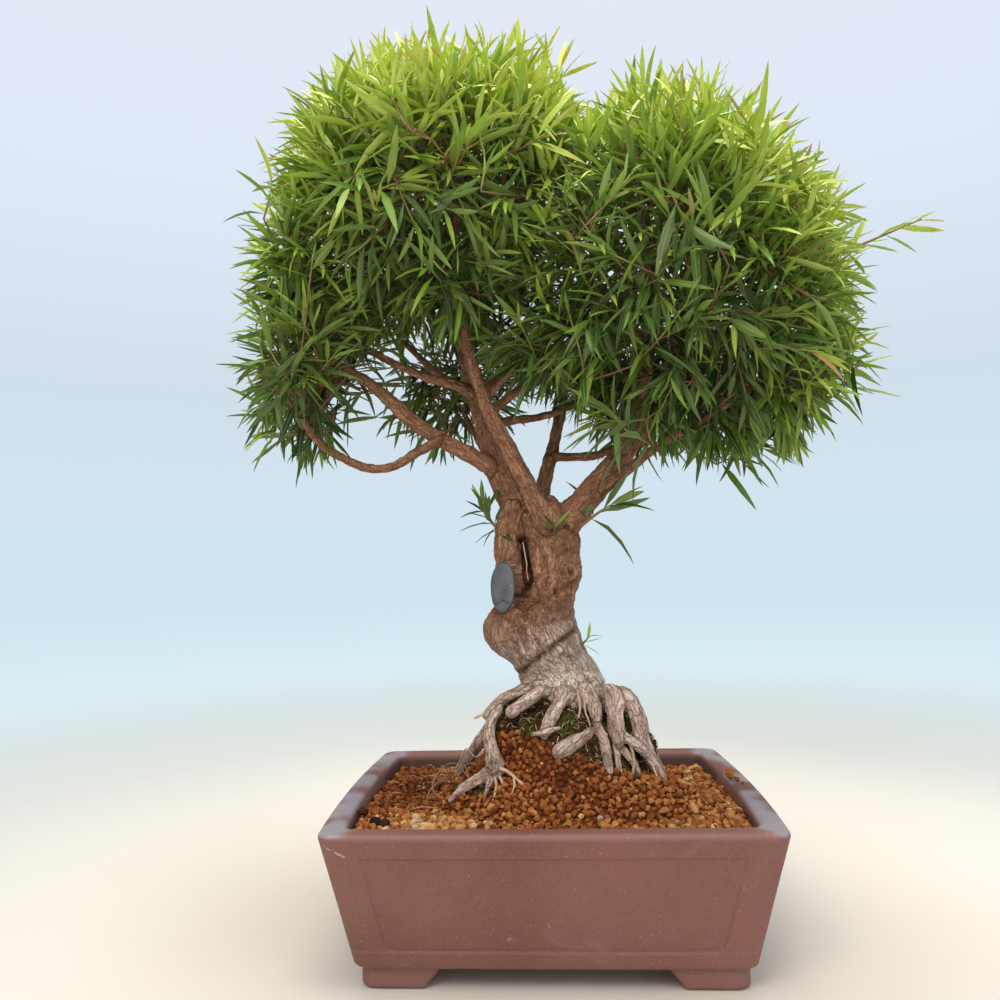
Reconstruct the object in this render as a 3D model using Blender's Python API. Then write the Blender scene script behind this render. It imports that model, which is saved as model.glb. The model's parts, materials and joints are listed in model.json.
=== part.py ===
"""A willow leaf fig bonsai in an unglazed clay pot.

The tree stands on its surface roots in a mound of clay granules. The pot, the soil,
the wood, the wound paste, each leafy shoot and the two drain meshes under the soil
are objects of their own. Routes are written in millimetres, from the middle of the
pot's underside, with +X to the right, +Y to the back and +Z up.
"""

import math
import random
from collections import namedtuple

import bmesh
import bpy
from mathutils import Matrix, Vector, noise
from mathutils.bvhtree import BVHTree

MM = 0.001
GAP = 0.3
SEED = 4207

# Pot
POT_HALF_X = 150.0
POT_HALF_Y = 120.0
POT_TOP = 104.5
FOOT_HEIGHT = 13.8
POT_TAPER = 20.0
POT_CORNER = 9.0
SIDE_BOW = 5.0
FRONT_BOW = 1.5
LIP_WIDTH = 17.0
LIP_ROUND = 3.5
FLOOR_TOP = 24.0
INNER_FOOT_HALF_X = 121.0
INNER_FOOT_HALF_Y = 91.0
FOOT_LENGTH = 53.0
FOOT_DEPTH = 44.0
FOOT_SLOPE = 8.0
FOOT_SETBACK = 3.5
PANEL_BOTTOM = 26.0
PANEL_TOP = 88.5
PANEL_DEPTH = 1.6
PANEL_SIDE_MARGIN = 25.0
PANEL_CORNER = 5.0
HOLE_RADIUS = 11.0
HOLE_OFFSET = 62.0
ARC_STEPS = 3
SIDE_STEPS = 4

# Drain meshes
MESH_SIDE = 36.0
MESH_THICK = 1.2
MESH_BAR = 2.4
MESH_CELLS = 2

# Soil
SOIL_LEVEL = 97.0
SOIL_FALL = 3.0
WALL_GAP = 0.4
HEAP_CENTRE = (8.0, 4.0)
HEAP_RADIUS = 90.0
HEAP_HEIGHT = 36.0
BALL_CENTRE = (6.0, 2.0)
BALL_RADIUS = 54.0
BALL_HEIGHT = 27.0
GRAIN_RELIEF = 1.5
SOIL_RINGS = (0.1, 0.2, 0.3, 0.4, 0.5, 0.62, 0.76, 0.9)
ROOT_HOLE_GAP = 0.72

# Leaves and shoots
LEAF_LENGTH = 48.0
LEAF_WIDTH = 10.5
LEAF_KEEL = 1.3
LEAF_WIDEST = 0.42
TWIG_RADIUS = 1.5
LEAF_MARGIN = 0.5
FOOT_SLIM = 0.8
FOOT_LIFT = 1.0
FOOT_FULL = 1.2
LEAF_TRIES = 12
SPRAY_TRIES = 9

# The core of a spray: share of its length, radius, and how far its leaves lean forward
CORE_LENGTH = 44.0
CORE_SIDES = 5
CORE_RINGS = ((0.0, 1.6, -4), (0.2, 6.0, 8), (0.44, 7.5, 22), (0.66, 7.0, 36), (0.88, 4.5, 52))
CORE_TWIST = 38.0
TIP_LEAN = 72.0
GOLDEN_ANGLE = math.radians(137.5)

# Limb routes: x, y, z and radius, from the trunk outwards
TRUNK = (
    (13, 12, 118, 33), (13, 12, 148, 37), (13, 10, 167, 36), (9, 9, 183, 30), (0, 8, 197, 31),
    (-6, 6, 210, 36), (-9, 6, 223, 35), (-7, 6, 237, 31), (2, 8, 247, 24), (8, 10, 258, 22),
    (10, 10, 274, 21), (8, 10, 287, 22), (5, 10, 298, 24), (4, 8, 308, 22), (6, 6, 314, 15),
)
LEFT_COLUMN = (
    (-20, -2, 238, 14), (-26, -4, 252, 14), (-28, -2, 264, 10), (-28, 0, 276, 9.5),
    (-28, 0, 289, 11), (-25, 4, 302, 11), (-18, 10, 316, 9),
)
CREVICE_BACK = ((-10, 14, 236, 12), (-14, 15, 262, 10), (-14, 15, 284, 10), (-10, 14, 308, 12))
LEFT_LEADER = (
    (2, 10, 288, 14), (-12, 12, 305, 12), (-24, 15, 325, 10.5), (-35, 15, 350, 10),
    (-44, 17, 377, 7.6), (-54, 24, 416, 6.2), (-68, 34, 474, 4.8), (-84, 44, 550, 3.6),
    (-96, 48, 620, 2.2),
)
FRONT_LEADER = (
    (3, 0, 290, 10), (-3, -12, 311, 7.8), (-14, -15, 340, 6.8), (-42, -19, 399, 5.6),
    (-56, -30, 448, 4.8), (-60, -48, 510, 3.9), (-56, -66, 572, 2.2),
)
LEFT_LOW = (
    (-36, 12, 348, 8), (-52, 3, 359, 7), (-80, -3, 374, 6.3), (-104, -5, 391, 6),
    (-133, -6, 418, 4.8), (-156, -7, 433, 3.8), (-176, -9, 446, 2.8),
)
LEFT_DROOPING = (
    (-78, -4, 374, 4.4), (-97, -20, 361, 3.8), (-114, -22, 351, 3.6), (-134, -22, 350, 3.5),
    (-157, -22, 360, 3.3), (-175, -24, 374, 3), (-186, -27, 392, 2.6),
)
LEFT_MIDDLE = (
    (-53, 22, 413, 5), (-68, 14, 421, 4.3), (-98, 10, 430, 3.7), (-142, 4, 452, 3.1),
    (-172, 0, 472, 2.3),
)
LEFT_UPPER = (
    (-54, 24, 414, 4.5), (-84, 40, 436, 3.4), (-114, 55, 466, 2.8), (-142, 70, 506, 2.3),
)
INNER_FRONT = (
    (-43, -19, 401, 3.6), (-26, -14, 420, 3.1), (2, -12, 439, 2.6), (22, -22, 492, 2.4),
    (24, -52, 575, 1.9),
)
INNER_MIDDLE = (
    (-48, 19, 393, 4.2), (-22, 14, 412, 3.9), (8, 22, 433, 3.5), (38, 38, 474, 2.9),
    (36, 60, 576, 1.9),
)
INNER_BACK = (
    (-54, 25, 420, 4.8), (-34, 44, 433, 4.3), (-8, 58, 454, 3.8), (8, 70, 508, 3),
    (-20, 94, 596, 2),
)
INNER_LOW = (
    (-46, 18, 385, 4.4), (-24, 33, 394, 3.8), (0, 43, 398, 3.5), (30, 46, 410, 3),
    (60, 60, 448, 2.3),
)
BACK_STEM = (
    (2, 16, 294, 12), (-1, 36, 308, 8.4), (0, 50, 334, 6.7), (13, 61, 385, 5.3),
    (22, 82, 440, 4.3), (6, 116, 546, 2.4),
)
BACK_SIDE = (
    (7, 56, 366, 4.6), (24, 51, 364, 3.8), (50, 53, 366, 3.7), (74, 66, 380, 3.2),
    (100, 88, 416, 2.6),
)
BACK_LEFT = (
    (-1, 46, 324, 5), (-26, 70, 346, 4), (-50, 94, 374, 3.4), (-70, 108, 414, 2.4),
)
RIGHT_LEADER = (
    (6, 8, 292, 14), (22, 4, 309, 11), (36, 0, 324, 9.6), (61, 0, 354, 8.8),
    (82, 0, 382, 7.7), (106, 0, 399, 6.5), (126, 3, 424, 5.6), (138, 10, 480, 4.6),
    (126, 18, 584, 2.2),
)
RIGHT_FORK = (
    (56, 0, 348, 7.6), (72, -8, 381, 6.3), (83, -18, 424, 5.2), (84, -36, 485, 4.2),
    (78, -58, 540, 2.2),
)
RIGHT_LOW = (
    (42, 0, 328, 5.6), (60, -18, 339, 4), (92, -25, 363, 3.6), (124, -31, 380, 3.2),
    (160, -38, 402, 2.5),
)
RIGHT_OUTER = (
    (119, 2, 413, 5.6), (152, -2, 450, 4.2), (169, -4, 465, 3.7), (188, -8, 494, 2.8),
    (204, -9, 503, 2.1),
)
RIGHT_OUTER_LOW = (
    (156, -3, 454, 3.8), (176, -13, 449, 3.1), (200, -22, 458, 2.3),
)
RIGHT_BACK = (
    (83, 0, 384, 5.6), (100, 32, 407, 4.3), (124, 64, 446, 3.4), (138, 90, 540, 2),
)
LIMBS = (
    LEFT_LEADER, FRONT_LEADER, LEFT_LOW, LEFT_DROOPING, LEFT_MIDDLE, LEFT_UPPER, INNER_FRONT,
    INNER_MIDDLE, INNER_BACK, INNER_LOW, BACK_STEM, BACK_SIDE, BACK_LEFT, RIGHT_LEADER,
    RIGHT_FORK, RIGHT_LOW, RIGHT_OUTER, RIGHT_OUTER_LOW, RIGHT_BACK,
)

# Swellings of the trunk: centre, then half sizes
BURLS = (
    ((-27, -4, 223), (21, 20, 22)),
    ((20, 4, 262), (10, 15, 17)),
    ((4, 2, 306), (25, 20, 15)),
    ((20, -6, 172), (24, 24, 22)),
)

# Surface roots: x, y, z and radius, from the trunk outwards
ROOTS = (
    ((-2, -8, 187, 12), (-20, -19, 179, 7.4), (-37, -22, 171, 6.4), (-48, -22, 163, 6),
     (-46, -23, 152, 6), (-42, -24, 139, 6.8), (-41, -24, 126, 8.4), (-41, -24, 118, 5)),
    ((-43, -24, 127, 5.5), (-52, -26, 119, 4.6), (-61, -28, 111, 3.8), (-69, -30, 101, 2.6)),
    ((-43, -26, 124, 3.6), (-46, -31, 114, 2.6), (-49, -36, 100, 2)),
    ((-38, -26, 126, 3.2), (-28, -32, 119, 2.4), (-20, -38, 111, 2), (-14, -42, 100, 1.6)),
    ((4, -16, 186, 9), (-8, -29, 178, 6), (-19, -33, 171, 5.6), (-31, -34, 164, 5), (-38, -34, 158, 3.4)),
    ((16, -18, 184, 11), (12, -30, 177, 7.6), (6, -35, 165, 7.2), (-1, -37, 153, 6), (-3, -37, 144, 4)),
    ((-15, -38, 148, 3.4), (-4, -41, 151, 4.2), (8, -42, 155, 4.2), (16, -36, 157, 3.4)),
    ((26, -8, 176, 8), (30, -30, 160, 6), (21, -43, 147, 8.8), (10, -47, 137, 8.4), (2, -49, 128, 5)),
    ((26, -12, 184, 13), (33, -24, 174, 9), (37, -29, 163, 6.4), (38, -30, 152, 4.6)),
    ((28, 0, 170, 14), (46, -12, 166, 9), (57, -20, 173, 10.5), (56, -26, 164, 8.4),
     (54, -27, 150, 6.6), (55, -27, 137, 5), (55, -26, 124, 3.4)),
    ((56, -17, 173, 10.5), (62, -19, 166, 9.5), (67, -21, 156, 8), (70, -23, 142, 7),
     (77, -25, 128, 5.6), (85, -28, 116, 4.2), (90, -30, 104, 2.6)),
    ((44, -30, 152, 4), (44, -33, 140, 4), (47, -34, 126, 3.8), (49, -34, 112, 3.2), (49, -34, 104, 2.6)),
    ((68, -27, 146, 4.4), (70, -32, 136, 4), (80, -34, 127, 3.4), (90, -34, 116, 2.6)),
    ((62, -28, 150, 3.4), (62, -31, 136, 3.2), (60, -31, 124, 2.8), (58, -30, 112, 2.2)),
    ((20, 30, 176, 16), (28, 50, 166, 11), (34, 64, 148, 8.6), (38, 74, 126, 6.6), (42, 84, 106, 4)),
    ((2, 30, 176, 16), (-14, 46, 164, 10), (-28, 58, 146, 7.8), (-38, 68, 124, 6), (-46, 78, 104, 3.6)),
    ((-6, 14, 170, 12), (-30, 15, 158, 8), (-46, 18, 143, 6.6), (-60, 24, 126, 5.4), (-72, 30, 106, 4)),
    ((38, 16, 166, 11), (58, 24, 152, 8), (74, 32, 136, 7), (86, 40, 114, 4.6), (92, 46, 102, 3)),
)

WOOD_DETAIL = 0.72

# The flat seat of the wound, and its paste
WOUND_CENTRE = (-32, -17, 256)
WOUND_NORMAL = (-0.66, -0.75, 0.05)
WOUND_HALF_WIDTH = 13.0
WOUND_HALF_HEIGHT = 20.0
PASTE_THICK = 3.4
SEAT_MARGIN = 1.02
SEAT_CLEAR = 24.0

# Clouds of foliage, which join into the crown: centre and half sizes
Cloud = namedtuple("Cloud", "centre half")
CLOUDS = (
    Cloud((-70, 10, 590), (165, 150, 128)),
    Cloud((115, 0, 520), (150, 140, 158)),
    Cloud((-175, 0, 440), (85, 95, 90)),
    Cloud((180, -5, 440), (100, 90, 95)),
    Cloud((-75, 115, 440), (75, 65, 65)),
)
SPRAY_COUNT = 54
SPRAY_LIMIT = 49
SPRAY_REACH = 80.0
DIRECTIONS = 120
UNDERSIDE = -0.66
UPWARD_PULL = 0.2
FRONT_SLOPE = 0.62
FRONT_SLOPE_FROM = (20.0, 712.0)

# The long sprig that stands out to the right
SPRIG = ((206.5, -9, 504.5), (223, -9, 505), (245, -9, 510), (267, -9, 518), (284, -9, 526))

# Sprouts on the trunk: a point to aim at, a direction out, leaves and leaf length
Sprout = namedtuple("Sprout", "name base direction length leaves leaf_length")
SPROUTS = (
    Sprout("sprout_left", (-34, 4, 300), (-0.75, -0.25, 0.62), 38, 8, 34),
    Sprout("sprout_right", (38, -6, 312), (0.96, -0.2, 0.16), 34, 7, 36),
    Sprout("sprout_fork", (8, -20, 303), (0.05, -0.95, 0.3), 8, 3, 20),
    Sprout("sprout_stem", (36, 0, 214), (0.75, -0.3, 0.6), 7, 3, 18),
)


def clear_scene():
    """Removes every object, so that the file holds the tree alone."""
    for obj in list(bpy.data.objects):
        bpy.data.objects.remove(obj)


def collection_named(name):
    """A new collection in the scene."""
    collection = bpy.data.collections.new(name)
    bpy.context.scene.collection.children.link(collection)
    return collection


def finish(name, color, roughness):
    """A Principled material of one colour."""
    material = bpy.data.materials.new(name)
    material.use_nodes = True
    shader = material.node_tree.nodes["Principled BSDF"]
    shader.inputs["Base Color"].default_value = (*color, 1.0)
    shader.inputs["Roughness"].default_value = roughness
    material.diffuse_color = (*color, 1.0)
    return material


def object_from(name, mesh):
    """A scene object that holds this mesh."""
    obj = bpy.data.objects.new(name, mesh)
    bpy.context.scene.collection.objects.link(obj)
    return obj


def object_from_bmesh(name, bm, faces_out=False):
    """Turns a bmesh in millimetres into a scene object in metres, with its faces turned out if need be."""
    if not faces_out:
        bmesh.ops.recalc_face_normals(bm, faces=bm.faces)
    bmesh.ops.scale(bm, vec=(MM, MM, MM), verts=bm.verts)
    mesh = bpy.data.meshes.new(name)
    bm.to_mesh(mesh)
    bm.free()
    return object_from(name, mesh)


def evaluated_mesh(obj):
    """The object's mesh with its modifiers applied."""
    graph = bpy.context.evaluated_depsgraph_get()
    return bpy.data.meshes.new_from_object(obj.evaluated_get(graph))


def tube(name, route, sides):
    """A tapered round limb along x, y, z, radius points in millimetres, as a closed mesh."""
    curve = bpy.data.curves.new(name, "CURVE")
    curve.dimensions = "3D"
    curve.bevel_depth = 1.0
    curve.bevel_resolution = (sides - 4) // 2
    curve.use_fill_caps = True
    spline = curve.splines.new("POLY")
    spline.points.add(len(route) - 1)
    for point, (x, y, z, radius) in zip(spline.points, route):
        point.co = (x * MM, y * MM, z * MM, 1.0)
        point.radius = radius * MM
    guide = object_from(name, curve)
    mesh = evaluated_mesh(guide)
    bpy.data.objects.remove(guide)
    bpy.data.curves.remove(curve)
    bm = bmesh.new()
    bm.from_mesh(mesh)
    bmesh.ops.remove_doubles(bm, verts=bm.verts, dist=1e-6)
    bmesh.ops.recalc_face_normals(bm, faces=bm.faces)
    bm.to_mesh(mesh)
    bm.free()
    return object_from(name, mesh)


def combine(base, others, operation, solver):
    """Applies one Boolean with a whole collection to the base, and removes the collection's objects."""
    repeats = bpy.data.collections.new(base.name + "_repeats")
    for other in others:
        bpy.context.scene.collection.objects.unlink(other)
        repeats.objects.link(other)
    bpy.context.scene.collection.children.link(repeats)
    modifier = base.modifiers.new("combine", "BOOLEAN")
    modifier.operation = operation
    modifier.operand_type = "COLLECTION"
    modifier.collection = repeats
    modifier.solver = solver
    mesh = evaluated_mesh(base)
    base.modifiers.clear()
    base.data = mesh
    for other in others:
        bpy.data.objects.remove(other)
    bpy.data.collections.remove(repeats)
    return base


def thin_out(obj, share):
    """Collapses the short edges that a union leaves, keeping this share of the faces."""
    modifier = obj.modifiers.new("thin_out", "DECIMATE")
    modifier.ratio = share
    mesh = evaluated_mesh(obj)
    obj.modifiers.clear()
    obj.data = mesh


def keep_largest(obj):
    """Drops loose scraps that a cut left behind, keeping the largest connected body."""
    bm = bmesh.new()
    bm.from_mesh(obj.data)
    bodies = []
    unseen = set(bm.verts)
    while unseen:
        body = set()
        edge_of_search = [unseen.pop()]
        while edge_of_search:
            vert = edge_of_search.pop()
            body.add(vert)
            near = {edge.other_vert(vert) for edge in vert.link_edges} & unseen
            unseen -= near
            edge_of_search += near
        bodies.append(body)
    largest = max(bodies, key=len)
    scraps = [vert for vert in bm.verts if vert not in largest]
    bmesh.ops.delete(bm, geom=scraps, context="VERTS")
    bm.to_mesh(obj.data)
    bm.free()


def ring_points(half_x, half_y, corner, bow):
    """A rectangle with arc corners and bowed sides, as x, y points going round from above."""
    points = []
    centres = ((1, 1), (-1, 1), (-1, -1), (1, -1))
    for quarter, (sign_x, sign_y) in enumerate(centres):
        for step in range(ARC_STEPS + 1):
            angle = math.radians(90 * (quarter + step / ARC_STEPS))
            x = sign_x * (half_x - corner) + corner * math.cos(angle)
            y = sign_y * (half_y - corner) + corner * math.sin(angle)
            points.append((x, y))
        next_x, next_y = centres[(quarter + 1) % 4]
        end_angle = math.radians(90 * (quarter + 1))
        start = points[-1]
        end = (
            next_x * (half_x - corner) + corner * math.cos(end_angle),
            next_y * (half_y - corner) + corner * math.sin(end_angle),
        )
        for step in range(1, SIDE_STEPS):
            share = step / SIDE_STEPS
            points.append(tuple(a + (b - a) * share for a, b in zip(start, end)))
    return [
        (
            x * (1 + bow * SIDE_BOW / half_x * (1 - (y / half_y) ** 2)),
            y * (1 + bow * FRONT_BOW / half_y * (1 - (x / half_x) ** 2)),
        )
        for x, y in points
    ]


def loft(name, rings):
    """A closed solid through rings of equally many x, y, z points, flat at both ends."""
    bm = bmesh.new()
    loops = [[bm.verts.new(point) for point in ring] for ring in rings]
    count = len(loops[0])
    for lower, upper in zip(loops, loops[1:]):
        for index in range(count):
            after = (index + 1) % count
            bm.faces.new((lower[index], lower[after], upper[after], upper[index]))
    bm.faces.new(reversed(loops[0]))
    bm.faces.new(loops[-1])
    return object_from_bmesh(name, bm)


def outer_inset(z):
    """How far the pot's outside has come in from its rim at this height."""
    return POT_TAPER * (POT_TOP - z) / (POT_TOP - FOOT_HEIGHT)


def inner_half(z):
    """Half sizes of the pot's inside at this height."""
    share = (z - FLOOR_TOP) / (POT_TOP - FLOOR_TOP)
    return (
        INNER_FOOT_HALF_X + (POT_HALF_X - LIP_WIDTH - INNER_FOOT_HALF_X) * share,
        INNER_FOOT_HALF_Y + (POT_HALF_Y - LIP_WIDTH - INNER_FOOT_HALF_Y) * share,
    )


def bow_share(z):
    """How much of the rim's outward bow the pot's sides have at this height."""
    return 0.6 + 0.4 * (z - FOOT_HEIGHT) / (POT_TOP - FOOT_HEIGHT)


def level_ring(half_x, half_y, corner, z):
    """One level ring of the pot."""
    return [(x, y, z) for x, y in ring_points(half_x, half_y, corner, bow_share(z))]


def pot_shell():
    """The pot's body: outside, rounded lip, inside and floor, in one loft."""
    rings = []
    outside = (
        (FOOT_HEIGHT, 3.0), (FOOT_HEIGHT + 3, 0.0), (POT_TOP - LIP_ROUND, 0.0),
        (POT_TOP - 1, 1.2), (POT_TOP, LIP_ROUND),
    )
    for z, round_in in outside:
        inset = outer_inset(z) + round_in
        rings.append(level_ring(POT_HALF_X - inset, POT_HALF_Y - inset, POT_CORNER, z))
    lip_in = LIP_WIDTH - 2.2
    rings.append(level_ring(POT_HALF_X - lip_in, POT_HALF_Y - lip_in, POT_CORNER - 1, POT_TOP))
    for z in (POT_TOP - 2.2, FLOOR_TOP):
        half_x, half_y = inner_half(z)
        rings.append(level_ring(half_x, half_y, POT_CORNER - 1, z))
    return loft("pot", rings)


def box_between(name, low, high):
    """A box between two corners in millimetres."""
    bm = bmesh.new()
    bmesh.ops.create_cube(bm, size=1.0)
    size = [b - a for a, b in zip(low, high)]
    middle = [(a + b) / 2 for a, b in zip(low, high)]
    bmesh.ops.scale(bm, vec=size, verts=bm.verts)
    bmesh.ops.translate(bm, vec=middle, verts=bm.verts)
    return object_from_bmesh(name, bm)


def foot(sign_x, sign_y):
    """One corner foot, whose inner ends slope in and whose outer edges are rounded."""
    outer_x = POT_HALF_X - outer_inset(FOOT_HEIGHT) - FOOT_SETBACK
    outer_y = POT_HALF_Y - outer_inset(FOOT_HEIGHT) - FOOT_SETBACK
    rings = []
    for z, edge, slope in ((0.0, 2.2, 1.0), (2.5, 0.0, 0.8), (FOOT_HEIGHT + 2, 0.0, 0.0)):
        inner_x = outer_x - FOOT_LENGTH + FOOT_SLOPE * slope + edge
        inner_y = outer_y - FOOT_DEPTH + FOOT_SLOPE * slope + edge
        corners = (
            (outer_x - edge, outer_y - edge - 5), (outer_x - edge - 1.5, outer_y - edge - 1.5),
            (outer_x - edge - 5, outer_y - edge), (inner_x, outer_y - edge),
            (inner_x, inner_y), (outer_x - edge, inner_y),
        )
        rings.append([(sign_x * x, sign_y * y, z) for x, y in corners])
    return loft("foot", rings)


def panel_cutter(along_x, sign):
    """A curved slab that sinks the panel into one face of the pot, following its bow."""
    half, other, bow = (
        (POT_HALF_X, POT_HALF_Y, FRONT_BOW) if along_x else (POT_HALF_Y, POT_HALF_X, SIDE_BOW)
    )
    levels = (
        (PANEL_BOTTOM, PANEL_CORNER, PANEL_DEPTH), (PANEL_BOTTOM + PANEL_CORNER, 0, PANEL_DEPTH),
        (PANEL_TOP, 0, PANEL_DEPTH * 0.6),
    )
    rings = []
    for z, cut, depth in levels:
        inset = outer_inset(z)
        reach = half - inset - PANEL_SIDE_MARGIN - cut
        ring = []
        for outward in (-depth, 20.0):
            shares = (-1, -0.5, 0, 0.5, 1) if outward < 0 else (1, 0.5, 0, -0.5, -1)
            for share in shares:
                along = reach * share
                curve = bow * bow_share(z) * (1 - (along / (half - inset)) ** 2)
                across = sign * (other - inset + curve + outward)
                ring.append((along, across, z) if along_x else (across, along, z))
        rings.append(ring)
    return loft("panel_cutter", rings)


def cylinder(name, radius, low, high, x, y, segments):
    """An upright cylinder in millimetres."""
    bm = bmesh.new()
    bmesh.ops.create_cone(
        bm, cap_ends=True, segments=segments, radius1=radius, radius2=radius, depth=high - low
    )
    bmesh.ops.translate(bm, vec=(x, y, (low + high) / 2), verts=bm.verts)
    return object_from_bmesh(name, bm)


def build_pot():
    """The clay pot with its lip, sunk panels, feet and drain holes."""
    pot = pot_shell()
    feet = [foot(sign_x, sign_y) for sign_x in (-1, 1) for sign_y in (-1, 1)]
    combine(pot, feet, "UNION", "EXACT")
    cutters = [panel_cutter(along_x, sign) for along_x in (True, False) for sign in (-1, 1)]
    for side in (-1, 1):
        low, high = FOOT_HEIGHT - 5, FLOOR_TOP + 5
        cutters.append(cylinder("hole", HOLE_RADIUS, low, high, side * HOLE_OFFSET, 0, 12))
    return combine(pot, cutters, "DIFFERENCE", "EXACT")


def build_drain_mesh(side):
    """A square plastic mesh that lies on the floor over one drain hole."""
    name = "drain_mesh_left" if side < 0 else "drain_mesh_right"
    low = FLOOR_TOP + GAP
    centre = side * HOLE_OFFSET
    half = MESH_SIDE / 2
    plate = box_between(name, (centre - half, -half, low), (centre + half, half, low + MESH_THICK))
    pitch = (MESH_SIDE - MESH_BAR) / MESH_CELLS
    cutters = []
    for column in range(MESH_CELLS):
        for row in range(MESH_CELLS):
            x = centre - half + MESH_BAR + column * pitch
            y = -half + MESH_BAR + row * pitch
            cell = pitch - MESH_BAR
            cutters.append(box_between("cell", (x, y, low - 2), (x + cell, y + cell, low + 4)))
    return combine(plate, cutters, "DIFFERENCE", "EXACT")


def smooth_step(low, high, value):
    """0 below low, 1 above high and a smooth rise between."""
    share = min(max((value - low) / (high - low), 0.0), 1.0)
    return share * share * (3 - 2 * share)


def soil_height(x, y):
    """Height of the soil: level at the pot's edge, heaped round the old root ball."""
    heap_reach = math.dist((x, y), HEAP_CENTRE) / HEAP_RADIUS
    ball_reach = math.dist((x, y), BALL_CENTRE) / BALL_RADIUS
    heap = HEAP_HEIGHT * (1 - smooth_step(0.45, 1.05, heap_reach))
    ball = BALL_HEIGHT * (1 - smooth_step(0.72, 1.08, ball_reach))
    return SOIL_LEVEL - SOIL_FALL * y / 100 + heap + ball


def soil_edge(z):
    """The soil's outline at this height, just inside the pot's wall."""
    half_x, half_y = inner_half(z)
    return ring_points(half_x - WALL_GAP, half_y - WALL_GAP, POT_CORNER - 1, bow_share(z))


def soil_rim():
    """Where the soil meets the pot's wall: each point is as high as the soil is there."""
    rim = []
    for index, (x, y) in enumerate(soil_edge(SOIL_LEVEL)):
        height = soil_height(x, y)
        rim.append((*soil_edge(height)[index], height))
    return rim


def soil_body():
    """The soil before its root holes: a heap whose surface is roughened like granules."""
    bottom = FLOOR_TOP + GAP
    rim = soil_rim()
    rings = [[(x, y, bottom) for x, y in soil_edge(bottom)], rim]
    centre_x, centre_y = HEAP_CENTRE
    for share in reversed(SOIL_RINGS):
        ring = []
        for x, y, _ in rim:
            place_x = centre_x + (x - centre_x) * share
            place_y = centre_y + (y - centre_y) * share
            relief = GRAIN_RELIEF * noise.noise(Vector((place_x, place_y, 7.0)) * 0.11)
            ring.append((place_x, place_y, soil_height(place_x, place_y) + relief))
        rings.append(ring)
    return loft("soil", rings)


def grown(route, extra):
    """The same route, thicker by extra and longer by extra at both ends."""
    points = [Vector(point[:3]) for point in route]
    first = points[0] + (points[0] - points[1]).normalized() * extra
    last = points[-1] + (points[-1] - points[-2]).normalized() * extra
    places = [first, *points[1:-1], last]
    return [(*place, point[3] + extra) for place, point in zip(places, route)]


def build_soil():
    """The soil, with plain holes where the trunk and the roots stand and where the meshes lie."""
    soil = soil_body()
    cutters = [tube("hole", grown(TRUNK[:4], ROOT_HOLE_GAP), 16)]
    cutters += [tube("hole", grown(route, ROOT_HOLE_GAP), 8) for route in ROOTS]
    cutters += [burl(centre, [size + ROOT_HOLE_GAP for size in half]) for centre, half in BURLS]
    reach = MESH_SIDE / 2 + 2 * GAP
    for side in (-1, 1):
        centre = side * HOLE_OFFSET
        low = (centre - reach, -reach, FLOOR_TOP - 5)
        high = (centre + reach, reach, FLOOR_TOP + MESH_THICK + 2 * GAP)
        cutters.append(box_between("pocket", low, high))
    combine(soil, cutters, "DIFFERENCE", "MANIFOLD")
    keep_largest(soil)
    return soil


def burl(centre, half):
    """A rounded swelling of the trunk."""
    bm = bmesh.new()
    bmesh.ops.create_icosphere(bm, subdivisions=2, radius=1.0)
    bmesh.ops.scale(bm, vec=half, verts=bm.verts)
    bmesh.ops.translate(bm, vec=centre, verts=bm.verts)
    return object_from_bmesh("burl", bm)


def wound_frame():
    """The wound's place and directions: across, up and out."""
    out = Vector(WOUND_NORMAL).normalized()
    across = Vector((0, 0, 1)).cross(out).normalized()
    up = out.cross(across)
    frame = Matrix((across, up, out)).transposed().to_4x4()
    frame.translation = Vector(WOUND_CENTRE)
    return frame


def oval_solid(name, levels, segments):
    """A solid of stacked ovals in the wound's frame: each level is height out and share of full size."""
    rings = []
    frame = wound_frame()
    for height, share in levels:
        ring = []
        for index in range(segments):
            angle = 2 * math.pi * index / segments
            x = WOUND_HALF_WIDTH * share * math.cos(angle)
            y = WOUND_HALF_HEIGHT * share * math.sin(angle)
            ring.append(frame @ Vector((x, y, height)))
        rings.append(ring)
    return loft(name, rings)


def build_paste():
    """The oval of cut paste, low in the middle of its edge and slightly domed."""
    levels = ((GAP, 0.97), (PASTE_THICK * 0.5, 1.0), (PASTE_THICK * 0.85, 0.86), (PASTE_THICK, 0.5))
    return oval_solid("wound_paste", levels, 16)


class Crowd:
    """The shapes placed so far, so that those of different nodes stay apart. In millimetres."""

    def __init__(self):
        self.shapes = []

    def add(self, owner, points, faces):
        """Notes a shape of this owner."""
        self.shapes.append((owner, *self.boxed(points, faces)))

    def add_object(self, obj):
        """Notes a finished object."""
        points = [vert.co / MM for vert in obj.data.vertices]
        self.add(obj.name, points, [list(face.vertices) for face in obj.data.polygons])

    @staticmethod
    def boxed(points, faces):
        """A shape's low and high corners, and its surface."""
        low = [min(point[axis] for point in points) for axis in range(3)]
        high = [max(point[axis] for point in points) for axis in range(3)]
        return low, high, BVHTree.FromPolygons(points, faces)

    def takes(self, points, faces, but=None):
        """Whether a shape meets none of those placed, but for this owner's."""
        low, high, surface = self.boxed(points, faces)
        for owner, other_low, other_high, other in self.shapes:
            apart = any(low[a] > other_high[a] or other_low[a] > high[a] for a in range(3))
            if owner != but and not apart and surface.overlap(other):
                return False
        return True


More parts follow.
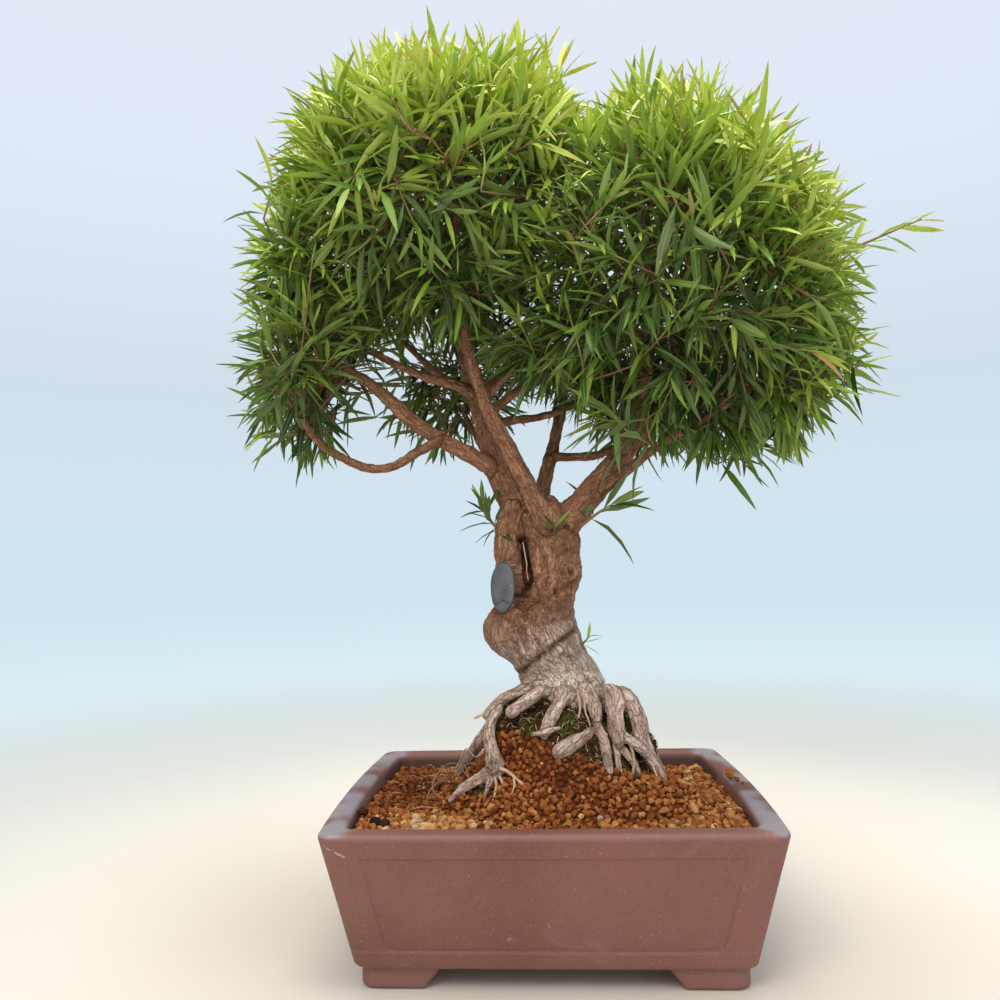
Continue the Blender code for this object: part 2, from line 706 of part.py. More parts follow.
def bands_between(rings, end):
    """Points and faces of rings of equally many points, up to a far end, with both diagonals of each side."""
    points = [point for ring in rings for point in ring]
    sides = len(rings[0])
    faces = [tuple(reversed(range(sides)))]
    for step in range(len(rings) - 1):
        low = sides * step
        for side in range(sides):
            after = (side + 1) % sides
            corners = (low + side, low + after, low + sides + after, low + sides + side)
            faces += [corners[:at] + corners[at + 1 :] for at in range(4)]
    last = sides * (len(rings) - 1)
    faces += [(last + side, last + (side + 1) % sides, len(points)) for side in range(sides)]
    return [*points, end], faces


def sphere_directions(count):
    """Evenly spread directions, as on a sunflower head wrapped round a ball."""
    for index in range(count):
        height = 1 - 2 * (index + 0.5) / count
        flat = math.sqrt(1 - height * height)
        angle = index * GOLDEN_ANGLE
        yield Vector((flat * math.cos(angle), flat * math.sin(angle), height))


def depth_in_cloud(point, cloud):
    """0 at a cloud's centre and 1 on its surface."""
    return math.dist(
        [p / h for p, h in zip(point, cloud.half)],
        [c / h for c, h in zip(cloud.centre, cloud.half)],
    )


def limb_ends():
    """Base point and direction of the spray at the end of each limb."""
    places = []
    for limb in LIMBS:
        last, end = Vector(limb[-2][:3]), Vector(limb[-1][:3])
        places.append((end, (end - last).normalized()))
    return places


def crown_places():
    """Base point and direction of every spray that would reach the outside of the joined clouds."""
    places = []
    for cloud in CLOUDS:
        centre = Vector(cloud.centre)
        half = Vector(cloud.half)
        for direction in sphere_directions(DIRECTIONS):
            tip = centre + direction * half
            hidden = any(
                depth_in_cloud(tip, other) < 0.97 for other in CLOUDS if other is not cloud
            )
            if direction.z < UNDERSIDE or hidden:
                continue
            slope_y, slope_z = FRONT_SLOPE_FROM
            tip.z = min(tip.z, slope_z + FRONT_SLOPE * min(tip.y - slope_y, 0.0))
            normal = Vector([d / h for d, h in zip(direction, half)]).normalized()
            heading = (normal + Vector((0, 0, UPWARD_PULL))).normalized()
            places.append((tip - heading * SPRAY_REACH, heading))
    return places


def evenly_spread(taken, places, count):
    """Picks places one by one, each the furthest from all sprays so far."""

    def middle(place):
        return place[0] + place[1] * (SPRAY_REACH * 0.6)

    middles = [middle(place) for place in places]
    nearest = [min((spot - middle(other)).length for other in taken) for spot in middles]
    chosen = []
    for _ in range(count):
        best = max(range(len(places)), key=nearest.__getitem__)
        chosen.append(places[best])
        nearest = [
            min(least, (spot - middles[best]).length) for spot, least in zip(middles, nearest)
        ]
    return chosen


def branchlet(base, heading, wood):
    """A branchlet's route from the best place on the wood to just behind a spray."""
    foot_of_spray = base - heading * 14

    def cost(candidate):
        place, radius = candidate
        run = foot_of_spray - place
        backwards = max(-run.normalized().dot(heading), 0.0)
        return run.length * (1 + backwards) + (0 if radius > 1.9 else 1000)

    start, radius = min(wood, key=cost)
    thick = min(radius * 0.85, 2.8)
    middle = start.lerp(foot_of_spray, 0.5) + Vector((0, 0, 4))
    thin = TWIG_RADIUS + 0.3
    return [
        (*start, thick),
        (*middle, (thick + thin) / 2),
        (*foot_of_spray, thin + 0.1),
        (*base, thin),
    ]


def points_along(route, spacing):
    """Places and radii along a route, no further apart than the spacing."""
    for first, second in zip(route, route[1:]):
        start, end = Vector(first[:3]), Vector(second[:3])
        steps = max(int((end - start).length / spacing), 1)
        for step in range(steps):
            share = step / steps
            yield start.lerp(end, share), first[3] + (second[3] - first[3]) * share


def branchlet_routes(places):
    """Routes of all branchlets, nearest sprays first, so that later ones fork off earlier ones."""
    wood = [found for limb in LIMBS for found in points_along(limb[2:], 12)]
    fork = Vector((0, 10, 320))
    routes = []
    for base, heading in sorted(places, key=lambda place: (place[0] - fork).length):
        route = branchlet(base, heading, wood)
        routes.append(route)
        wood += list(points_along(route[:-1], 12))[1:]
    return routes


def build_wood(routes):
    """Trunk, limbs, branchlets and surface roots, grown together in one body."""
    wood = tube("wood", TRUNK, 14)
    pieces = [burl(centre, half) for centre, half in BURLS]
    pieces.append(tube("column", LEFT_COLUMN, 10))
    pieces.append(tube("crevice_back", CREVICE_BACK, 8))
    pieces.append(oval_solid("seat", ((-8.0, 0.86), (0.0, 1.0)), 16))
    pieces += [tube("root", route, 8 if route[0][3] > 11 else 6) for route in ROOTS]
    pieces += [tube("limb", route, 8 if route[0][3] > 9 else 6) for route in LIMBS]
    pieces += [tube("branchlet", route, 4) for route in routes]
    combine(wood, pieces, "UNION", "MANIFOLD")
    thin_out(wood, WOOD_DETAIL)
    levels = ((0.0, SEAT_MARGIN), (SEAT_CLEAR, SEAT_MARGIN))
    combine(wood, [oval_solid("wound", levels, 16)], "DIFFERENCE", "MANIFOLD")
    return wood


# A leaf: where it starts, which way it points, its left-to-right direction, length and arch
Leaf = namedtuple("Leaf", "root heading side length arch")


def leaf_corners(leaf, margin=0.0):
    """A leaf's left and right edge and its keel, where it is widest, and then its tip."""
    upper = leaf.side.cross(leaf.heading)
    middle = leaf.root + leaf.heading * (leaf.length * LEAF_WIDEST)
    middle -= upper * (leaf.arch * leaf.length * LEAF_WIDEST**2)
    half = leaf.side * (LEAF_WIDTH / 2 + margin)
    keel = middle - upper * (LEAF_KEEL + margin)
    tip = leaf.root + leaf.heading * (leaf.length + margin) - upper * (leaf.arch * leaf.length)
    return middle - half, middle + half, keel, tip


def leaf_ring(leaf, foot, margin=0.0):
    """The ring where a leaf is widest, turned to suit the three points of its foot, and its tip."""
    *ring, tip = leaf_corners(leaf, margin)
    if (ring[1] - ring[0]).cross(ring[2] - ring[0]).dot(leaf.heading) < 0:
        ring.reverse()
    turns = [ring[shift:] + ring[:shift] for shift in range(3)]
    nearest = min(turns, key=lambda turned: sum((f - r).length for f, r in zip(foot, turned)))
    return nearest, tip


def leaf_outline(leaf, foot, foot_scale, margin):
    """A solid like the leaf, to test it with, with its foot scaled and a margin round its blade."""
    lift = leaf.heading * (FOOT_LIFT if foot_scale < 1 else 0.0)
    around = [leaf.root + (point - leaf.root) * foot_scale + lift for point in foot]
    ring, tip = leaf_ring(leaf, foot, margin)
    return bands_between([around, ring], tip)


def slim_foot(leaf):
    """Three points round the narrow root of a leaf that stands on a twig."""
    upper = leaf.side.cross(leaf.heading)
    root = leaf.root + leaf.heading * 2.0
    return [root - leaf.side + upper, root + leaf.side + upper, root - upper]


def blade(leaf):
    """A willow-like leaf: pointed at both ends, keeled below and arched over its length."""
    bm = bmesh.new()
    left, right, keel, end = (bm.verts.new(corner) for corner in leaf_corners(leaf))
    start = bm.verts.new(leaf.root)
    outline = (start, right, end, left)
    for first, second in zip(outline, outline[1:] + outline[:1]):
        bm.faces.new((keel, second, first))
    bm.faces.new((start, right, left))
    bm.faces.new((left, right, end))
    return object_from_bmesh("leaf", bm)


def facet_band(bm, lower, upper):
    """Joins two rings with triangles, and returns one triangle of each side for a leaf."""
    facets = []
    for index in range(len(lower)):
        after = (index + 1) % len(lower)
        facets.append(bm.faces.new((lower[index], lower[after], upper[index])))
        bm.faces.new((lower[after], upper[after], upper[index]))
    return facets


def core_rings(base, heading, turn):
    """The corner points of a spray's slim core, ring by ring."""
    across = heading.orthogonal().normalized()
    rings = []
    for step, (share, radius, _) in enumerate(CORE_RINGS):
        ring = []
        for side in range(CORE_SIDES):
            angle = turn + math.radians(step * CORE_TWIST + side * 360 / CORE_SIDES)
            out = Matrix.Rotation(angle, 3, heading) @ across
            ring.append(base + heading * (share * CORE_LENGTH) + out * radius)
        rings.append(ring)
    return rings


def core_facets(bm, base, heading, turn):
    """Makes a spray's slim core and returns the facets that carry leaves, each with its forward lean."""
    rings = [[bm.verts.new(point) for point in ring] for ring in core_rings(base, heading, turn)]
    bm.faces.new(reversed(rings[0]))
    tip = bm.verts.new(base + heading * CORE_LENGTH)
    found = []
    for lower, upper, (_, _, lean) in zip(rings, rings[1:], CORE_RINGS[1:]):
        found += [(facet, lean) for facet in facet_band(bm, lower, upper)]
    last = rings[-1]
    for side in range(CORE_SIDES):
        facet = bm.faces.new((last[side], last[(side + 1) % CORE_SIDES], tip))
        if side % 2 == 0:
            found.append((facet, TIP_LEAN))
    return found


def core_outline(base, heading, turn, margin):
    """A solid like a spray's core, to test it with, with a margin round it."""
    rings = []
    for ring in core_rings(base, heading, turn):
        centre = sum(ring, Vector()) / CORE_SIDES
        rings.append([point + (point - centre).normalized() * margin for point in ring])
    return bands_between(rings, base + heading * CORE_LENGTH)


def draw_out(bm, facet, leaf):
    """Draws a facet out into a blade: extruded to where it is widest, then poked out to its tip."""
    raised = bmesh.ops.extrude_discrete_faces(bm, faces=[facet])["faces"][0]
    corners = [loop.vert for loop in raised.loops]
    ring, tip = leaf_ring(leaf, [corner.co for corner in corners])
    for corner, spot in zip(corners, ring):
        corner.co = spot
    bmesh.ops.poke(bm, faces=[raised])["verts"][0].co = tip


def turned(axis, away, turn):
    """A direction that leans away from the axis by one angle, turned round it by another."""
    across = axis.orthogonal().normalized()
    around = Matrix.Rotation(turn, 3, axis) @ across
    return (axis * math.cos(away) + around * math.sin(away)).normalized()


def leafy_shoot(name, route, leaves, leaf_length, rng, crowd):
    """A twig with its leaves, fused in one node. Leaves that would touch other nodes are turned clear."""
    twig = tube(name, route, 4)
    points = [Vector(point[:3]) for point in route]
    turn = rng.uniform(0, 2 * math.pi)
    blades = []
    for index in range(leaves):
        share = 1.0 if index == leaves - 1 else 0.12 + 0.8 * index / (leaves - 1)
        place = share * (len(points) - 1)
        stretch = min(int(place), len(points) - 2)
        root = points[stretch].lerp(points[stretch + 1], place - stretch)
        axis = (points[stretch + 1] - points[stretch]).normalized()
        for _ in range(10):
            turn += GOLDEN_ANGLE
            away = rng.uniform(4, 14) if share == 1.0 else rng.uniform(38, 66) - 18 * share
            heading = turned(axis, math.radians(away), turn)
            level = heading.cross(Vector((0, 0, 1)))
            side = level.normalized() if level.length > 0.2 else heading.orthogonal().normalized()
            side = Matrix.Rotation(rng.uniform(-0.6, 0.6), 3, heading) @ side
            length = leaf_length * rng.uniform(0.84, 1.12)
            leaf = Leaf(root - heading * 0.4, heading, side, length, rng.uniform(0.05, 0.2))
            if crowd.takes(*leaf_outline(leaf, slim_foot(leaf), 1.0, LEAF_MARGIN)):
                blades.append(blade(leaf))
                break
    for part in (twig, *blades):
        crowd.add_object(part)
    return combine(twig, blades, "UNION", "MANIFOLD")


def fitting_leaf(facet, lean, base, heading, rng, fits):
    """The first of a dozen slightly different leaves on this facet that fits, if any does."""
    root = facet.calc_center_median()
    foot = [loop.vert.co.copy() for loop in facet.loops]
    out = root - base
    out -= heading * out.dot(heading)
    out = out.normalized()
    for attempt in range(LEAF_TRIES):
        forward = math.radians(lean + rng.uniform(-9, 9) + 4 * attempt)
        swing = Matrix.Rotation(rng.uniform(-0.16, 0.16) * (1 + 0.5 * attempt), 3, heading)
        way = swing @ (out * math.cos(forward) + heading * math.sin(forward))
        side = Matrix.Rotation(rng.uniform(-0.35, 0.35), 3, way) @ way.cross(heading).normalized()
        length = LEAF_LENGTH * rng.uniform(0.86, 1.1)
        leaf = Leaf(root, way, side, length, rng.uniform(0.02, 0.16))
        if fits(leaf, foot):
            return leaf
    return None


def crosses_itself(bm):
    """Whether any two faces that share no corner meet."""
    surface = BVHTree.FromBMesh(bm)
    bm.faces.ensure_lookup_table()
    return any(
        not set(bm.faces[first].verts) & set(bm.faces[second].verts)
        for first, second in surface.overlap(surface)
    )


def leafy_head(name, base, heading, turn, rng, crowd):
    """One spray: a slim core whose facets are drawn out into leaves, each bent clear of what is there."""
    bm = bmesh.new()
    facets = core_facets(bm, base, heading, turn)
    bmesh.ops.recalc_face_normals(bm, faces=bm.faces)
    own = Crowd()
    own.add(name, *core_outline(base, heading, turn, -FOOT_LIFT / 4))
    solids = []

    def fits(leaf, foot):
        slim = leaf_outline(leaf, foot, FOOT_SLIM, 0.0)
        full = leaf_outline(leaf, foot, FOOT_FULL, LEAF_MARGIN)
        if not own.takes(*slim) or not crowd.takes(*full, but=name):
            return False
        own.add(name, *slim)
        solids.append(full)
        return True

    for facet, lean in facets:
        leaf = fitting_leaf(facet, lean, base, heading, rng, fits)
        if leaf:
            draw_out(bm, facet, leaf)
    bmesh.ops.triangulate(bm, faces=bm.faces)
    return bm, solids


def build_spray(name, base, heading, turn, rng, crowd):
    """One spray, drawn again with other random turns while its leaves cross."""
    for _ in range(SPRAY_TRIES):
        bm, solids = leafy_head(name, base, heading, turn, rng, crowd)
        if not crosses_itself(bm):
            break
        bm.free()
    for solid in solids:
        crowd.add(name, *solid)
    return object_from_bmesh(name, bm, faces_out=True)


def build_sprays(places, crowd):
    """One leafy spray at the end of each limb and branchlet, where its core is clear of the rest."""
    placed = []
    for base, heading in places:
        name = f"spray_{len(placed) + 1:02d}"
        rng = random.Random(SEED + len(placed))
        start, turn = base + heading * GAP, rng.uniform(0, math.pi)
        outline = core_outline(start, heading, turn, 2 * LEAF_MARGIN)
        if len(placed) < SPRAY_LIMIT and crowd.takes(*outline):
            crowd.add(name, *outline)
            placed.append((name, start, heading, turn, rng))
    return [build_spray(*place, crowd) for place in placed]


def build_sprig(crowd):
    """The long sprig on the right, with leaves along it and at its end."""
    radii = (1.9, 1.7, 1.5, 1.3, 1.0)
    route = [(*place, radius) for place, radius in zip(SPRIG, radii)]
    return leafy_shoot("sprig_long", route, 9, 38.0, random.Random(SEED - 1), crowd)


def build_sprouts(wood, crowd):
    """Small leafy shoots on the trunk, each starting just off the bark."""
    bark = BVHTree.FromPolygons(
        [vert.co / MM for vert in wood.data.vertices],
        [list(face.vertices) for face in wood.data.polygons],
    )
    shoots = []
    for index, sprout in enumerate(SPROUTS):
        aim = Vector(sprout.base)
        place, normal, _, _ = bark.find_nearest(aim)
        heading = Vector(sprout.direction).normalized()
        start = place + normal * (GAP + 0.15)
        lift = start + normal * 3
        end = lift + heading * sprout.length
        route = [(*start, 1.1), (*lift, 1.1), (*lift.lerp(end, 0.5), 1.0), (*end, 0.7)]
        rng = random.Random(SEED + 500 + index)
        shoots.append(
            leafy_shoot(sprout.name, route, sprout.leaves, sprout.leaf_length, rng, crowd)
        )
    return shoots


def dress(objects, material):
    """Gives objects one material and flat or smooth faces as they are."""
    for obj in objects:
        obj.data.materials.clear()
        obj.data.materials.append(material)


def stand_on_origin(objects):
    """Parents the pieces to an empty that puts the middle of their whole footprint at the origin."""
    corners = [vert.co for obj in objects for vert in obj.data.vertices]
    low = [min(corner[axis] for corner in corners) for axis in range(3)]
    high = [max(corner[axis] for corner in corners) for axis in range(3)]
    base = bpy.data.objects.new("bonsai_base", None)
    bpy.context.scene.collection.objects.link(base)
    base.location = (-(low[0] + high[0]) / 2, -(low[1] + high[1]) / 2, -low[2])
    for obj in objects:
        obj.parent = base


def main():
    """Builds every piece, from the pot up."""
    clear_scene()
    pot = build_pot()
    meshes = [build_drain_mesh(-1), build_drain_mesh(1)]
    soil = build_soil()
    ends = [place for limb, place in zip(LIMBS, limb_ends()) if limb is not RIGHT_OUTER]
    spread = evenly_spread(ends, crown_places(), SPRAY_COUNT - len(ends))
    routes = branchlet_routes(spread)
    places = ends + spread
    wood = build_wood(routes)
    paste = build_paste()
    crowd = Crowd()
    for placed in (wood, paste, soil):
        crowd.add_object(placed)
    sprig = build_sprig(crowd)
    sprays = build_sprays(places, crowd)
    sprouts = build_sprouts(wood, crowd)
    dress([pot], finish("unglazed_clay", (0.24, 0.11, 0.085), 0.75))
    dress(meshes, finish("black_plastic", (0.03, 0.03, 0.032), 0.5))
    dress([soil], finish("clay_granules", (0.36, 0.16, 0.05), 0.95))
    dress([wood], finish("bark", (0.42, 0.29, 0.2), 0.85))
    dress([paste], finish("wound_paste", (0.1, 0.105, 0.12), 0.55))
    dress([*sprays, sprig], finish("leaf_green", (0.2, 0.38, 0.05), 0.4))
    dress(sprouts, finish("sprout_green", (0.07, 0.2, 0.03), 0.4))
    pieces = [pot, *meshes, soil, wood, paste, *sprays, sprig, *sprouts]
    collection = collection_named("willow_leaf_fig_bonsai")
    for obj in pieces:
        bpy.context.scene.collection.objects.unlink(obj)
        collection.objects.link(obj)
    stand_on_origin(pieces)


main()
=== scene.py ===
"""The looks of a willow leaf fig bonsai in its clay pot, built round its fixed frame.

Each sub-assembly is a class whose fields are its sizes, and each finish is a frozen
dataclass. Sizes are in millimetres from the middle of the pot's underside, with +X to
the right, +Y to the back and +Z up, and every mesh is placed in the row frame in metres.
"""

import json
import logging
import math
import random
from dataclasses import dataclass, field
from enum import Enum
from typing import Any, Iterable, Sequence

import bmesh
import bpy
import numpy as np
from mathutils import Matrix, Quaternion, Vector, noise
from mathutils.bvhtree import BVHTree

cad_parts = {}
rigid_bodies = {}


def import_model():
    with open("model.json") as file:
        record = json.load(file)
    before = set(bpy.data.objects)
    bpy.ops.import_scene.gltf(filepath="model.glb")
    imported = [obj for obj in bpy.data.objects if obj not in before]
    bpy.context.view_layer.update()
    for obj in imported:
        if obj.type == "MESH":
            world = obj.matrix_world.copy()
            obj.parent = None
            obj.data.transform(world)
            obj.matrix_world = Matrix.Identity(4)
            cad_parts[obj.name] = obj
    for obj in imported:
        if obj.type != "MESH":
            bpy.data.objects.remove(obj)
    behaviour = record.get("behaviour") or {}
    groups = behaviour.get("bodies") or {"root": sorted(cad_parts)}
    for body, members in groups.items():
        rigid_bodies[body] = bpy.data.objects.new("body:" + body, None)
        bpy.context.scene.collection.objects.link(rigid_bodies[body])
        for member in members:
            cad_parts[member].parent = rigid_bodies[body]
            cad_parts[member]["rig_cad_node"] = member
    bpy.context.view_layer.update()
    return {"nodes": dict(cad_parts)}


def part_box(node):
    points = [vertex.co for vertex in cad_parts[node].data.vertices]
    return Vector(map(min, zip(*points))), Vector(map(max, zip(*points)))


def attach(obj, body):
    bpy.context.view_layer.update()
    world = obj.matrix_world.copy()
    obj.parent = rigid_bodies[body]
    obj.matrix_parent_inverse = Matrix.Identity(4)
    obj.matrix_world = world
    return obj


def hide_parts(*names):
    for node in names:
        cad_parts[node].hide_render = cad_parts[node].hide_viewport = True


LOG = logging.getLogger("bonsai")
MM = 0.001
SEED = 5209
BODY = "root"
GOLDEN_ANGLE = math.radians(137.5)
UP = Vector((0, 0, 1))

Route = Sequence[tuple[float, ...]]
Colour = tuple[float, float, float, float]


class Slot(Enum):
    """The record's material slots."""

    CLAY = "unglazed_clay"
    PLASTIC = "black_plastic"
    GRANULES = "clay_granules"
    BARK = "bark"
    PASTE = "wound_paste"
    LEAF = "leaf_green"
    SPROUT = "sprout_green"


class Zone(Enum):
    """Which part of the tree a stretch of wood belongs to."""

    TRUNK = 0
    LIMB = 1
    ROOT = 2


def tone(code: str) -> Colour:
    """A paint colour written as #rrggbb, as the linear colour that a shader takes."""
    parts = [int(code[at : at + 2], 16) / 255 for at in (1, 3, 5)]
    linear = [p / 12.92 if p <= 0.04045 else ((p + 0.055) / 1.055) ** 2.4 for p in parts]
    return (*linear, 1.0)


def smooth_step(low: float, high: float, value: Any) -> Any:
    """0 below low, 1 above high and a smooth rise between, for a number or an array."""
    share = np.clip((value - low) / (high - low), 0.0, 1.0)
    return share * share * (3 - 2 * share)


@dataclass(frozen=True)
class Bench:
    """Where the maker's millimetres lie in the row frame."""

    origin: Vector

    @classmethod
    def under_pot(cls) -> "Bench":
        """The bench whose zero is the middle of the pot's underside."""
        low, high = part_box("pot")
        return cls(Vector(((low.x + high.x) / 2, (low.y + high.y) / 2, low.z)))

    def placed(self, points: Any) -> np.ndarray:
        """Millimetre points as row-frame metres."""
        return np.asarray(points, float).reshape(-1, 3) * MM + np.array(self.origin)

    def measured(self, points: Any) -> np.ndarray:
        """Row-frame metres as millimetre points."""
        return (np.asarray(points, float).reshape(-1, 3) - np.array(self.origin)) / MM


class Wiring:
    """Adds nodes to one tree and joins their sockets."""

    def __init__(self, tree: bpy.types.NodeTree) -> None:
        """Takes the tree that the nodes go into."""
        self.tree = tree

    def put(self, kind: str, feeds: dict | None = None, **settings: Any) -> bpy.types.Node:
        """Adds one node.

        Args:
            kind: The node's type.
            feeds: What each input takes, by its name or number: a socket or a value.
            settings: The node's own properties.

        Returns:
            The new node.
        """
        made = self.tree.nodes.new(kind)
        for name, value in settings.items():
            setattr(made, name, value)
        for key, value in (feeds or {}).items():
            if isinstance(value, bpy.types.NodeSocket):
                self.tree.links.new(value, made.inputs[key])
            else:
                made.inputs[key].default_value = value
        return made

    def maths(self, operation: str, *terms: Any, clamp: bool = False) -> bpy.types.NodeSocket:
        """The result of one Math node on these terms."""
        feeds = dict(enumerate(terms))
        made = self.put("ShaderNodeMath", feeds, operation=operation, use_clamp=clamp)
        return made.outputs[0]

    def mix(self, share: Any, first: Any, second: Any, blend: str = "MIX") -> bpy.types.NodeSocket:
        """Two colours mixed by share, from 0 for the first to 1 for the second."""
        made = self.put(
            "ShaderNodeMix",
            {0: share, 6: first, 7: second},
            data_type="RGBA",
            blend_type=blend,
            clamp_factor=True,
        )
        return made.outputs[2]

    def ranged(self, value: Any, low: float, high: float, start: float = 0.0, end: float = 1.0):
        """A value moved smoothly from the range low to high into the range start to end."""
        made = self.put(
            "ShaderNodeMapRange",
            {0: value, 1: low, 2: high, 3: start, 4: end},
            interpolation_type="SMOOTHSTEP",
        )
        return made.outputs[0]

    def ramp(self, value: Any, stops: Sequence[tuple[float, str]]) -> bpy.types.NodeSocket:
        """A colour ramp over these stops: a place from 0 to 1 and a paint colour."""
        made = self.put("ShaderNodeValToRGB", {0: value})
        elements = made.color_ramp.elements
        while len(elements) < len(stops):
            elements.new(0.5)
        for element, (place, code) in zip(elements, stops):
            element.position = place
            element.color = tone(code)
        return made.outputs[0]

    def attribute(self, name: str, output: str = "Fac") -> bpy.types.NodeSocket:
        """A value that the mesh carries."""
        return self.put("ShaderNodeAttribute", attribute_name=name).outputs[output]

    def object_place(self) -> bpy.types.NodeSocket:
        """The Object coordinates of the shaded point."""
        return self.put("ShaderNodeTexCoord").outputs["Object"]

    def noise(self, place: Any, scale: float, detail: float = 3.0, **feeds: Any):
        """The value of a Noise texture."""
        values = {"Vector": place, "Scale": scale, "Detail": detail, **feeds}
        return self.put("ShaderNodeTexNoise", values).outputs[0]

    def bump(self, height: Any, strength: float, distance: float, under: Any = None):
        """The normal of a Bump node, over another one's if given."""
        feeds = {"Height": height, "Strength": strength, "Distance": distance}
        if under is not None:
            feeds["Normal"] = under
        return self.put("ShaderNodeBump", feeds).outputs[0]


class Effects:
    """The shader groups that more than one finish uses, each built once."""

    def __init__(self) -> None:
        """Builds the groups."""
        self.mottle = self._mottle()
        self.specks = self._specks()
        self.fibres = self._fibres()

    @staticmethod
    def _group(name: str, inputs: dict[str, tuple[str, Any]], outputs: dict[str, str]):
        """An empty shader group with named sockets, its wiring and its two ends."""
        tree = bpy.data.node_groups.new(name, "ShaderNodeTree")
        for label, (kind, value) in inputs.items():
            made = tree.interface.new_socket(label, in_out="INPUT", socket_type=kind)
            if value is not None:
                made.default_value = value
        for label, kind in outputs.items():
            tree.interface.new_socket(label, in_out="OUTPUT", socket_type=kind)
        wiring = Wiring(tree)
        return wiring, wiring.put("NodeGroupInput"), wiring.put("NodeGroupOutput")

    def _mottle(self) -> bpy.types.NodeTree:
        """Cloudy patches of two colours."""
        wiring, inlet, outlet = self._group(
            "Cloudy Mottle",
            {
                "Vector": ("NodeSocketVector", None),
                "Scale": ("NodeSocketFloat", 10.0),
                "Detail": ("NodeSocketFloat", 4.0),
                "Contrast": ("NodeSocketFloat", 2.0),
                "First": ("NodeSocketColor", tone("#808080")),
                "Second": ("NodeSocketColor", tone("#a0a0a0")),
            },
            {"Color": "NodeSocketColor", "Mask": "NodeSocketFloat"},
        )
        out = inlet.outputs
        value = wiring.noise(out["Vector"], out["Scale"], out["Detail"])
        centred = wiring.maths("SUBTRACT", value, 0.5)
        mask = wiring.maths("MULTIPLY_ADD", centred, out["Contrast"], 0.5, clamp=True)
        colour = wiring.mix(mask, out["First"], out["Second"])
        wiring.tree.links.new(colour, outlet.inputs["Color"])
        wiring.tree.links.new(mask, outlet.inputs["Mask"])
        return wiring.tree

    def _specks(self) -> bpy.types.NodeTree:
        """Small scattered dots."""
        wiring, inlet, outlet = self._group(
            "Scattered Specks",
            {
                "Vector": ("NodeSocketVector", None),
                "Scale": ("NodeSocketFloat", 300.0),
                "Size": ("NodeSocketFloat", 0.25),
                "Share": ("NodeSocketFloat", 0.3),
            },
            {"Mask": "NodeSocketFloat"},
        )
        out = inlet.outputs
        cells = wiring.put(
            "ShaderNodeTexVoronoi", {"Vector": out["Vector"], "Scale": out["Scale"]}
        )
        near = wiring.maths("LESS_THAN", cells.outputs["Distance"], out["Size"])
        chance = wiring.put("ShaderNodeSeparateColor", {0: cells.outputs["Color"]}).outputs[0]
        kept = wiring.maths("LESS_THAN", chance, out["Share"])
        mask = wiring.maths("MULTIPLY", near, kept)
        wiring.tree.links.new(mask, outlet.inputs["Mask"])
        return wiring.tree

    def _fibres(self) -> bpy.types.NodeTree:
        """Long ridges that run along the third coordinate."""
        wiring, inlet, outlet = self._group(
            "Long Fibres",
            {
                "Vector": ("NodeSocketVector", None),
                "Scale": ("NodeSocketFloat", 400.0),
                "Stretch": ("NodeSocketFloat", 0.15),
                "Waviness": ("NodeSocketFloat", 0.6),
            },
            {"Height": "NodeSocketFloat", "Line": "NodeSocketFloat"},
        )
        out = inlet.outputs
        squeeze = wiring.put("ShaderNodeCombineXYZ", {0: 1.0, 1: 1.0, 2: out["Stretch"]})
        place = wiring.put(
            "ShaderNodeVectorMath",
            {0: out["Vector"], 1: squeeze.outputs[0]},
            operation="MULTIPLY",
        ).outputs[0]
        height = wiring.noise(place, out["Scale"], 4.0, Distortion=out["Waviness"])
        away = wiring.maths("ABSOLUTE", wiring.maths("SUBTRACT", height, 0.5))
        line = wiring.ranged(away, 0.0, 0.06, 1.0, 0.0)
        wiring.tree.links.new(height, outlet.inputs["Height"])
        wiring.tree.links.new(line, outlet.inputs["Line"])
        return wiring.tree


@dataclass(frozen=True)
class Finish:
    """One procedural material. Each kind of finish paints its own nodes."""

    name: str

    def make(self, effects: Effects) -> bpy.types.Material:
        """Builds the material.

        Args:
            effects: The shader groups shared by the finishes.

        Returns:
            The new material.
        """
        material = bpy.data.materials.new(self.name)
        material.use_nodes = True
        wiring = Wiring(material.node_tree)
        self.paint(wiring, material.node_tree.nodes["Principled BSDF"], effects)
        return material

    def paint(self, wiring: Wiring, shader: bpy.types.Node, effects: Effects) -> None:
        """Wires the finish's own nodes into the shader."""
        raise NotImplementedError

    @staticmethod
    def feed(wiring: Wiring, shader: bpy.types.Node, **feeds: Any) -> None:
        """Joins values to the shader's inputs, whose spaces are written as underscores."""
        for key, value in feeds.items():
            socket = shader.inputs[key.replace("_", " ")]
            if isinstance(value, bpy.types.NodeSocket):
                wiring.tree.links.new(value, socket)
            else:
                socket.default_value = value


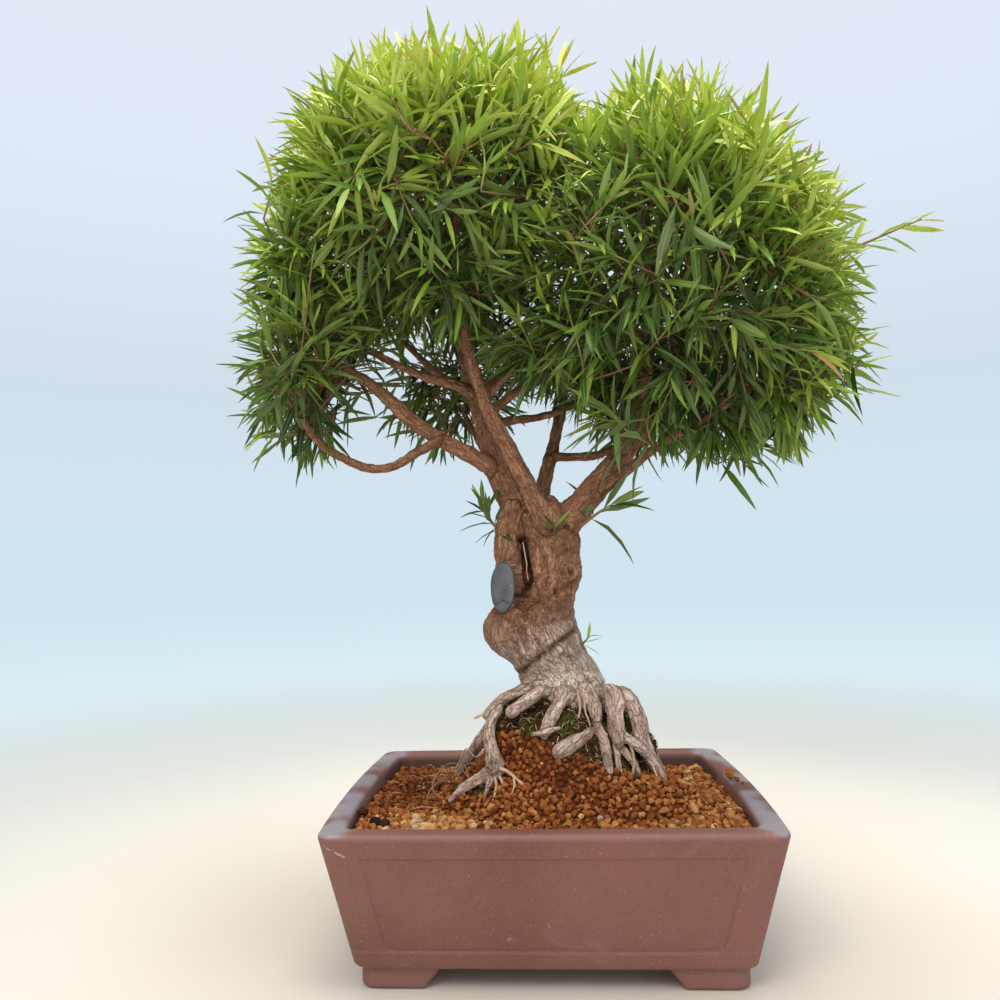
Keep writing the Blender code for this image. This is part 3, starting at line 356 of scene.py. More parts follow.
@dataclass(frozen=True)
class ClayFinish(Finish):
    """Unglazed mauve-brown clay with a chalky bloom, pale specks, worn edges with a painted highlight,
    painted shade inside the wall, and wet side rims with a painted sheen.
    """

    dark: str = "#694033"
    light: str = "#7c5046"
    bloom_and_highlight: str = "#8f6c65"
    speck: str = "#b9a196"
    sheen: str = "#94949c"
    # the colour of the painted shade inside the wall
    inner_shade: str = "#40281e"
    chalk: str = "#c4b1a9"
    scratch: tuple[tuple[float, ...], ...] = ((-0.146, 0.0978), (-0.130, 0.0898))

    def paint(self, wiring: Wiring, shader: bpy.types.Node, effects: Effects) -> None:
        """Wires the clay."""
        place = wiring.attribute("pot_place", "Vector")
        body = wiring.put(
            "ShaderNodeGroup",
            {
                "Vector": place, "Scale": 11.0, "Detail": 6.0, "Contrast": 3.0,
                "First": tone(self.dark), "Second": tone(self.light),
            },
            node_tree=effects.mottle,
        ).outputs["Color"]
        grain = wiring.noise(place, 900.0, 2.0)
        body = wiring.mix(wiring.ranged(grain, 0.35, 0.75, 0.0, 0.2), body, tone("#a07a6d"))
        bloom_and_highlight = wiring.ranged(wiring.noise(place, 26.0, 5.0, Distortion=0.8), 0.6, 0.8, 0.0, 0.4)
        # Lighter edges: wear on the rim and foot, and a painted highlight where the rim and the panels'
        # lower ledge catch light.
        edge = wiring.attribute("edge_wear_and_highlight")
        bloom_and_highlight = wiring.maths("MAXIMUM", bloom_and_highlight, wiring.maths("MULTIPLY", edge, 0.3))
        body = wiring.mix(bloom_and_highlight, body, tone(self.bloom_and_highlight))
        for scale, size, share, strength in ((420.0, 0.2, 0.04, 0.4), (150.0, 0.07, 0.025, 0.5)):
            dots = wiring.put(
                "ShaderNodeGroup",
                {"Vector": place, "Scale": scale, "Size": size, "Share": share},
                node_tree=effects.specks,
            ).outputs[0]
            body = wiring.mix(wiring.maths("MULTIPLY", dots, strength), body, tone(self.speck))
        # painted shade: the inside of the wall is darkened below the rim
        body = wiring.mix(wiring.attribute("inner_wall_shade"), body, tone(self.inner_shade))
        chalk = self._chalk_marks(wiring, place)
        body = wiring.mix(chalk, body, tone(self.chalk))
        # wet side rims: lower roughness, and a painted sheen of bluish grey mixed into their colour
        wet_and_sheen = wiring.attribute("wet_rim_and_sheen")
        body = wiring.mix(wiring.maths("MULTIPLY", wet_and_sheen, 0.7), body, tone(self.sheen))
        rough = wiring.ranged(wiring.noise(place, 40.0, 4.0), 0.3, 0.7, 0.56, 0.7)
        rough = wiring.maths("SUBTRACT", rough, wiring.maths("MULTIPLY", wet_and_sheen, 0.28))
        skin = wiring.bump(grain, 0.25, 0.0004)
        skin = wiring.bump(wiring.noise(place, 90.0, 4.0), 0.3, 0.0009, skin)
        self.feed(wiring, shader, Base_Color=body, Roughness=rough, Normal=skin)

    def _chalk_marks(self, wiring: Wiring, place: Any) -> bpy.types.NodeSocket:
        """A scratch near the front's left corner and pale smudges low on its middle."""
        broken = wiring.ranged(wiring.noise(place, 700.0, 3.0), 0.4, 0.58)
        parts = wiring.put("ShaderNodeSeparateXYZ", {0: place}).outputs
        (x_1, z_1), (x_2, z_2) = self.scratch
        rise = (z_2 - z_1) / (x_2 - x_1)
        line = wiring.maths("MULTIPLY_ADD", parts["X"], rise, z_1 - rise * x_1)
        away = wiring.maths("ABSOLUTE", wiring.maths("SUBTRACT", parts["Z"], line))
        thin = wiring.ranged(away, 0.0003, 0.0009, 0.8, 0.0)
        along = wiring.maths("ABSOLUTE", wiring.maths("SUBTRACT", parts["X"], (x_1 + x_2) / 2))
        ends = wiring.ranged(along, (x_2 - x_1) * 0.4, (x_2 - x_1) * 0.52, 1.0, 0.0)
        front = wiring.maths("LESS_THAN", parts["Y"], -0.1)
        scratch = wiring.maths("MULTIPLY", wiring.maths("MULTIPLY", thin, ends), front)
        middle = wiring.put(
            "ShaderNodeVectorMath",
            {0: place, 1: (-0.018, -0.115, 0.046)},
            operation="DISTANCE",
        ).outputs["Value"]
        near = wiring.ranged(middle, 0.012, 0.034, 1.0, 0.0)
        spots = wiring.ranged(wiring.noise(place, 120.0, 4.0, Distortion=1.2), 0.62, 0.74, 0.0, 0.3)
        smudge = wiring.maths("MULTIPLY", wiring.maths("MULTIPLY", near, spots), front)
        return wiring.maths("MULTIPLY", wiring.maths("MAXIMUM", scratch, smudge), broken)


@dataclass(frozen=True)
class BarkFinish(Finish):
    """Fig bark: pale and fibrous on the trunk, warm brown on the limbs, pinkish on the roots."""

    trunk: tuple[str, str] = ("#8f6e57", "#e0ccba")
    limb: tuple[str, str] = ("#7a4f37", "#c29170")
    root: tuple[str, str] = ("#8c634c", "#e8cfbc")
    pale: str = "#f3e4d6"
    stain: str = "#6d3f22"
    # the colour of the painted shade in creases and seams
    crevice_shade: str = "#2b1c13"

    def paint(self, wiring: Wiring, shader: bpy.types.Node, effects: Effects) -> None:
        """Wires the bark."""
        place = wiring.object_place()
        grain = wiring.attribute("grain", "Vector")
        coarse = self._fibres(wiring, effects, grain, 210.0, 0.16)
        fine = self._fibres(wiring, effects, grain, 700.0, 0.12)
        patch = wiring.ranged(wiring.noise(place, 70.0, 5.0, Distortion=0.5), 0.36, 0.66)
        mixed = wiring.maths("MULTIPLY_ADD", coarse.outputs["Height"], 2.2, -0.85)
        share = wiring.maths("MULTIPLY_ADD", patch, 0.5, mixed, clamp=True)
        body = wiring.mix(share, tone(self.trunk[0]), tone(self.trunk[1]))
        even = wiring.maths("MULTIPLY_ADD", share, 0.55, 0.25)
        limb = wiring.mix(even, tone(self.limb[0]), tone(self.limb[1]))
        root = wiring.mix(share, tone(self.root[0]), tone(self.root[1]))
        body = wiring.mix(wiring.attribute("limb_part"), body, limb)
        body = wiring.mix(wiring.attribute("root_part"), body, root)
        height = wiring.put("ShaderNodeSeparateXYZ", {0: place}).outputs["Z"]
        low = wiring.ranged(height, 0.175, 0.215, 0.8, 0.0)
        above_roots = wiring.maths("MULTIPLY_ADD", wiring.attribute("root_part"), -0.75, 1.0)
        low = wiring.maths("MULTIPLY", low, above_roots)
        flakes = wiring.ranged(wiring.noise(place, 330.0, 5.0), 0.52, 0.62, 0.0, 0.34)
        bare = wiring.maths("MULTIPLY_ADD", wiring.attribute("limb_part"), -0.9, 1.0)
        flakes = wiring.maths("MULTIPLY", flakes, bare)
        body = wiring.mix(wiring.maths("MAXIMUM", low, flakes), body, tone(self.pale))
        stain = wiring.attribute("stain")
        broken = wiring.ranged(wiring.noise(place, 260.0, 4.0), 0.3, 0.6, 0.25, 1.0)
        body = wiring.mix(wiring.maths("MULTIPLY", stain, broken), body, tone(self.stain))
        lines = wiring.maths("MULTIPLY", fine.outputs["Line"], 0.46)
        body = wiring.mix(lines, body, tone("#54382a"))
        deep = wiring.maths("MULTIPLY", coarse.outputs["Line"], 0.4)
        body = wiring.mix(deep, body, tone("#5f412e"))
        net = self._wrinkles(wiring, grain)
        body = wiring.mix(wiring.maths("MULTIPLY", net, 0.5), body, tone("#5a3c2a"))
        # painted shade: near-black in the deepest creases, the wound's seam and the cut ring's groove
        body = wiring.mix(wiring.attribute("crevice_shade"), body, tone(self.crevice_shade))
        skin = wiring.bump(coarse.outputs["Height"], 0.9, 0.003)
        skin = wiring.bump(fine.outputs["Height"], 0.7, 0.0008, skin)
        skin = wiring.bump(wiring.maths("SUBTRACT", 1.0, net), 0.7, 0.0012, skin)
        self.feed(wiring, shader, Base_Color=body, Roughness=0.85, Normal=skin)
        self.feed(wiring, shader, Specular_IOR_Level=0.2)

    @staticmethod
    def _wrinkles(wiring: Wiring, grain: Any) -> bpy.types.NodeSocket:
        """The net of fine cracks in old bark, drawn out along the grain."""
        squeeze = wiring.put("ShaderNodeVectorMath", {0: grain, 1: (1, 1, 0.4)}, operation="MULTIPLY")
        drift = wiring.put("ShaderNodeTexNoise", {"Vector": grain, "Scale": 160.0, "Detail": 3.0})
        pushed = wiring.put(
            "ShaderNodeVectorMath", {0: drift.outputs["Color"], "Scale": 0.006}, operation="SCALE"
        )
        warped = wiring.put("ShaderNodeVectorMath", {0: squeeze.outputs[0], 1: pushed.outputs[0]})
        cells = wiring.put(
            "ShaderNodeTexVoronoi",
            {"Vector": warped.outputs[0], "Scale": 300.0},
            feature="DISTANCE_TO_EDGE",
        )
        return wiring.ranged(cells.outputs["Distance"], 0.0, 0.09, 1.0, 0.0)

    @staticmethod
    def _fibres(wiring: Wiring, effects: Effects, grain: Any, scale: float, stretch: float):
        """One layer of fibres along the grain."""
        feeds = {"Vector": grain, "Scale": scale, "Stretch": stretch}
        return wiring.put("ShaderNodeGroup", feeds, node_tree=effects.fibres)


@dataclass(frozen=True)
class LeafFinish(Finish):
    """A thin leathery leaf: tinted by age and by painted light, with a pale midrib, faint veins and a dull
    underside.
    """

    ages: tuple[tuple[float, str], ...] = (
        (0.0, "#233a10"), (0.25, "#446a1d"), (0.5, "#84a82e"), (0.72, "#bfd448"),
        (0.93, "#e2ea6e"), (1.0, "#d0a45e"),
    )
    rib: str = "#c9d884"
    under: str = "#a3bb74"
    roughness: float = 0.33
    glow: float = 0.34

    def paint(self, wiring: Wiring, shader: bpy.types.Node, effects: Effects) -> None:
        """Wires the leaf, some of whose light comes through from its other side."""
        place = wiring.object_place()
        tint = wiring.attribute("tint")
        drift = wiring.maths("MULTIPLY_ADD", wiring.noise(place, 55.0, 2.0), 0.14, -0.07)
        # the tint holds both the leaves' age and painted light
        body = wiring.ramp(wiring.maths("ADD", tint, drift), self.ages)
        across = wiring.maths("ABSOLUTE", wiring.attribute("across"))
        along = wiring.attribute("along")
        slant = wiring.maths("MULTIPLY_ADD", across, -0.14, along)
        waves = wiring.maths("SINE", wiring.maths("MULTIPLY", slant, 115.0))
        veins = wiring.ranged(waves, 0.55, 1.0)
        body = wiring.mix(wiring.maths("MULTIPLY", veins, 0.1), body, tone(self.rib))
        rib = wiring.ranged(across, 0.03, 0.13, 0.5, 0.0)
        rim = wiring.ranged(across, 0.86, 0.98, 0.0, 0.28)
        body = wiring.mix(wiring.maths("MAXIMUM", rib, rim), body, tone(self.rib))
        below = wiring.maths("LESS_THAN", wiring.attribute("face_side"), 0.0)
        body = wiring.mix(wiring.maths("MULTIPLY", below, 0.35), body, tone(self.under))
        rough = wiring.maths("MULTIPLY_ADD", below, 0.22, self.roughness)
        relief = wiring.maths("SUBTRACT", wiring.ranged(across, 0.0, 0.12), veins)
        skin = wiring.bump(relief, 0.35, 0.0002)
        self.feed(wiring, shader, Base_Color=body, Roughness=rough, Normal=skin)
        through = wiring.put("ShaderNodeBsdfTranslucent", {"Color": body})
        both = wiring.put(
            "ShaderNodeMixShader", {0: self.glow, 1: shader.outputs[0], 2: through.outputs[0]}
        )
        sheet = wiring.tree.nodes["Material Output"]
        wiring.tree.links.new(both.outputs[0], sheet.inputs["Surface"])


@dataclass(frozen=True)
class ShootFinish(Finish):
    """The thin bark of young shoots, brown at the base and green towards the tip."""

    old: str = "#6f4a33"
    young: str = "#93a045"

    def paint(self, wiring: Wiring, shader: bpy.types.Node, effects: Effects) -> None:
        """Wires the shoot bark."""
        place = wiring.object_place()
        old = wiring.put(
            "ShaderNodeGroup",
            {
                "Vector": place, "Scale": 220.0, "Detail": 4.0, "Contrast": 2.0,
                "First": tone(self.old), "Second": tone("#94694b"),
            },
            node_tree=effects.mottle,
        ).outputs["Color"]
        body = wiring.mix(wiring.attribute("youth"), old, tone(self.young))
        skin = wiring.bump(wiring.noise(place, 900.0, 3.0), 0.4, 0.0003)
        self.feed(wiring, shader, Base_Color=body, Roughness=0.7, Normal=skin)


@dataclass(frozen=True)
class GranuleFinish(Finish):
    """Fired clay granules in tan, orange-brown and rust, each of its own tone."""

    tones: tuple[tuple[float, str], ...] = (
        (0.0, "#2b211b"), (0.06, "#5a2f19"), (0.3, "#884d2a"), (0.55, "#aa6c3b"),
        (0.8, "#c9955c"), (0.95, "#e0bc8a"), (1.0, "#b9b4a6"),
    )

    def paint(self, wiring: Wiring, shader: bpy.types.Node, effects: Effects) -> None:
        """Wires the granules."""
        place = wiring.object_place()
        body = wiring.ramp(wiring.attribute("tone"), self.tones)
        cloudy = wiring.put(
            "ShaderNodeGroup",
            {
                "Vector": place, "Scale": 420.0, "Detail": 5.0, "Contrast": 2.4,
                "First": tone("#b58a66"), "Second": tone("#ffffff"),
            },
            node_tree=effects.mottle,
        ).outputs["Color"]
        body = wiring.mix(0.55, body, cloudy, blend="MULTIPLY")
        pits = wiring.noise(place, 1100.0, 5.0)
        skin = wiring.bump(pits, 0.8, 0.0007)
        self.feed(wiring, shader, Base_Color=body, Roughness=0.95, Normal=skin)
        self.feed(wiring, shader, Specular_IOR_Level=0.12)


@dataclass(frozen=True)
class EarthFinish(Finish):
    """Old earth between the granules: rusty under them, dark and mossy on the root ball."""

    fresh: tuple[str, str] = ("#4c2913", "#6f401e")
    old: tuple[str, str] = ("#1d150e", "#4a3722")
    moss: str = "#42521b"

    def paint(self, wiring: Wiring, shader: bpy.types.Node, effects: Effects) -> None:
        """Wires the earth."""
        place = wiring.object_place()
        layers = []
        for first, second in (self.fresh, self.old):
            feeds = {
                "Vector": place, "Scale": 260.0, "Detail": 5.0, "Contrast": 3.0,
                "First": tone(first), "Second": tone(second),
            }
            group = wiring.put("ShaderNodeGroup", feeds, node_tree=effects.mottle)
            layers.append(group.outputs["Color"])
        share = wiring.attribute("old_part")
        body = wiring.mix(share, *layers)
        green = wiring.ranged(wiring.noise(place, 90.0, 4.0), 0.5, 0.62, 0.0, 0.8)
        body = wiring.mix(wiring.maths("MULTIPLY", green, share), body, tone(self.moss))
        skin = wiring.bump(wiring.noise(place, 500.0, 5.0), 1.0, 0.0018)
        self.feed(wiring, shader, Base_Color=body, Roughness=0.95, Normal=skin)
        self.feed(wiring, shader, Specular_IOR_Level=0.1)


@dataclass(frozen=True)
class PasteFinish(Finish):
    """Slate-grey cut paste, dull, with faint brush marks, and painted shade in a crack and along its sunk
    edge.
    """

    dark: str = "#474a50"
    light: str = "#6d7078"

    def paint(self, wiring: Wiring, shader: bpy.types.Node, effects: Effects) -> None:
        """Wires the paste."""
        place = wiring.object_place()
        body = wiring.put(
            "ShaderNodeGroup",
            {
                "Vector": place, "Scale": 90.0, "Detail": 4.0, "Contrast": 1.8,
                "First": tone(self.dark), "Second": tone(self.light),
            },
            node_tree=effects.mottle,
        ).outputs["Color"]
        dust = wiring.put(
            "ShaderNodeGroup",
            {"Vector": place, "Scale": 330.0, "Size": 0.2, "Share": 0.1},
            node_tree=effects.specks,
        ).outputs[0]
        body = wiring.mix(wiring.maths("MULTIPLY", dust, 0.6), body, tone("#a8a6a2"))
        # painted shade in the crack and along the paste's sunk edge
        body = wiring.mix(wiring.attribute("crack_and_edge_shade"), body, tone("#2b2420"))
        strokes = wiring.put(
            "ShaderNodeGroup",
            {"Vector": place, "Scale": 260.0, "Stretch": 0.2},
            node_tree=effects.fibres,
        )
        skin = wiring.bump(strokes.outputs["Height"], 0.35, 0.0008)
        self.feed(wiring, shader, Base_Color=body, Roughness=0.55, Normal=skin)


@dataclass(frozen=True)
class MossFinish(Finish):
    """Moss tufts, from dark green to yellow-green."""

    tones: tuple[tuple[float, str], ...] = (
        (0.0, "#22300f"), (0.4, "#3f5a1a"), (0.75, "#6d8428"), (1.0, "#9a9440"),
    )

    def paint(self, wiring: Wiring, shader: bpy.types.Node, effects: Effects) -> None:
        """Wires the moss."""
        place = wiring.object_place()
        drift = wiring.maths("MULTIPLY_ADD", wiring.noise(place, 300.0, 2.0), 0.3, -0.15)
        value = wiring.maths("ADD", wiring.attribute("tone"), drift)
        skin = wiring.bump(wiring.noise(place, 1500.0, 2.0), 0.5, 0.0003)
        self.feed(
            wiring, shader, Base_Color=wiring.ramp(value, self.tones), Roughness=0.8, Normal=skin
        )


@dataclass(frozen=True)
class FibreFinish(Finish):
    """Fine roots and straw: pale, with brown stretches."""

    tones: tuple[tuple[float, str], ...] = (
        (0.0, "#6b4630"), (0.4, "#a77f63"), (0.75, "#cdb397"), (1.0, "#ddd3b4"),
    )

    def paint(self, wiring: Wiring, shader: bpy.types.Node, effects: Effects) -> None:
        """Wires the fibres."""
        place = wiring.object_place()
        drift = wiring.maths("MULTIPLY_ADD", wiring.noise(place, 160.0, 3.0), 0.5, -0.25)
        value = wiring.maths("ADD", wiring.attribute("tone"), drift)
        skin = wiring.bump(wiring.noise(place, 1400.0, 3.0), 0.5, 0.0003)
        self.feed(
            wiring, shader, Base_Color=wiring.ramp(value, self.tones), Roughness=0.75, Normal=skin
        )


@dataclass(frozen=True)
class PlasticFinish(Finish):
    """Black drain mesh plastic, scuffed and dusty."""

    body: str = "#16171a"
    dust: str = "#4b3a2c"

    def paint(self, wiring: Wiring, shader: bpy.types.Node, effects: Effects) -> None:
        """Wires the plastic."""
        place = wiring.object_place()
        dust = wiring.put(
            "ShaderNodeGroup",
            {
                "Vector": place, "Scale": 180.0, "Detail": 5.0, "Contrast": 3.0,
                "First": tone(self.body), "Second": tone(self.dust),
            },
            node_tree=effects.mottle,
        )
        rough = wiring.ranged(dust.outputs["Mask"], 0.0, 1.0, 0.4, 0.85)
        skin = wiring.bump(wiring.noise(place, 600.0, 3.0), 0.3, 0.0003)
        colour = dust.outputs["Color"]
        self.feed(wiring, shader, Base_Color=colour, Roughness=rough, Normal=skin)


@dataclass(frozen=True)
class FloorFinish(Finish):
    """The studio's plain pale floor, which fades into the backdrop."""

    near: str = "#d6cec5"
    far: str = "#b9bbb7"
    fade_from: float = 0.35
    fade_to: float = 1.7

    def paint(self, wiring: Wiring, shader: bpy.types.Node, effects: Effects) -> None:
        """Wires the floor."""
        place = wiring.object_place()
        away = wiring.put("ShaderNodeVectorMath", {0: place}, operation="LENGTH").outputs[1]
        cloud = wiring.ranged(wiring.noise(place, 2.0, 2.0), 0.3, 0.7)
        body = wiring.mix(cloud, tone(self.near), tone("#d5cdc2"))
        body = wiring.mix(wiring.ranged(away, 0.2, 0.8), body, tone(self.far))
        fade = wiring.ranged(away, self.fade_from, self.fade_to, 1.0, 0.0)
        self.feed(wiring, shader, Base_Color=body, Roughness=0.7, Alpha=fade)


class Finishes:
    """Every finish of the object, made once."""

    def __init__(self) -> None:
        """Makes the materials."""
        effects = Effects()
        self.clay = ClayFinish("unglazed clay").make(effects)
        self.bark = BarkFinish("fig bark").make(effects)
        self.leaf = LeafFinish("willow fig leaf").make(effects)
        self.shoot = ShootFinish("young shoot bark").make(effects)
        self.granule = GranuleFinish("clay granule").make(effects)
        self.earth = EarthFinish("root ball earth").make(effects)
        self.paste = PasteFinish("cut paste").make(effects)
        self.moss = MossFinish("moss").make(effects)
        self.fibre = FibreFinish("root fibre").make(effects)
        self.plastic = PlasticFinish("drain mesh plastic").make(effects)
        self.floor = FloorFinish("studio floor").make(effects)


def mesh_object(name: str, points: Any, faces: Iterable, edges: Iterable = ()) -> bpy.types.Object:
    """A scene object with this mesh, in metres, smooth all over."""
    mesh = bpy.data.meshes.new(name)
    mesh.from_pydata(np.asarray(points, float).tolist(), list(edges), list(faces))
    mesh.shade_smooth()
    made = bpy.data.objects.new(name, mesh)
    bpy.context.scene.collection.objects.link(made)
    return made


def carry(mesh: bpy.types.Mesh, name: str, kind: str, values: Any) -> None:
    """Stores one value for each point of a mesh, such as a FLOAT or a FLOAT_VECTOR."""
    layer = mesh.attributes.get(name) or mesh.attributes.new(name, kind, "POINT")
    key = "vector" if kind == "FLOAT_VECTOR" else "value"
    flat = np.asarray(values)
    flat = flat.astype(np.int32 if kind == "INT" else bool if kind == "BOOLEAN" else np.float32)
    layer.data.foreach_set(key, flat.ravel())


def points_of(mesh: bpy.types.Mesh) -> np.ndarray:
    """The mesh's points as an array."""
    flat = np.zeros(len(mesh.vertices) * 3, np.float32)
    mesh.vertices.foreach_get("co", flat)
    return flat.reshape(-1, 3).astype(float)


def normals_of(mesh: bpy.types.Mesh) -> np.ndarray:
    """The normals of the mesh's points as an array."""
    flat = np.zeros(len(mesh.vertices) * 3, np.float32)
    mesh.vertex_normals.foreach_get("vector", flat)
    return flat.reshape(-1, 3).astype(float)


def edges_of(mesh: bpy.types.Mesh) -> np.ndarray:
    """The mesh's edges as pairs of point numbers."""
    flat = np.zeros(len(mesh.edges) * 2, np.int32)
    mesh.edges.foreach_get("vertices", flat)
    return flat.reshape(-1, 2)


def evaluated_copy(obj: bpy.types.Object) -> bpy.types.Mesh:
    """A plain mesh of the object with its modifiers applied."""
    graph = bpy.context.evaluated_depsgraph_get()
    source = obj.evaluated_get(graph)
    return bpy.data.meshes.new_from_object(
        source, preserve_all_data_layers=True, depsgraph=graph
    )


def bake_modifiers(obj: bpy.types.Object) -> None:
    """Replaces the object's mesh by what its modifiers make of it."""
    mesh = evaluated_copy(obj)
    obj.modifiers.clear()
    obj.data = mesh


def combine(obj: bpy.types.Object, other: bpy.types.Object, operation: str) -> None:
    """Applies one exact Boolean to the object and removes the other."""
    modifier = obj.modifiers.new("combine", "BOOLEAN")
    modifier.operation = operation
    modifier.object = other
    modifier.solver = "EXACT"
    bake_modifiers(obj)
    bpy.data.objects.remove(other)


def dress(obj: bpy.types.Object, slot: Slot, *materials: bpy.types.Material) -> bpy.types.Object:
    """Gives a piece its materials, and lets it ride on the tree's body."""
    if materials:
        obj.data.materials.clear()
        for material in materials:
            obj.data.materials.append(material)
    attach(obj, BODY)
    return obj


def smooth_route(route: Route, step: float) -> np.ndarray:
    """Points along a smooth curve through a route, with what else each point holds.

    Args:
        route: Points of x, y, z and any further values, such as a radius.
        step: The longest distance between two points, in millimetres.

    Returns:
        An array of points, as wide as the route's.
    """
    knots = np.array(route, float)
    ends = np.vstack([2 * knots[0] - knots[1], knots, 2 * knots[-1] - knots[-2]])
    samples = []
    for first, start, stop, last in zip(ends, ends[1:], ends[2:], ends[3:]):
        count = max(1, math.ceil(np.linalg.norm((stop - start)[:3]) / step))
        for share in np.arange(count) / count:
            cubic = 2 * start + (stop - first) * share
            cubic = cubic + (2 * first - 5 * start + 4 * stop - last) * share**2
            cubic = cubic + (3 * start - first - 3 * stop + last) * share**3
            samples.append(cubic / 2)
    samples.append(knots[-1])
    return np.array(samples)


def frames_along(places: np.ndarray) -> tuple[np.ndarray, np.ndarray, np.ndarray]:
    """The tangent and two steady directions across a curve at each of its points."""
    tangents = np.gradient(places, axis=0)
    tangents /= np.linalg.norm(tangents, axis=1)[:, None] + 1e-12
    start = np.array((0.0, -1.0, 0.0)) if abs(tangents[0][1]) < 0.9 else np.array((1.0, 0, 0))
    across = []
    for tangent in tangents:
        start = start - tangent * np.dot(start, tangent)
        start = start / (np.linalg.norm(start) + 1e-12)
        across.append(start)
    across = np.array(across)
    return tangents, across, np.cross(tangents, across)


def tube_shell(samples: np.ndarray, sides: int, level: bool = False) -> tuple[np.ndarray, list]:
    """The closed skin of a tube with rounded ends, along points of x, y, z and radius.

    Args:
        samples: The curve's points and radii.
        sides: How many sides the tube has.
        level: Whether its rings stay level, as suits a thick upright stem.

    Returns:
        The skin's points and its faces.
    """
    places, radii = samples[:, :3], samples[:, 3]
    tangents, across, other = frames_along(places)
    if level:
        tangents, across, other = (np.tile(row, (len(places), 1)) for row in np.eye(3)[[2, 0, 1]])
    caps = ((0.92, 0.4), (0.6, 0.8), (0.25, 0.97))
    start = [places[0] - tangents[0] * radii[0] * out for _, out in caps]
    end = [places[-1] + tangents[-1] * radii[-1] * out for _, out in caps]
    places = np.vstack([start[::-1], places, end])
    narrow = [radii[0] * share for share, _ in caps]
    tip = [radii[-1] * share for share, _ in caps]
    radii = np.concatenate([narrow[::-1], radii, tip])
    across = np.vstack([[across[0]] * 3, across, [across[-1]] * 3])
    other = np.vstack([[other[0]] * 3, other, [other[-1]] * 3])
    angles = np.arange(sides) * 2 * math.pi / sides
    ring = np.cos(angles)[None, :, None] * across[:, None] + np.sin(angles)[None, :, None] * other[:, None]
    points = (places[:, None] + ring * radii[:, None, None]).reshape(-1, 3)
    faces = []
    for row in range(len(places) - 1):
        low, high = row * sides, (row + 1) * sides
        for side in range(sides):
            after = (side + 1) % sides
            faces.append((low + side, low + after, high + after, high + side))
    faces.append(tuple(reversed(range(sides))))
    faces.append(tuple(range(len(points) - sides, len(points))))
    return points, faces


class Shells:
    """Gathers closed skins into one mesh, with values for their points."""

    def __init__(self) -> None:
        """Starts with nothing."""
        self.points: list[np.ndarray] = []
        self.faces: list[tuple[int, ...]] = []
        self.values: dict[str, list[np.ndarray]] = {}
        self.count = 0

    def add(self, points: np.ndarray, faces: Iterable, **values: Any) -> None:
        """Adds one skin, with a value or an array of values for each name."""
        self.faces += [tuple(self.count + index for index in face) for face in faces]
        self.points.append(points)
        for name, value in values.items():
            rows = np.broadcast_to(np.asarray(value, float), (len(points), *np.shape(value)[1:]))
            self.values.setdefault(name, []).append(rows)
        self.count += len(points)

    def build(self, name: str, bench: Bench) -> bpy.types.Object:
        """The object with every skin and its values."""
        made = mesh_object(name, bench.placed(np.vstack(self.points)), self.faces)
        for label, rows in self.values.items():
            kind = "FLOAT_VECTOR" if rows[0].ndim > 1 else "FLOAT"
            carry(made.data, label, kind, np.concatenate(rows))
        return made


class GrowthTree:
    """A Geometry Nodes tree with named inputs, which grows a mesh on a host object."""

    def __init__(self, name: str, inputs: dict[str, tuple[str, Any]]) -> None:
        """Opens the tree.

        Args:
            name: The tree's name.
            inputs: Each named input's socket type and first value.
        """
        self.tree = bpy.data.node_groups.new(name, "GeometryNodeTree")
        face = self.tree.interface
        face.new_socket("Geometry", in_out="INPUT", socket_type="NodeSocketGeometry")
        face.new_socket("Geometry", in_out="OUTPUT", socket_type="NodeSocketGeometry")
        self.keys: dict[str, str] = {}
        for label, (kind, value) in inputs.items():
            made = face.new_socket(label, in_out="INPUT", socket_type=kind)
            if value is not None:
                made.default_value = value
            self.keys[label] = made.identifier
        self.wiring = Wiring(self.tree)
        self.inlet = self.wiring.put("NodeGroupInput")
        self.outlet = self.wiring.put("NodeGroupOutput")

    def named(self, name: str, kind: str) -> bpy.types.NodeSocket:
        """A value that the host's points carry."""
        made = self.wiring.put("GeometryNodeInputNamedAttribute", {0: name}, data_type=kind)
        return made.outputs[0]

    def grow(self, host: bpy.types.Object, values: dict[str, Any]) -> None:
        """Runs the tree on the host and keeps the result as the host's plain mesh."""
        modifier = host.modifiers.new(self.tree.name, "NODES")
        modifier.node_group = self.tree
        for label, value in values.items():
            modifier[self.keys[label]] = value
        bake_modifiers(host)


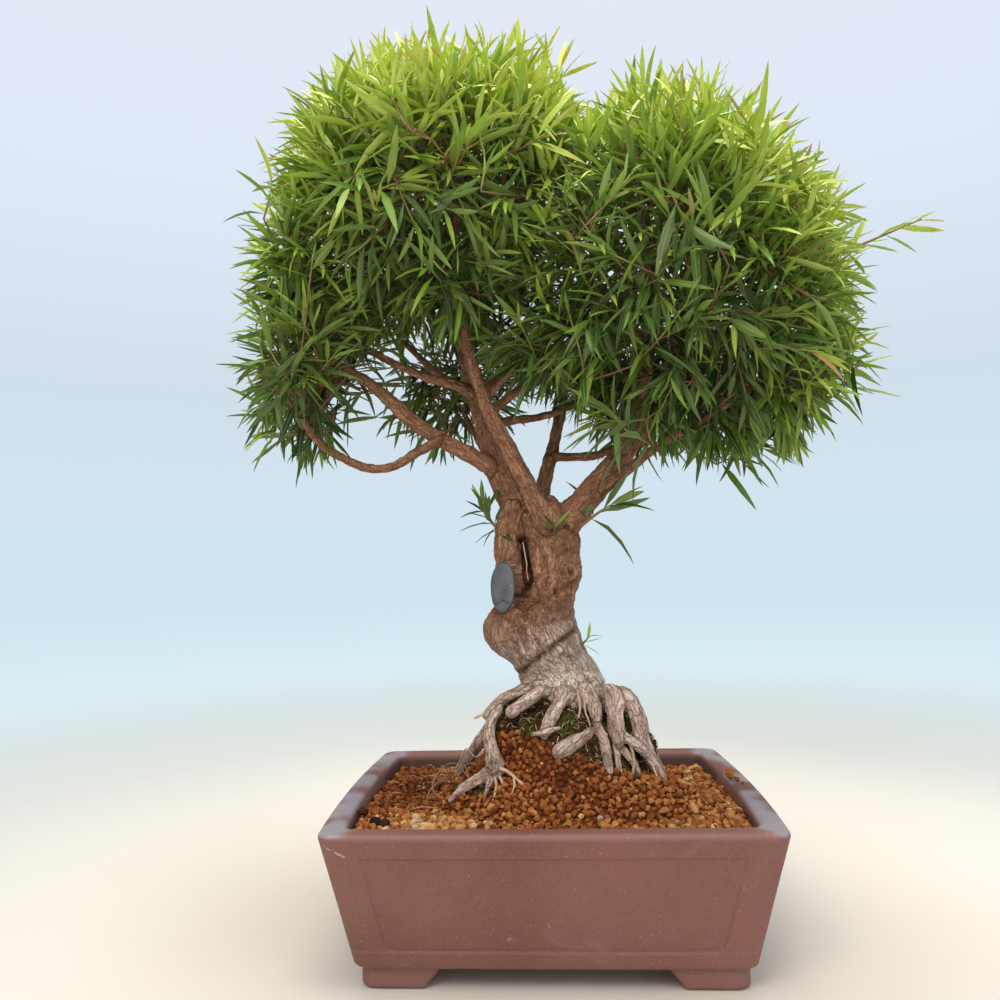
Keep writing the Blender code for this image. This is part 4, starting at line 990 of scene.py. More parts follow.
def leaf_tree() -> GrowthTree:
    """The tree that grows a spray: stems along its edges, and a leaf on each of its seats."""
    tree = GrowthTree(
        "Leafy Spray",
        {
            "Leaf Kinds": ("NodeSocketCollection", None),
            "Leaf Finish": ("NodeSocketMaterial", None),
            "Stem Finish": ("NodeSocketMaterial", None),
            "Stem Sides": ("NodeSocketInt", 5),
        },
    )
    put, inlet = tree.wiring.put, tree.inlet.outputs
    parts = put(
        "GeometryNodeSeparateGeometry",
        {"Geometry": inlet["Geometry"], "Selection": tree.named("seat", "BOOLEAN")},
        domain="POINT",
    )
    seats = put("GeometryNodeMeshToPoints", {"Mesh": parts.outputs["Selection"]})
    kinds = put(
        "GeometryNodeCollectionInfo",
        {"Collection": inlet["Leaf Kinds"], "Separate Children": True, "Reset Children": True},
    )
    leaves = put(
        "GeometryNodeInstanceOnPoints",
        {
            "Points": seats.outputs[0],
            "Instance": kinds.outputs[0],
            "Pick Instance": True,
            "Instance Index": tree.named("kind", "INT"),
            "Rotation": tree.named("turn", "QUATERNION"),
            "Scale": tree.named("size", "FLOAT_VECTOR"),
        },
    )
    blades = put("GeometryNodeRealizeInstances", {"Geometry": leaves.outputs[0]})
    blades = put(
        "GeometryNodeSetMaterial",
        {"Geometry": blades.outputs[0], "Material": inlet["Leaf Finish"]},
    )
    stems = put("GeometryNodeMeshToCurve", {"Mesh": parts.outputs["Inverted"]})
    ring = put(
        "GeometryNodeCurvePrimitiveCircle", {"Resolution": inlet["Stem Sides"], "Radius": 1.0}
    )
    stems = put(
        "GeometryNodeCurveToMesh",
        {
            "Curve": stems.outputs[0], "Profile Curve": ring.outputs[0],
            "Scale": tree.named("thickness", "FLOAT"), "Fill Caps": True,
        },
    )
    stems = put("GeometryNodeRealizeInstances", {"Geometry": stems.outputs[0]})
    stems = put(
        "GeometryNodeSetMaterial",
        {"Geometry": stems.outputs[0], "Material": inlet["Stem Finish"]},
    )
    both = put("GeometryNodeJoinGeometry")
    tree.tree.links.new(blades.outputs[0], both.inputs[0])
    tree.tree.links.new(stems.outputs[0], both.inputs[0])
    tree.tree.links.new(both.outputs[0], tree.outlet.inputs[0])
    return tree


def scatter_tree() -> GrowthTree:
    """The tree that lays one of a few small shapes on every point of its host."""
    tree = GrowthTree(
        "Scattered Pieces",
        {
            "Kinds": ("NodeSocketCollection", None),
            "Finish": ("NodeSocketMaterial", None),
            "Scale": ("NodeSocketFloat", 1.0),
        },
    )
    put, inlet = tree.wiring.put, tree.inlet.outputs
    points = put("GeometryNodeMeshToPoints", {"Mesh": inlet["Geometry"]})
    kinds = put(
        "GeometryNodeCollectionInfo",
        {"Collection": inlet["Kinds"], "Separate Children": True, "Reset Children": True},
    )
    size = put(
        "ShaderNodeVectorMath",
        {0: tree.named("size", "FLOAT_VECTOR"), "Scale": inlet["Scale"]},
        operation="SCALE",
    )
    laid = put(
        "GeometryNodeInstanceOnPoints",
        {
            "Points": points.outputs[0],
            "Instance": kinds.outputs[0],
            "Pick Instance": True,
            "Instance Index": tree.named("kind", "INT"),
            "Rotation": tree.named("turn", "QUATERNION"),
            "Scale": size.outputs[0],
        },
    )
    solid = put("GeometryNodeRealizeInstances", {"Geometry": laid.outputs[0]})
    painted = put(
        "GeometryNodeSetMaterial", {"Geometry": solid.outputs[0], "Material": inlet["Finish"]}
    )
    tree.tree.links.new(painted.outputs[0], tree.outlet.inputs[0])
    return tree


def thread_tree() -> GrowthTree:
    """The tree that turns the host's edges into round threads of their own thickness."""
    tree = GrowthTree(
        "Fine Threads",
        {"Sides": ("NodeSocketInt", 5), "Finish": ("NodeSocketMaterial", None)},
    )
    put, inlet = tree.wiring.put, tree.inlet.outputs
    lines = put("GeometryNodeMeshToCurve", {"Mesh": inlet["Geometry"]})
    ring = put("GeometryNodeCurvePrimitiveCircle", {"Resolution": inlet["Sides"], "Radius": 1.0})
    skin = put(
        "GeometryNodeCurveToMesh",
        {
            "Curve": lines.outputs[0], "Profile Curve": ring.outputs[0],
            "Scale": tree.named("thickness", "FLOAT"), "Fill Caps": True,
        },
    )
    solid = put("GeometryNodeRealizeInstances", {"Geometry": skin.outputs[0]})
    painted = put(
        "GeometryNodeSetMaterial", {"Geometry": solid.outputs[0], "Material": inlet["Finish"]}
    )
    tree.tree.links.new(painted.outputs[0], tree.outlet.inputs[0])
    return tree


@dataclass
class Lines:
    """Polylines and seats gathered as one host for a growth tree, in millimetres."""

    points: list = field(default_factory=list)
    edges: list = field(default_factory=list)
    values: dict[str, list] = field(default_factory=dict)

    def add_line(self, samples: np.ndarray, **values: Any) -> None:
        """Adds one line through points of x, y, z and radius."""
        start = len(self.points)
        self.points += [tuple(row) for row in samples[:, :3]]
        self.edges += [(start + at, start + at + 1) for at in range(len(samples) - 1)]
        self._note(len(samples), thickness=samples[:, 3] * MM, **values)

    def add_seat(self, place: Any, turn: Quaternion, size: Any, kind: int, **values: Any) -> None:
        """Adds one seat, with how what sits there is turned and sized."""
        self.points.append(tuple(place))
        self._note(1, seat=True, turn=[tuple(turn)], size=[tuple(size)], kind=kind, **values)

    def _note(self, count: int, **values: Any) -> None:
        """Notes values for the newest points."""
        for name, value in values.items():
            rows = self.values.setdefault(name, [])
            known = len(self.points) - count
            width = np.shape(value)[1:] if np.ndim(value) > 1 else ()
            rows += [np.zeros(width)] * (known - len(rows))
            rows += list(np.broadcast_to(np.asarray(value), (count, *width)))

    def host(self, name: str, bench: Bench) -> bpy.types.Object:
        """The host object, with every value on its points."""
        made = mesh_object(name, bench.placed(self.points), (), self.edges)
        kinds = {"seat": "BOOLEAN", "kind": "INT", "turn": "QUATERNION", "size": "FLOAT_VECTOR"}
        for label, rows in self.values.items():
            blank = np.zeros(np.shape(rows[-1]))
            rows = rows + [blank] * (len(self.points) - len(rows))
            carry(made.data, label, kinds.get(label, "FLOAT"), np.array(rows))
        return made


def facing(direction: Vector, top: Vector) -> Quaternion:
    """The turn that lays +Y along a direction and +Z as near to top as it can."""
    along = direction.normalized()
    across = along.cross(top)
    if across.length < 1e-6:
        across = along.orthogonal()
    across.normalize()
    above = across.cross(along)
    return Matrix((across, along, above)).transposed().to_quaternion()


def kinds_collection(name: str, meshes: Sequence[bpy.types.Mesh]) -> bpy.types.Collection:
    """A collection of small shapes for a growth tree, left out of the scene."""
    made = bpy.data.collections.new(name)
    for index, mesh in enumerate(meshes):
        made.objects.link(bpy.data.objects.new(f"{name}_{index:02d}", mesh))
    return made


@dataclass
class Studio:
    """The plain floor, soft backdrop, lamps and camera round the object."""

    bench: Bench
    floor: bpy.types.Material
    camera_place: tuple[float, float, float] = (-0.6, -644.1, 272.0)
    camera_yaw: float = -2.92
    camera_pitch: float = 4.65
    camera_roll: float = -1.2
    focal_length: float = 29.34
    floor_radius: float = 3400.0
    air: tuple[tuple[float, str], ...] = (
        (0.0, "#f5ecdf"), (0.08, "#f3f4ef"), (0.19, "#e1f2f7"), (0.32, "#cfe4ef"),
        (0.45, "#d2e4f0"), (0.57, "#d1dfea"), (0.8, "#dfe8f7"), (0.98, "#e3eaf6"),
    )

    def build(self) -> None:
        """Sets the whole studio up."""
        bpy.context.scene.view_settings.view_transform = "Standard"
        self.add_camera()
        self.add_air()
        self.add_floor()
        self.add_lamp("key lamp", (-650, -1300, 1650), 900, 19.0, "#fff8ee")
        self.add_lamp("side lamp", (1400, -900, 1000), 1200, 9.0, "#eef4ff")
        self.add_lamp("top lamp", (40, 60, 1650), 1200, 36.0, "#fffdf4")
        self.add_lamp("low lamp", (-250, -1500, 120), 1100, 3.5, "#fff6ee")

    def add_camera(self) -> None:
        """Adds the camera, which looks almost along +Y."""
        yaw, pitch, roll = (
            math.radians(angle)
            for angle in (self.camera_yaw, self.camera_pitch, self.camera_roll)
        )
        ahead = Vector(
            (math.sin(yaw) * math.cos(pitch), math.cos(yaw) * math.cos(pitch), math.sin(pitch))
        )
        right = Vector((math.cos(yaw), -math.sin(yaw), 0))
        above = right.cross(ahead)
        tilted_right = math.cos(roll) * right + math.sin(roll) * above
        tilted_above = math.cos(roll) * above - math.sin(roll) * right
        turn = Matrix((tilted_right, tilted_above, -ahead)).transposed().to_4x4()
        data = bpy.data.cameras.new("studio camera")
        data.lens = self.focal_length
        camera = bpy.data.objects.new("studio camera", data)
        camera.matrix_world = Matrix.Translation(self.bench.placed(self.camera_place)[0]) @ turn
        bpy.context.scene.collection.objects.link(camera)
        bpy.context.scene.camera = camera

    def add_air(self) -> None:
        """Adds the world: a soft backdrop to look at and an even light on the object."""
        world = bpy.data.worlds.new("studio air")
        world.use_nodes = True
        bpy.context.scene.world = world
        wiring = Wiring(world.node_tree)
        light = world.node_tree.nodes["Background"]
        light.inputs["Color"].default_value = tone("#f4f8ff")
        light.inputs["Strength"].default_value = 0.55
        direction = wiring.put("ShaderNodeTexCoord").outputs["Generated"]
        height = wiring.put("ShaderNodeSeparateXYZ", {0: direction}).outputs["Z"]
        share = wiring.maths("MULTIPLY_ADD", height, 1.05, 0.36)
        seen = wiring.put("ShaderNodeBackground", {"Color": wiring.ramp(share, self.air)})
        both = wiring.put(
            "ShaderNodeMixShader",
            {
                0: wiring.put("ShaderNodeLightPath").outputs["Is Camera Ray"],
                1: light.outputs[0],
                2: seen.outputs[0],
            },
        )
        wiring.tree.links.new(
            both.outputs[0], world.node_tree.nodes["World Output"].inputs["Surface"]
        )

    def add_floor(self) -> None:
        """Adds a wide round floor just under the pot."""
        sides = 96
        angles = np.arange(sides) * 2 * math.pi / sides
        points = np.stack([np.cos(angles), np.sin(angles), np.zeros(sides)], 1)
        points *= self.floor_radius
        points[:, 2] = -0.2
        made = mesh_object("studio_floor", self.bench.placed(points), [tuple(range(sides))])
        made.data.materials.append(self.floor)

    def add_lamp(self, name: str, place: Any, size: float, power: float, colour: str) -> None:
        """Adds one square lamp aimed at the crown."""
        data = bpy.data.lights.new(name, "AREA")
        data.size = size * MM
        data.energy = power
        data.color = tone(colour)[:3]
        lamp = bpy.data.objects.new(name, data)
        start, aim = self.bench.placed([place, (0, 0, 330)])
        lamp.location = start
        lamp.rotation_euler = Vector(aim - start).to_track_quat("-Z", "Y").to_euler()
        lamp.visible_camera = False
        bpy.context.scene.collection.objects.link(lamp)


@dataclass
class ClayPot:
    """The oblong pot: bowed sides with sunk panels, a rounded lip and four cyma feet."""

    bench: Bench
    clay: bpy.types.Material
    half_x: float = 150.0
    half_y: float = 120.0
    top: float = 104.5
    taper: float = 20.0
    corner: float = 9.0
    side_bow: float = 5.0
    front_bow: float = 1.5
    lip_width: float = 17.0
    foot_height: float = 13.8
    foot_length: float = 53.0
    foot_depth: float = 44.0
    foot_slope: float = 8.0
    foot_setback: float = 3.5
    floor_top: float = 24.0
    inner_foot: tuple[float, float] = (121.0, 91.0)
    panel_low: float = 26.0
    panel_high: float = 88.5
    panel_depth: float = 1.9
    panel_margin: float = 25.0
    panel_corner: float = 6.0
    hole_radius: float = 11.0
    hole_offset: float = 62.0
    wander: float = 0.35
    near_corner: tuple[float, ...] = (
        0, 4, 8, 11, 13.2, 14.6, 15.4, 15.8, 16.2, 16.8, 18, 19.6, 21.4, 24, 28,
    )
    front_steps: int = 27
    side_steps: int = 20
    arc_steps: int = 8

    def inset(self, z: float) -> float:
        """How far the outside has come in from its rim at this height."""
        return self.taper * (self.top - z) / (self.top - self.foot_height)

    def bow(self, z: float) -> float:
        """How much of the rim's outward bow the sides have at this height."""
        return 0.6 + 0.4 * (z - self.foot_height) / (self.top - self.foot_height)

    def inner_half(self, z: float) -> tuple[float, float]:
        """Half sizes of the inside at this height."""
        share = (z - self.floor_top) / (self.top - self.floor_top)
        start_x, start_y = self.inner_foot
        return (
            start_x + (self.half_x - self.lip_width - start_x) * share,
            start_y + (self.half_y - self.lip_width - start_y) * share,
        )

    def outline(self, half_x: float, half_y: float, corner: float, z: float) -> np.ndarray:
        """One level ring, going round from above: x, y and the distance from the next corner."""
        points = []
        centres = ((1, 1), (-1, 1), (-1, -1), (1, -1))
        near = np.array(self.near_corner)
        for quarter, (sign_x, sign_y) in enumerate(centres):
            middle = np.array((sign_x * (half_x - corner), sign_y * (half_y - corner)))
            for step in range(self.arc_steps):
                angle = math.radians(90 * (quarter + step / self.arc_steps))
                spot = middle + corner * np.array((math.cos(angle), math.sin(angle)))
                points.append((*spot, -1.0))
            angle = math.radians(90 * (quarter + 1))
            away = corner * np.array((math.cos(angle), math.sin(angle)))
            start = middle + away
            after = centres[(quarter + 1) % 4]
            stop = np.array((after[0] * (half_x - corner), after[1] * (half_y - corner))) + away
            length = np.linalg.norm(stop - start)
            steps = self.front_steps if quarter % 2 == 0 else self.side_steps
            run = np.concatenate(
                [near, np.linspace(near[-1], length - near[-1], steps)[1:-1], length - near[::-1]]
            )
            for distance in run[:-1]:
                spot = start + (stop - start) * distance / length
                points.append((*spot, min(distance, length - distance)))
        ring = np.array(points)
        x, y = ring[:, 0].copy(), ring[:, 1].copy()
        bow = self.bow(z)
        ring[:, 0] = x * (1 + bow * self.side_bow / half_x * (1 - (y / half_y) ** 2))
        ring[:, 1] = y * (1 + bow * self.front_bow / half_y * (1 - (x / half_x) ** 2))
        return ring

    def sink(self, ring: np.ndarray, z: float) -> np.ndarray:
        """Sinks the panels into an outer ring, deepest at their foot."""
        across = ring[:, 2] - (self.panel_margin - self.corner)
        low, high = z - self.panel_low, self.panel_high - z
        inside = np.minimum(across, min(low, high))
        round_by = self.panel_corner
        in_corner = (across < round_by) & (low < round_by)
        reach = np.hypot(round_by - across, round_by - low)
        inside = np.where(in_corner, round_by - reach, inside)
        share = 1 - 0.62 * (z - self.panel_low) / (self.panel_high - self.panel_low)
        depth = self.panel_depth * share * smooth_step(-0.5, 0.5, inside)
        on_front = np.abs(ring[:, 1]) / self.half_y > np.abs(ring[:, 0]) / self.half_x
        sunk = ring.copy()
        sunk[:, 1] -= np.where(on_front, np.sign(ring[:, 1]) * depth, 0)
        sunk[:, 0] -= np.where(on_front, 0, np.sign(ring[:, 0]) * depth)
        return sunk

    def waver(self, ring: np.ndarray, z: float) -> np.ndarray:
        """Lets a ring wander as hand-pressed clay does."""
        out = ring / np.linalg.norm(ring, axis=1)[:, None]
        push = [noise.noise(Vector((x, y, z)) / 46) for x, y in ring]
        return ring + out * (self.wander * np.array(push))[:, None]

    def shell(self) -> bpy.types.Object:
        """The body of the pot, with rounded edges, before its feet and holes."""
        rings = []
        arc = [math.radians(angle) for angle in (0, 18, 36, 54, 72, 90)]
        outside = [(self.foot_height + 3.2 * (1 - math.cos(a)), 3.2 * (1 - math.sin(a))) for a in arc]
        lower = (20, 23, 24.6, 25.3, 25.7, 26.1, 26.5, 27, 28, 29.6, 31.4, 34, 40, 48, 56, 64, 72)
        upper = (79, 84, 86.6, 87.8, 88.2, 88.6, 89, 89.8, 92, 96, 99)
        outside += [(z, 0.0) for z in (*lower, *upper)]
        outside += [(self.top - 4.2 * (1 - math.sin(a)), 4.2 * (1 - math.cos(a))) for a in arc]
        for z, round_in in outside:
            inset = self.inset(z) + round_in
            ring = self.outline(self.half_x - inset, self.half_y - inset, self.corner, z)
            ring = self.waver(self.sink(ring, z)[:, :2], z)
            rings.append((ring, z))
        lip = ((6.5, 0.22), (9, 0.25), (11.5, 0.1), (13.6, -0.25), (15, -0.9), (16.2, -2), (16.8, -3.4))
        for inset, rise in lip:
            ring = self.outline(self.half_x - inset, self.half_y - inset, self.corner - 1, self.top)
            rings.append((self.waver(ring[:, :2], self.top), self.top + rise))
        for z in (self.top - 6, 92, 84, 60, self.floor_top):
            ring = self.outline(*self.inner_half(z), self.corner - 1, z)
            rings.append((ring[:, :2], z))
        count = len(rings[0][0])
        points = np.vstack([np.column_stack([ring, np.full(count, z)]) for ring, z in rings])
        faces = [tuple(reversed(range(count)))]
        for row in range(len(rings) - 1):
            for index in range(count):
                after = (index + 1) % count
                low, high = row * count, (row + 1) * count
                faces.append((low + index, low + after, high + after, high + index))
        faces.append(tuple(range(len(points) - count, len(points))))
        return mesh_object("clay_pot", self.bench.placed(points), faces)

    def foot(self, sign_x: int, sign_y: int) -> bpy.types.Object:
        """One corner foot, whose inner ends sweep up in a cyma."""
        outer_x = self.half_x - self.inset(self.foot_height) - self.foot_setback
        outer_y = self.half_y - self.inset(self.foot_height) - self.foot_setback
        rings = []
        for z in (0.0, 0.25, 0.8, 1.6, 2.6, 4, 6, 8, 10, 11.5, 12.6, 13.4, 14.2, 16):
            edge = 2.6 * (1 - math.sqrt(1 - (1 - min(z / 2.6, 1)) ** 2))
            sweep = self.foot_slope * (1 - smooth_step(1.0, 14.0, z))
            low_x = outer_x - self.foot_length + sweep + edge
            low_y = outer_y - self.foot_depth + sweep + edge
            high_x, high_y = outer_x - edge, outer_y - edge
            ring = []
            corners = ((high_x, high_y, 10, 0), (low_x, high_y, 4, 90), (low_x, low_y, 4, 180))
            for x, y, radius, turn in (*corners, (high_x, low_y, 4, 270)):
                middle_x = x - radius if turn in (0, 270) else x + radius
                middle_y = y - radius if turn in (0, 90) else y + radius
                for step in range(7):
                    angle = math.radians(turn + 15 * step)
                    spot_x = middle_x + radius * math.cos(angle)
                    spot_y = middle_y + radius * math.sin(angle)
                    ring.append((sign_x * spot_x, sign_y * spot_y, z))
            rings.append(ring if sign_x * sign_y > 0 else ring[::-1])
        count = len(rings[0])
        faces = [tuple(reversed(range(count)))]
        for row in range(len(rings) - 1):
            for index in range(count):
                after = (index + 1) % count
                low, high = row * count, (row + 1) * count
                faces.append((low + index, low + after, high + after, high + index))
        faces.append(tuple(range((len(rings) - 1) * count, len(rings) * count)))
        return mesh_object("foot", self.bench.placed(np.vstack(rings)), faces)

    def hole(self, side: int) -> bpy.types.Object:
        """The cutter of one drain hole."""
        steps = 32
        angles = np.arange(steps) * 2 * math.pi / steps
        rings = []
        for z in (self.foot_height - 6, self.floor_top + 5):
            x = side * self.hole_offset + self.hole_radius * np.cos(angles)
            rings.append(np.column_stack([x, self.hole_radius * np.sin(angles), np.full(steps, z)]))
        faces = [tuple(reversed(range(steps))), tuple(range(steps, 2 * steps))]
        for index in range(steps):
            after = (index + 1) % steps
            faces.append((index, after, steps + after, steps + index))
        return mesh_object("hole", self.bench.placed(np.vstack(rings)), faces)

    def mark(self, mesh: bpy.types.Mesh) -> None:
        """Stores where the clay is worn and carries a painted highlight, where the side rims are wet with
        a painted sheen, the painted shade inside the wall, and each point's place on the pot.
        """
        spots = self.bench.measured(points_of(mesh))
        x, y, z = spots.T
        # The rim's rounded edge, the panels' lower ledge and the foot are lightened: wear on the rim and
        # foot, and a painted highlight on the rim and ledge.
        rim = smooth_step(99.5, 102, z) * (1 - smooth_step(103.9, 104.6, z))
        ledge = np.exp(-(((z - 26.0) / 0.7) ** 2))
        base = 1 - smooth_step(14.5, 17.5, z)
        carry(mesh, "edge_wear_and_highlight", "FLOAT", np.maximum(np.maximum(rim, ledge), base * 0.7))
        # The side rims are wet in patches, and their colour carries a painted sheen.
        side = smooth_step(126, 133, np.abs(x)) * smooth_step(101.5, 103.5, z)
        patches = [0.55 + 0.9 * noise.noise(Vector((a, b, 3.0)) / 24) for a, b in zip(x, y)]
        wet_and_sheen = side * smooth_step(0.3, 0.65, np.array(patches) + 0.1 * (x < 0))
        carry(mesh, "wet_rim_and_sheen", "FLOAT", wet_and_sheen)
        # Painted shade: the inside of the wall is darkened below the rim.
        inner_x, inner_y = self.inner_half(z)
        inside = (np.abs(x) < inner_x + 4) & (np.abs(y) < inner_y + 4) & (z > self.floor_top - 1)
        carry(mesh, "inner_wall_shade", "FLOAT", inside * (1 - smooth_step(98, 103, z)) * 0.85)
        carry(mesh, "pot_place", "FLOAT_VECTOR", spots * MM)

    def build(self) -> bpy.types.Object:
        """Builds the pot and dresses it."""
        pot = self.shell()
        for sign_x in (-1, 1):
            for sign_y in (-1, 1):
                combine(pot, self.foot(sign_x, sign_y), "UNION")
        for side in (-1, 1):
            combine(pot, self.hole(side), "DIFFERENCE")
        self.mark(pot.data)
        pot.data.shade_smooth()
        pot.data.set_sharp_from_angle(angle=math.radians(50))
        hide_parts("pot")
        return dress(pot, Slot.CLAY, self.clay)


TRUNK = (
    (10, 14, 118, 24), (10, 13, 150, 27), (13, 11, 165, 31), (13, 9, 176, 33), (8, 8, 190, 32),
    (-4, 6, 206, 36), (-9, 6, 216, 36), (-11, 6, 225, 35.5), (-9, 6, 236, 31), (-1, 8, 246, 24.5),
    (6, 10, 260, 22), (8, 10, 275, 21), (8, 10, 288, 22), (5, 10, 300, 22), (3, 10, 310, 18),
    (3, 10, 318, 10),
)
LEFT_COLUMN = (
    (-20, -2, 238, 14), (-26, -4, 252, 14), (-28, -2, 264, 10.5), (-28, 0, 276, 10),
    (-28, 0, 289, 11), (-26, 4, 302, 11.5), (-22, 10, 318, 11),
)
CREVICE_BACK = ((-10, 14, 236, 12), (-14, 15, 262, 10), (-14, 15, 284, 10), (-10, 14, 308, 12))
LIMBS = {
    "left leader": (
        (2, 10, 288, 15), (-12, 12, 305, 14), (-23, 14, 325, 12.5), (-34, 15, 350, 11),
        (-44, 17, 377, 8.2), (-54, 24, 416, 6.2), (-68, 34, 474, 4.8), (-84, 44, 550, 3.6),
        (-96, 48, 620, 2.2),
    ),
    "front leader": (
        (12, 12, 272, 10), (8, 2, 290, 10.5), (0, -8, 310, 9), (-14, -14, 340, 7.2),
        (-42, -19, 399, 5.6),
        (-56, -30, 448, 4.8), (-60, -48, 510, 3.9), (-56, -66, 572, 2.2),
    ),
    "left low": (
        (-36, 12, 348, 8), (-52, 3, 359, 7), (-80, -3, 374, 6.3), (-104, -5, 391, 6),
        (-133, -6, 418, 4.8), (-156, -7, 433, 3.8), (-176, -9, 446, 2.8),
    ),
    "left drooping": (
        (-78, -4, 374, 4.4), (-97, -20, 361, 3.8), (-114, -22, 351, 3.6), (-134, -22, 350, 3.5),
        (-157, -22, 360, 3.3), (-175, -24, 374, 3), (-186, -27, 392, 2.6),
    ),
    "left middle": (
        (-53, 22, 413, 5), (-68, 14, 421, 4.3), (-98, 10, 430, 3.7), (-142, 4, 452, 3.1),
        (-172, 0, 472, 2.3),
    ),
    "left upper": (
        (-54, 24, 414, 4.5), (-84, 40, 436, 3.4), (-114, 55, 466, 2.8), (-142, 70, 506, 2.3),
    ),
    "inner front": (
        (-43, -19, 401, 3.6), (-26, -14, 420, 3.1), (2, -12, 439, 2.6), (22, -22, 492, 2.4),
        (24, -52, 575, 1.9),
    ),
    "inner middle": (
        (-48, 19, 393, 4.2), (-22, 14, 412, 3.9), (8, 22, 433, 3.5), (38, 38, 474, 2.9),
        (36, 60, 576, 1.9),
    ),
    "inner back": (
        (-54, 25, 420, 4.8), (-34, 44, 433, 4.3), (-8, 58, 454, 3.8), (8, 70, 508, 3),
        (-20, 94, 596, 2),
    ),
    "inner low": (
        (-46, 18, 385, 4.4), (-24, 33, 394, 3.8), (0, 43, 398, 3.5), (30, 46, 410, 3),
        (60, 60, 448, 2.3),
    ),
    "back stem": (
        (2, 16, 294, 12), (-1, 36, 308, 8.4), (0, 50, 334, 6.7), (13, 61, 385, 5.3),
        (22, 82, 440, 4.3), (6, 116, 546, 2.4),
    ),
    "back side": (
        (7, 56, 366, 4.6), (24, 51, 364, 3.8), (50, 53, 366, 3.7), (74, 66, 380, 3.2),
        (100, 88, 416, 2.6),
    ),
    "back left": (
        (-1, 46, 324, 5), (-26, 70, 346, 4), (-50, 94, 374, 3.4), (-70, 108, 414, 2.4),
    ),
    "right leader": (
        (6, 8, 292, 15), (21, 4, 309, 13), (36, 1, 325, 11.2), (61, 0, 354, 9.4),
        (82, 0, 382, 7.7), (106, 0, 399, 6.5), (126, 3, 424, 5.6), (138, 10, 480, 4.6),
        (126, 18, 584, 2.2),
    ),
    "right fork": (
        (56, 0, 348, 7.6), (72, -8, 381, 6.3), (83, -18, 424, 5.2), (84, -36, 485, 4.2),
        (78, -58, 540, 2.2),
    ),
    "right low": (
        (42, 0, 328, 5.6), (60, -18, 339, 4), (92, -25, 363, 3.6), (124, -31, 380, 3.2),
        (160, -38, 402, 2.5),
    ),
    "right outer": (
        (119, 2, 413, 5.6), (152, -2, 450, 4.2), (169, -4, 465, 3.7), (188, -8, 494, 2.8),
        (204, -9, 503, 2.1),
    ),
    "right outer low": ((156, -3, 454, 3.8), (176, -13, 449, 3.1), (200, -22, 458, 2.3)),
    "right back": (
        (83, 0, 384, 5.6), (100, 32, 407, 4.3), (124, 64, 446, 3.4), (138, 90, 540, 2),
    ),
}
BURLS = (
    ((-27, -4, 223), (20, 20, 21)),
    ((18, 4, 266), (11, 15, 13)),
    ((7, -4, 312), (13, 13, 11)),
    ((22, -6, 176), (20, 20, 18)),
    ((11, -6, 182), (29, 19, 15)),
)
ROOTS = (
    ((2, -2, 183, 10), (-17, -15, 178, 5.2), (-30, -22, 174, 4.2), (-40, -28, 168, 3.8),
     (-46, -30, 162, 2.8)),
    ((-37, -28, 167, 4), (-42, -33, 157, 4.2), (-43, -35, 147, 4.8), (-41, -37, 137, 6),
     (-39, -39, 127, 7.2), (-39, -37, 118, 5)),
    ((-41, -40, 125, 5.2), (-49, -42, 120, 4.4), (-57, -44, 116, 3.6), (-65, -46, 111, 2.6),
     (-72, -48, 105, 1.6)),
    ((-40, -41, 123, 3.4), (-43, -45, 116, 2.4), (-46, -49, 109, 1.8), (-48, -51, 102, 1.2)),
    ((6, -8, 182, 10), (-6, -22, 177, 5), (-17, -30, 171, 4.8), (-27, -35, 165, 4.2)),
    ((14, -10, 180, 10), (11, -26, 173, 5.2), (4, -35, 163, 5.2), (-1, -41, 154, 4.6),
     (-3, -43, 149, 3.4)),
    ((-12, -45, 151, 1.6), (-5, -47, 152, 2.3), (2, -47, 154, 2.3), (8, -45, 155, 1.6)),
    ((29, -34, 149, 5), (18, -42, 144, 6), (8, -48, 139, 5.4)),
    ((22, -2, 180, 14), (31, -20, 173, 7), (35, -27, 166, 5), (36, -30, 158, 3.6)),
    ((28, 4, 166, 12), (41, -8, 166, 7), (48, -16, 174, 7.2), (50, -22, 172, 7.2),
     (50, -27, 162, 6.4), (50, -29, 152, 6.2), (51, -30, 142, 4.4)),
    ((49, -14, 172, 7.2), (57, -18, 173, 7), (63, -20, 167, 6.6), (67, -22, 157, 6.2),
     (69, -24, 145, 5.8), (73, -27, 133, 5), (80, -30, 120, 3.6), (86, -31, 110, 2)),
    ((56, -29, 146, 3), (64, -32, 140, 3.4), (72, -33, 133, 3.2), (80, -34, 122, 2.6),
     (85, -36, 113, 1.6)),
    ((55, -28, 136, 2.8), (63, -32, 125, 2.6), (67, -34, 113, 1.6)),
    ((35, -30, 158, 3), (40, -35, 145, 3.6), (42, -38, 132, 4), (43, -40, 121, 3.4),
     (44, -41, 110, 2)),
    ((49, -29, 138, 2.6), (51, -33, 126, 2.3), (52, -35, 114, 1.7)),
    ((20, 30, 172, 14), (28, 50, 160, 9.6), (34, 64, 144, 7.6), (38, 74, 124, 6),
     (42, 84, 106, 3.6)),
    ((2, 30, 172, 14), (-14, 46, 160, 9), (-28, 58, 143, 7), (-38, 68, 123, 5.4),
     (-46, 78, 104, 3.2)),
    ((-4, 14, 168, 11), (-28, 16, 157, 7.2), (-46, 20, 142, 6), (-60, 26, 125, 4.8),
     (-72, 32, 106, 3.4)),
    ((38, 16, 164, 10), (58, 24, 151, 7.2), (74, 32, 135, 6.2), (86, 40, 114, 4.2),
     (92, 46, 102, 2.6)),
)


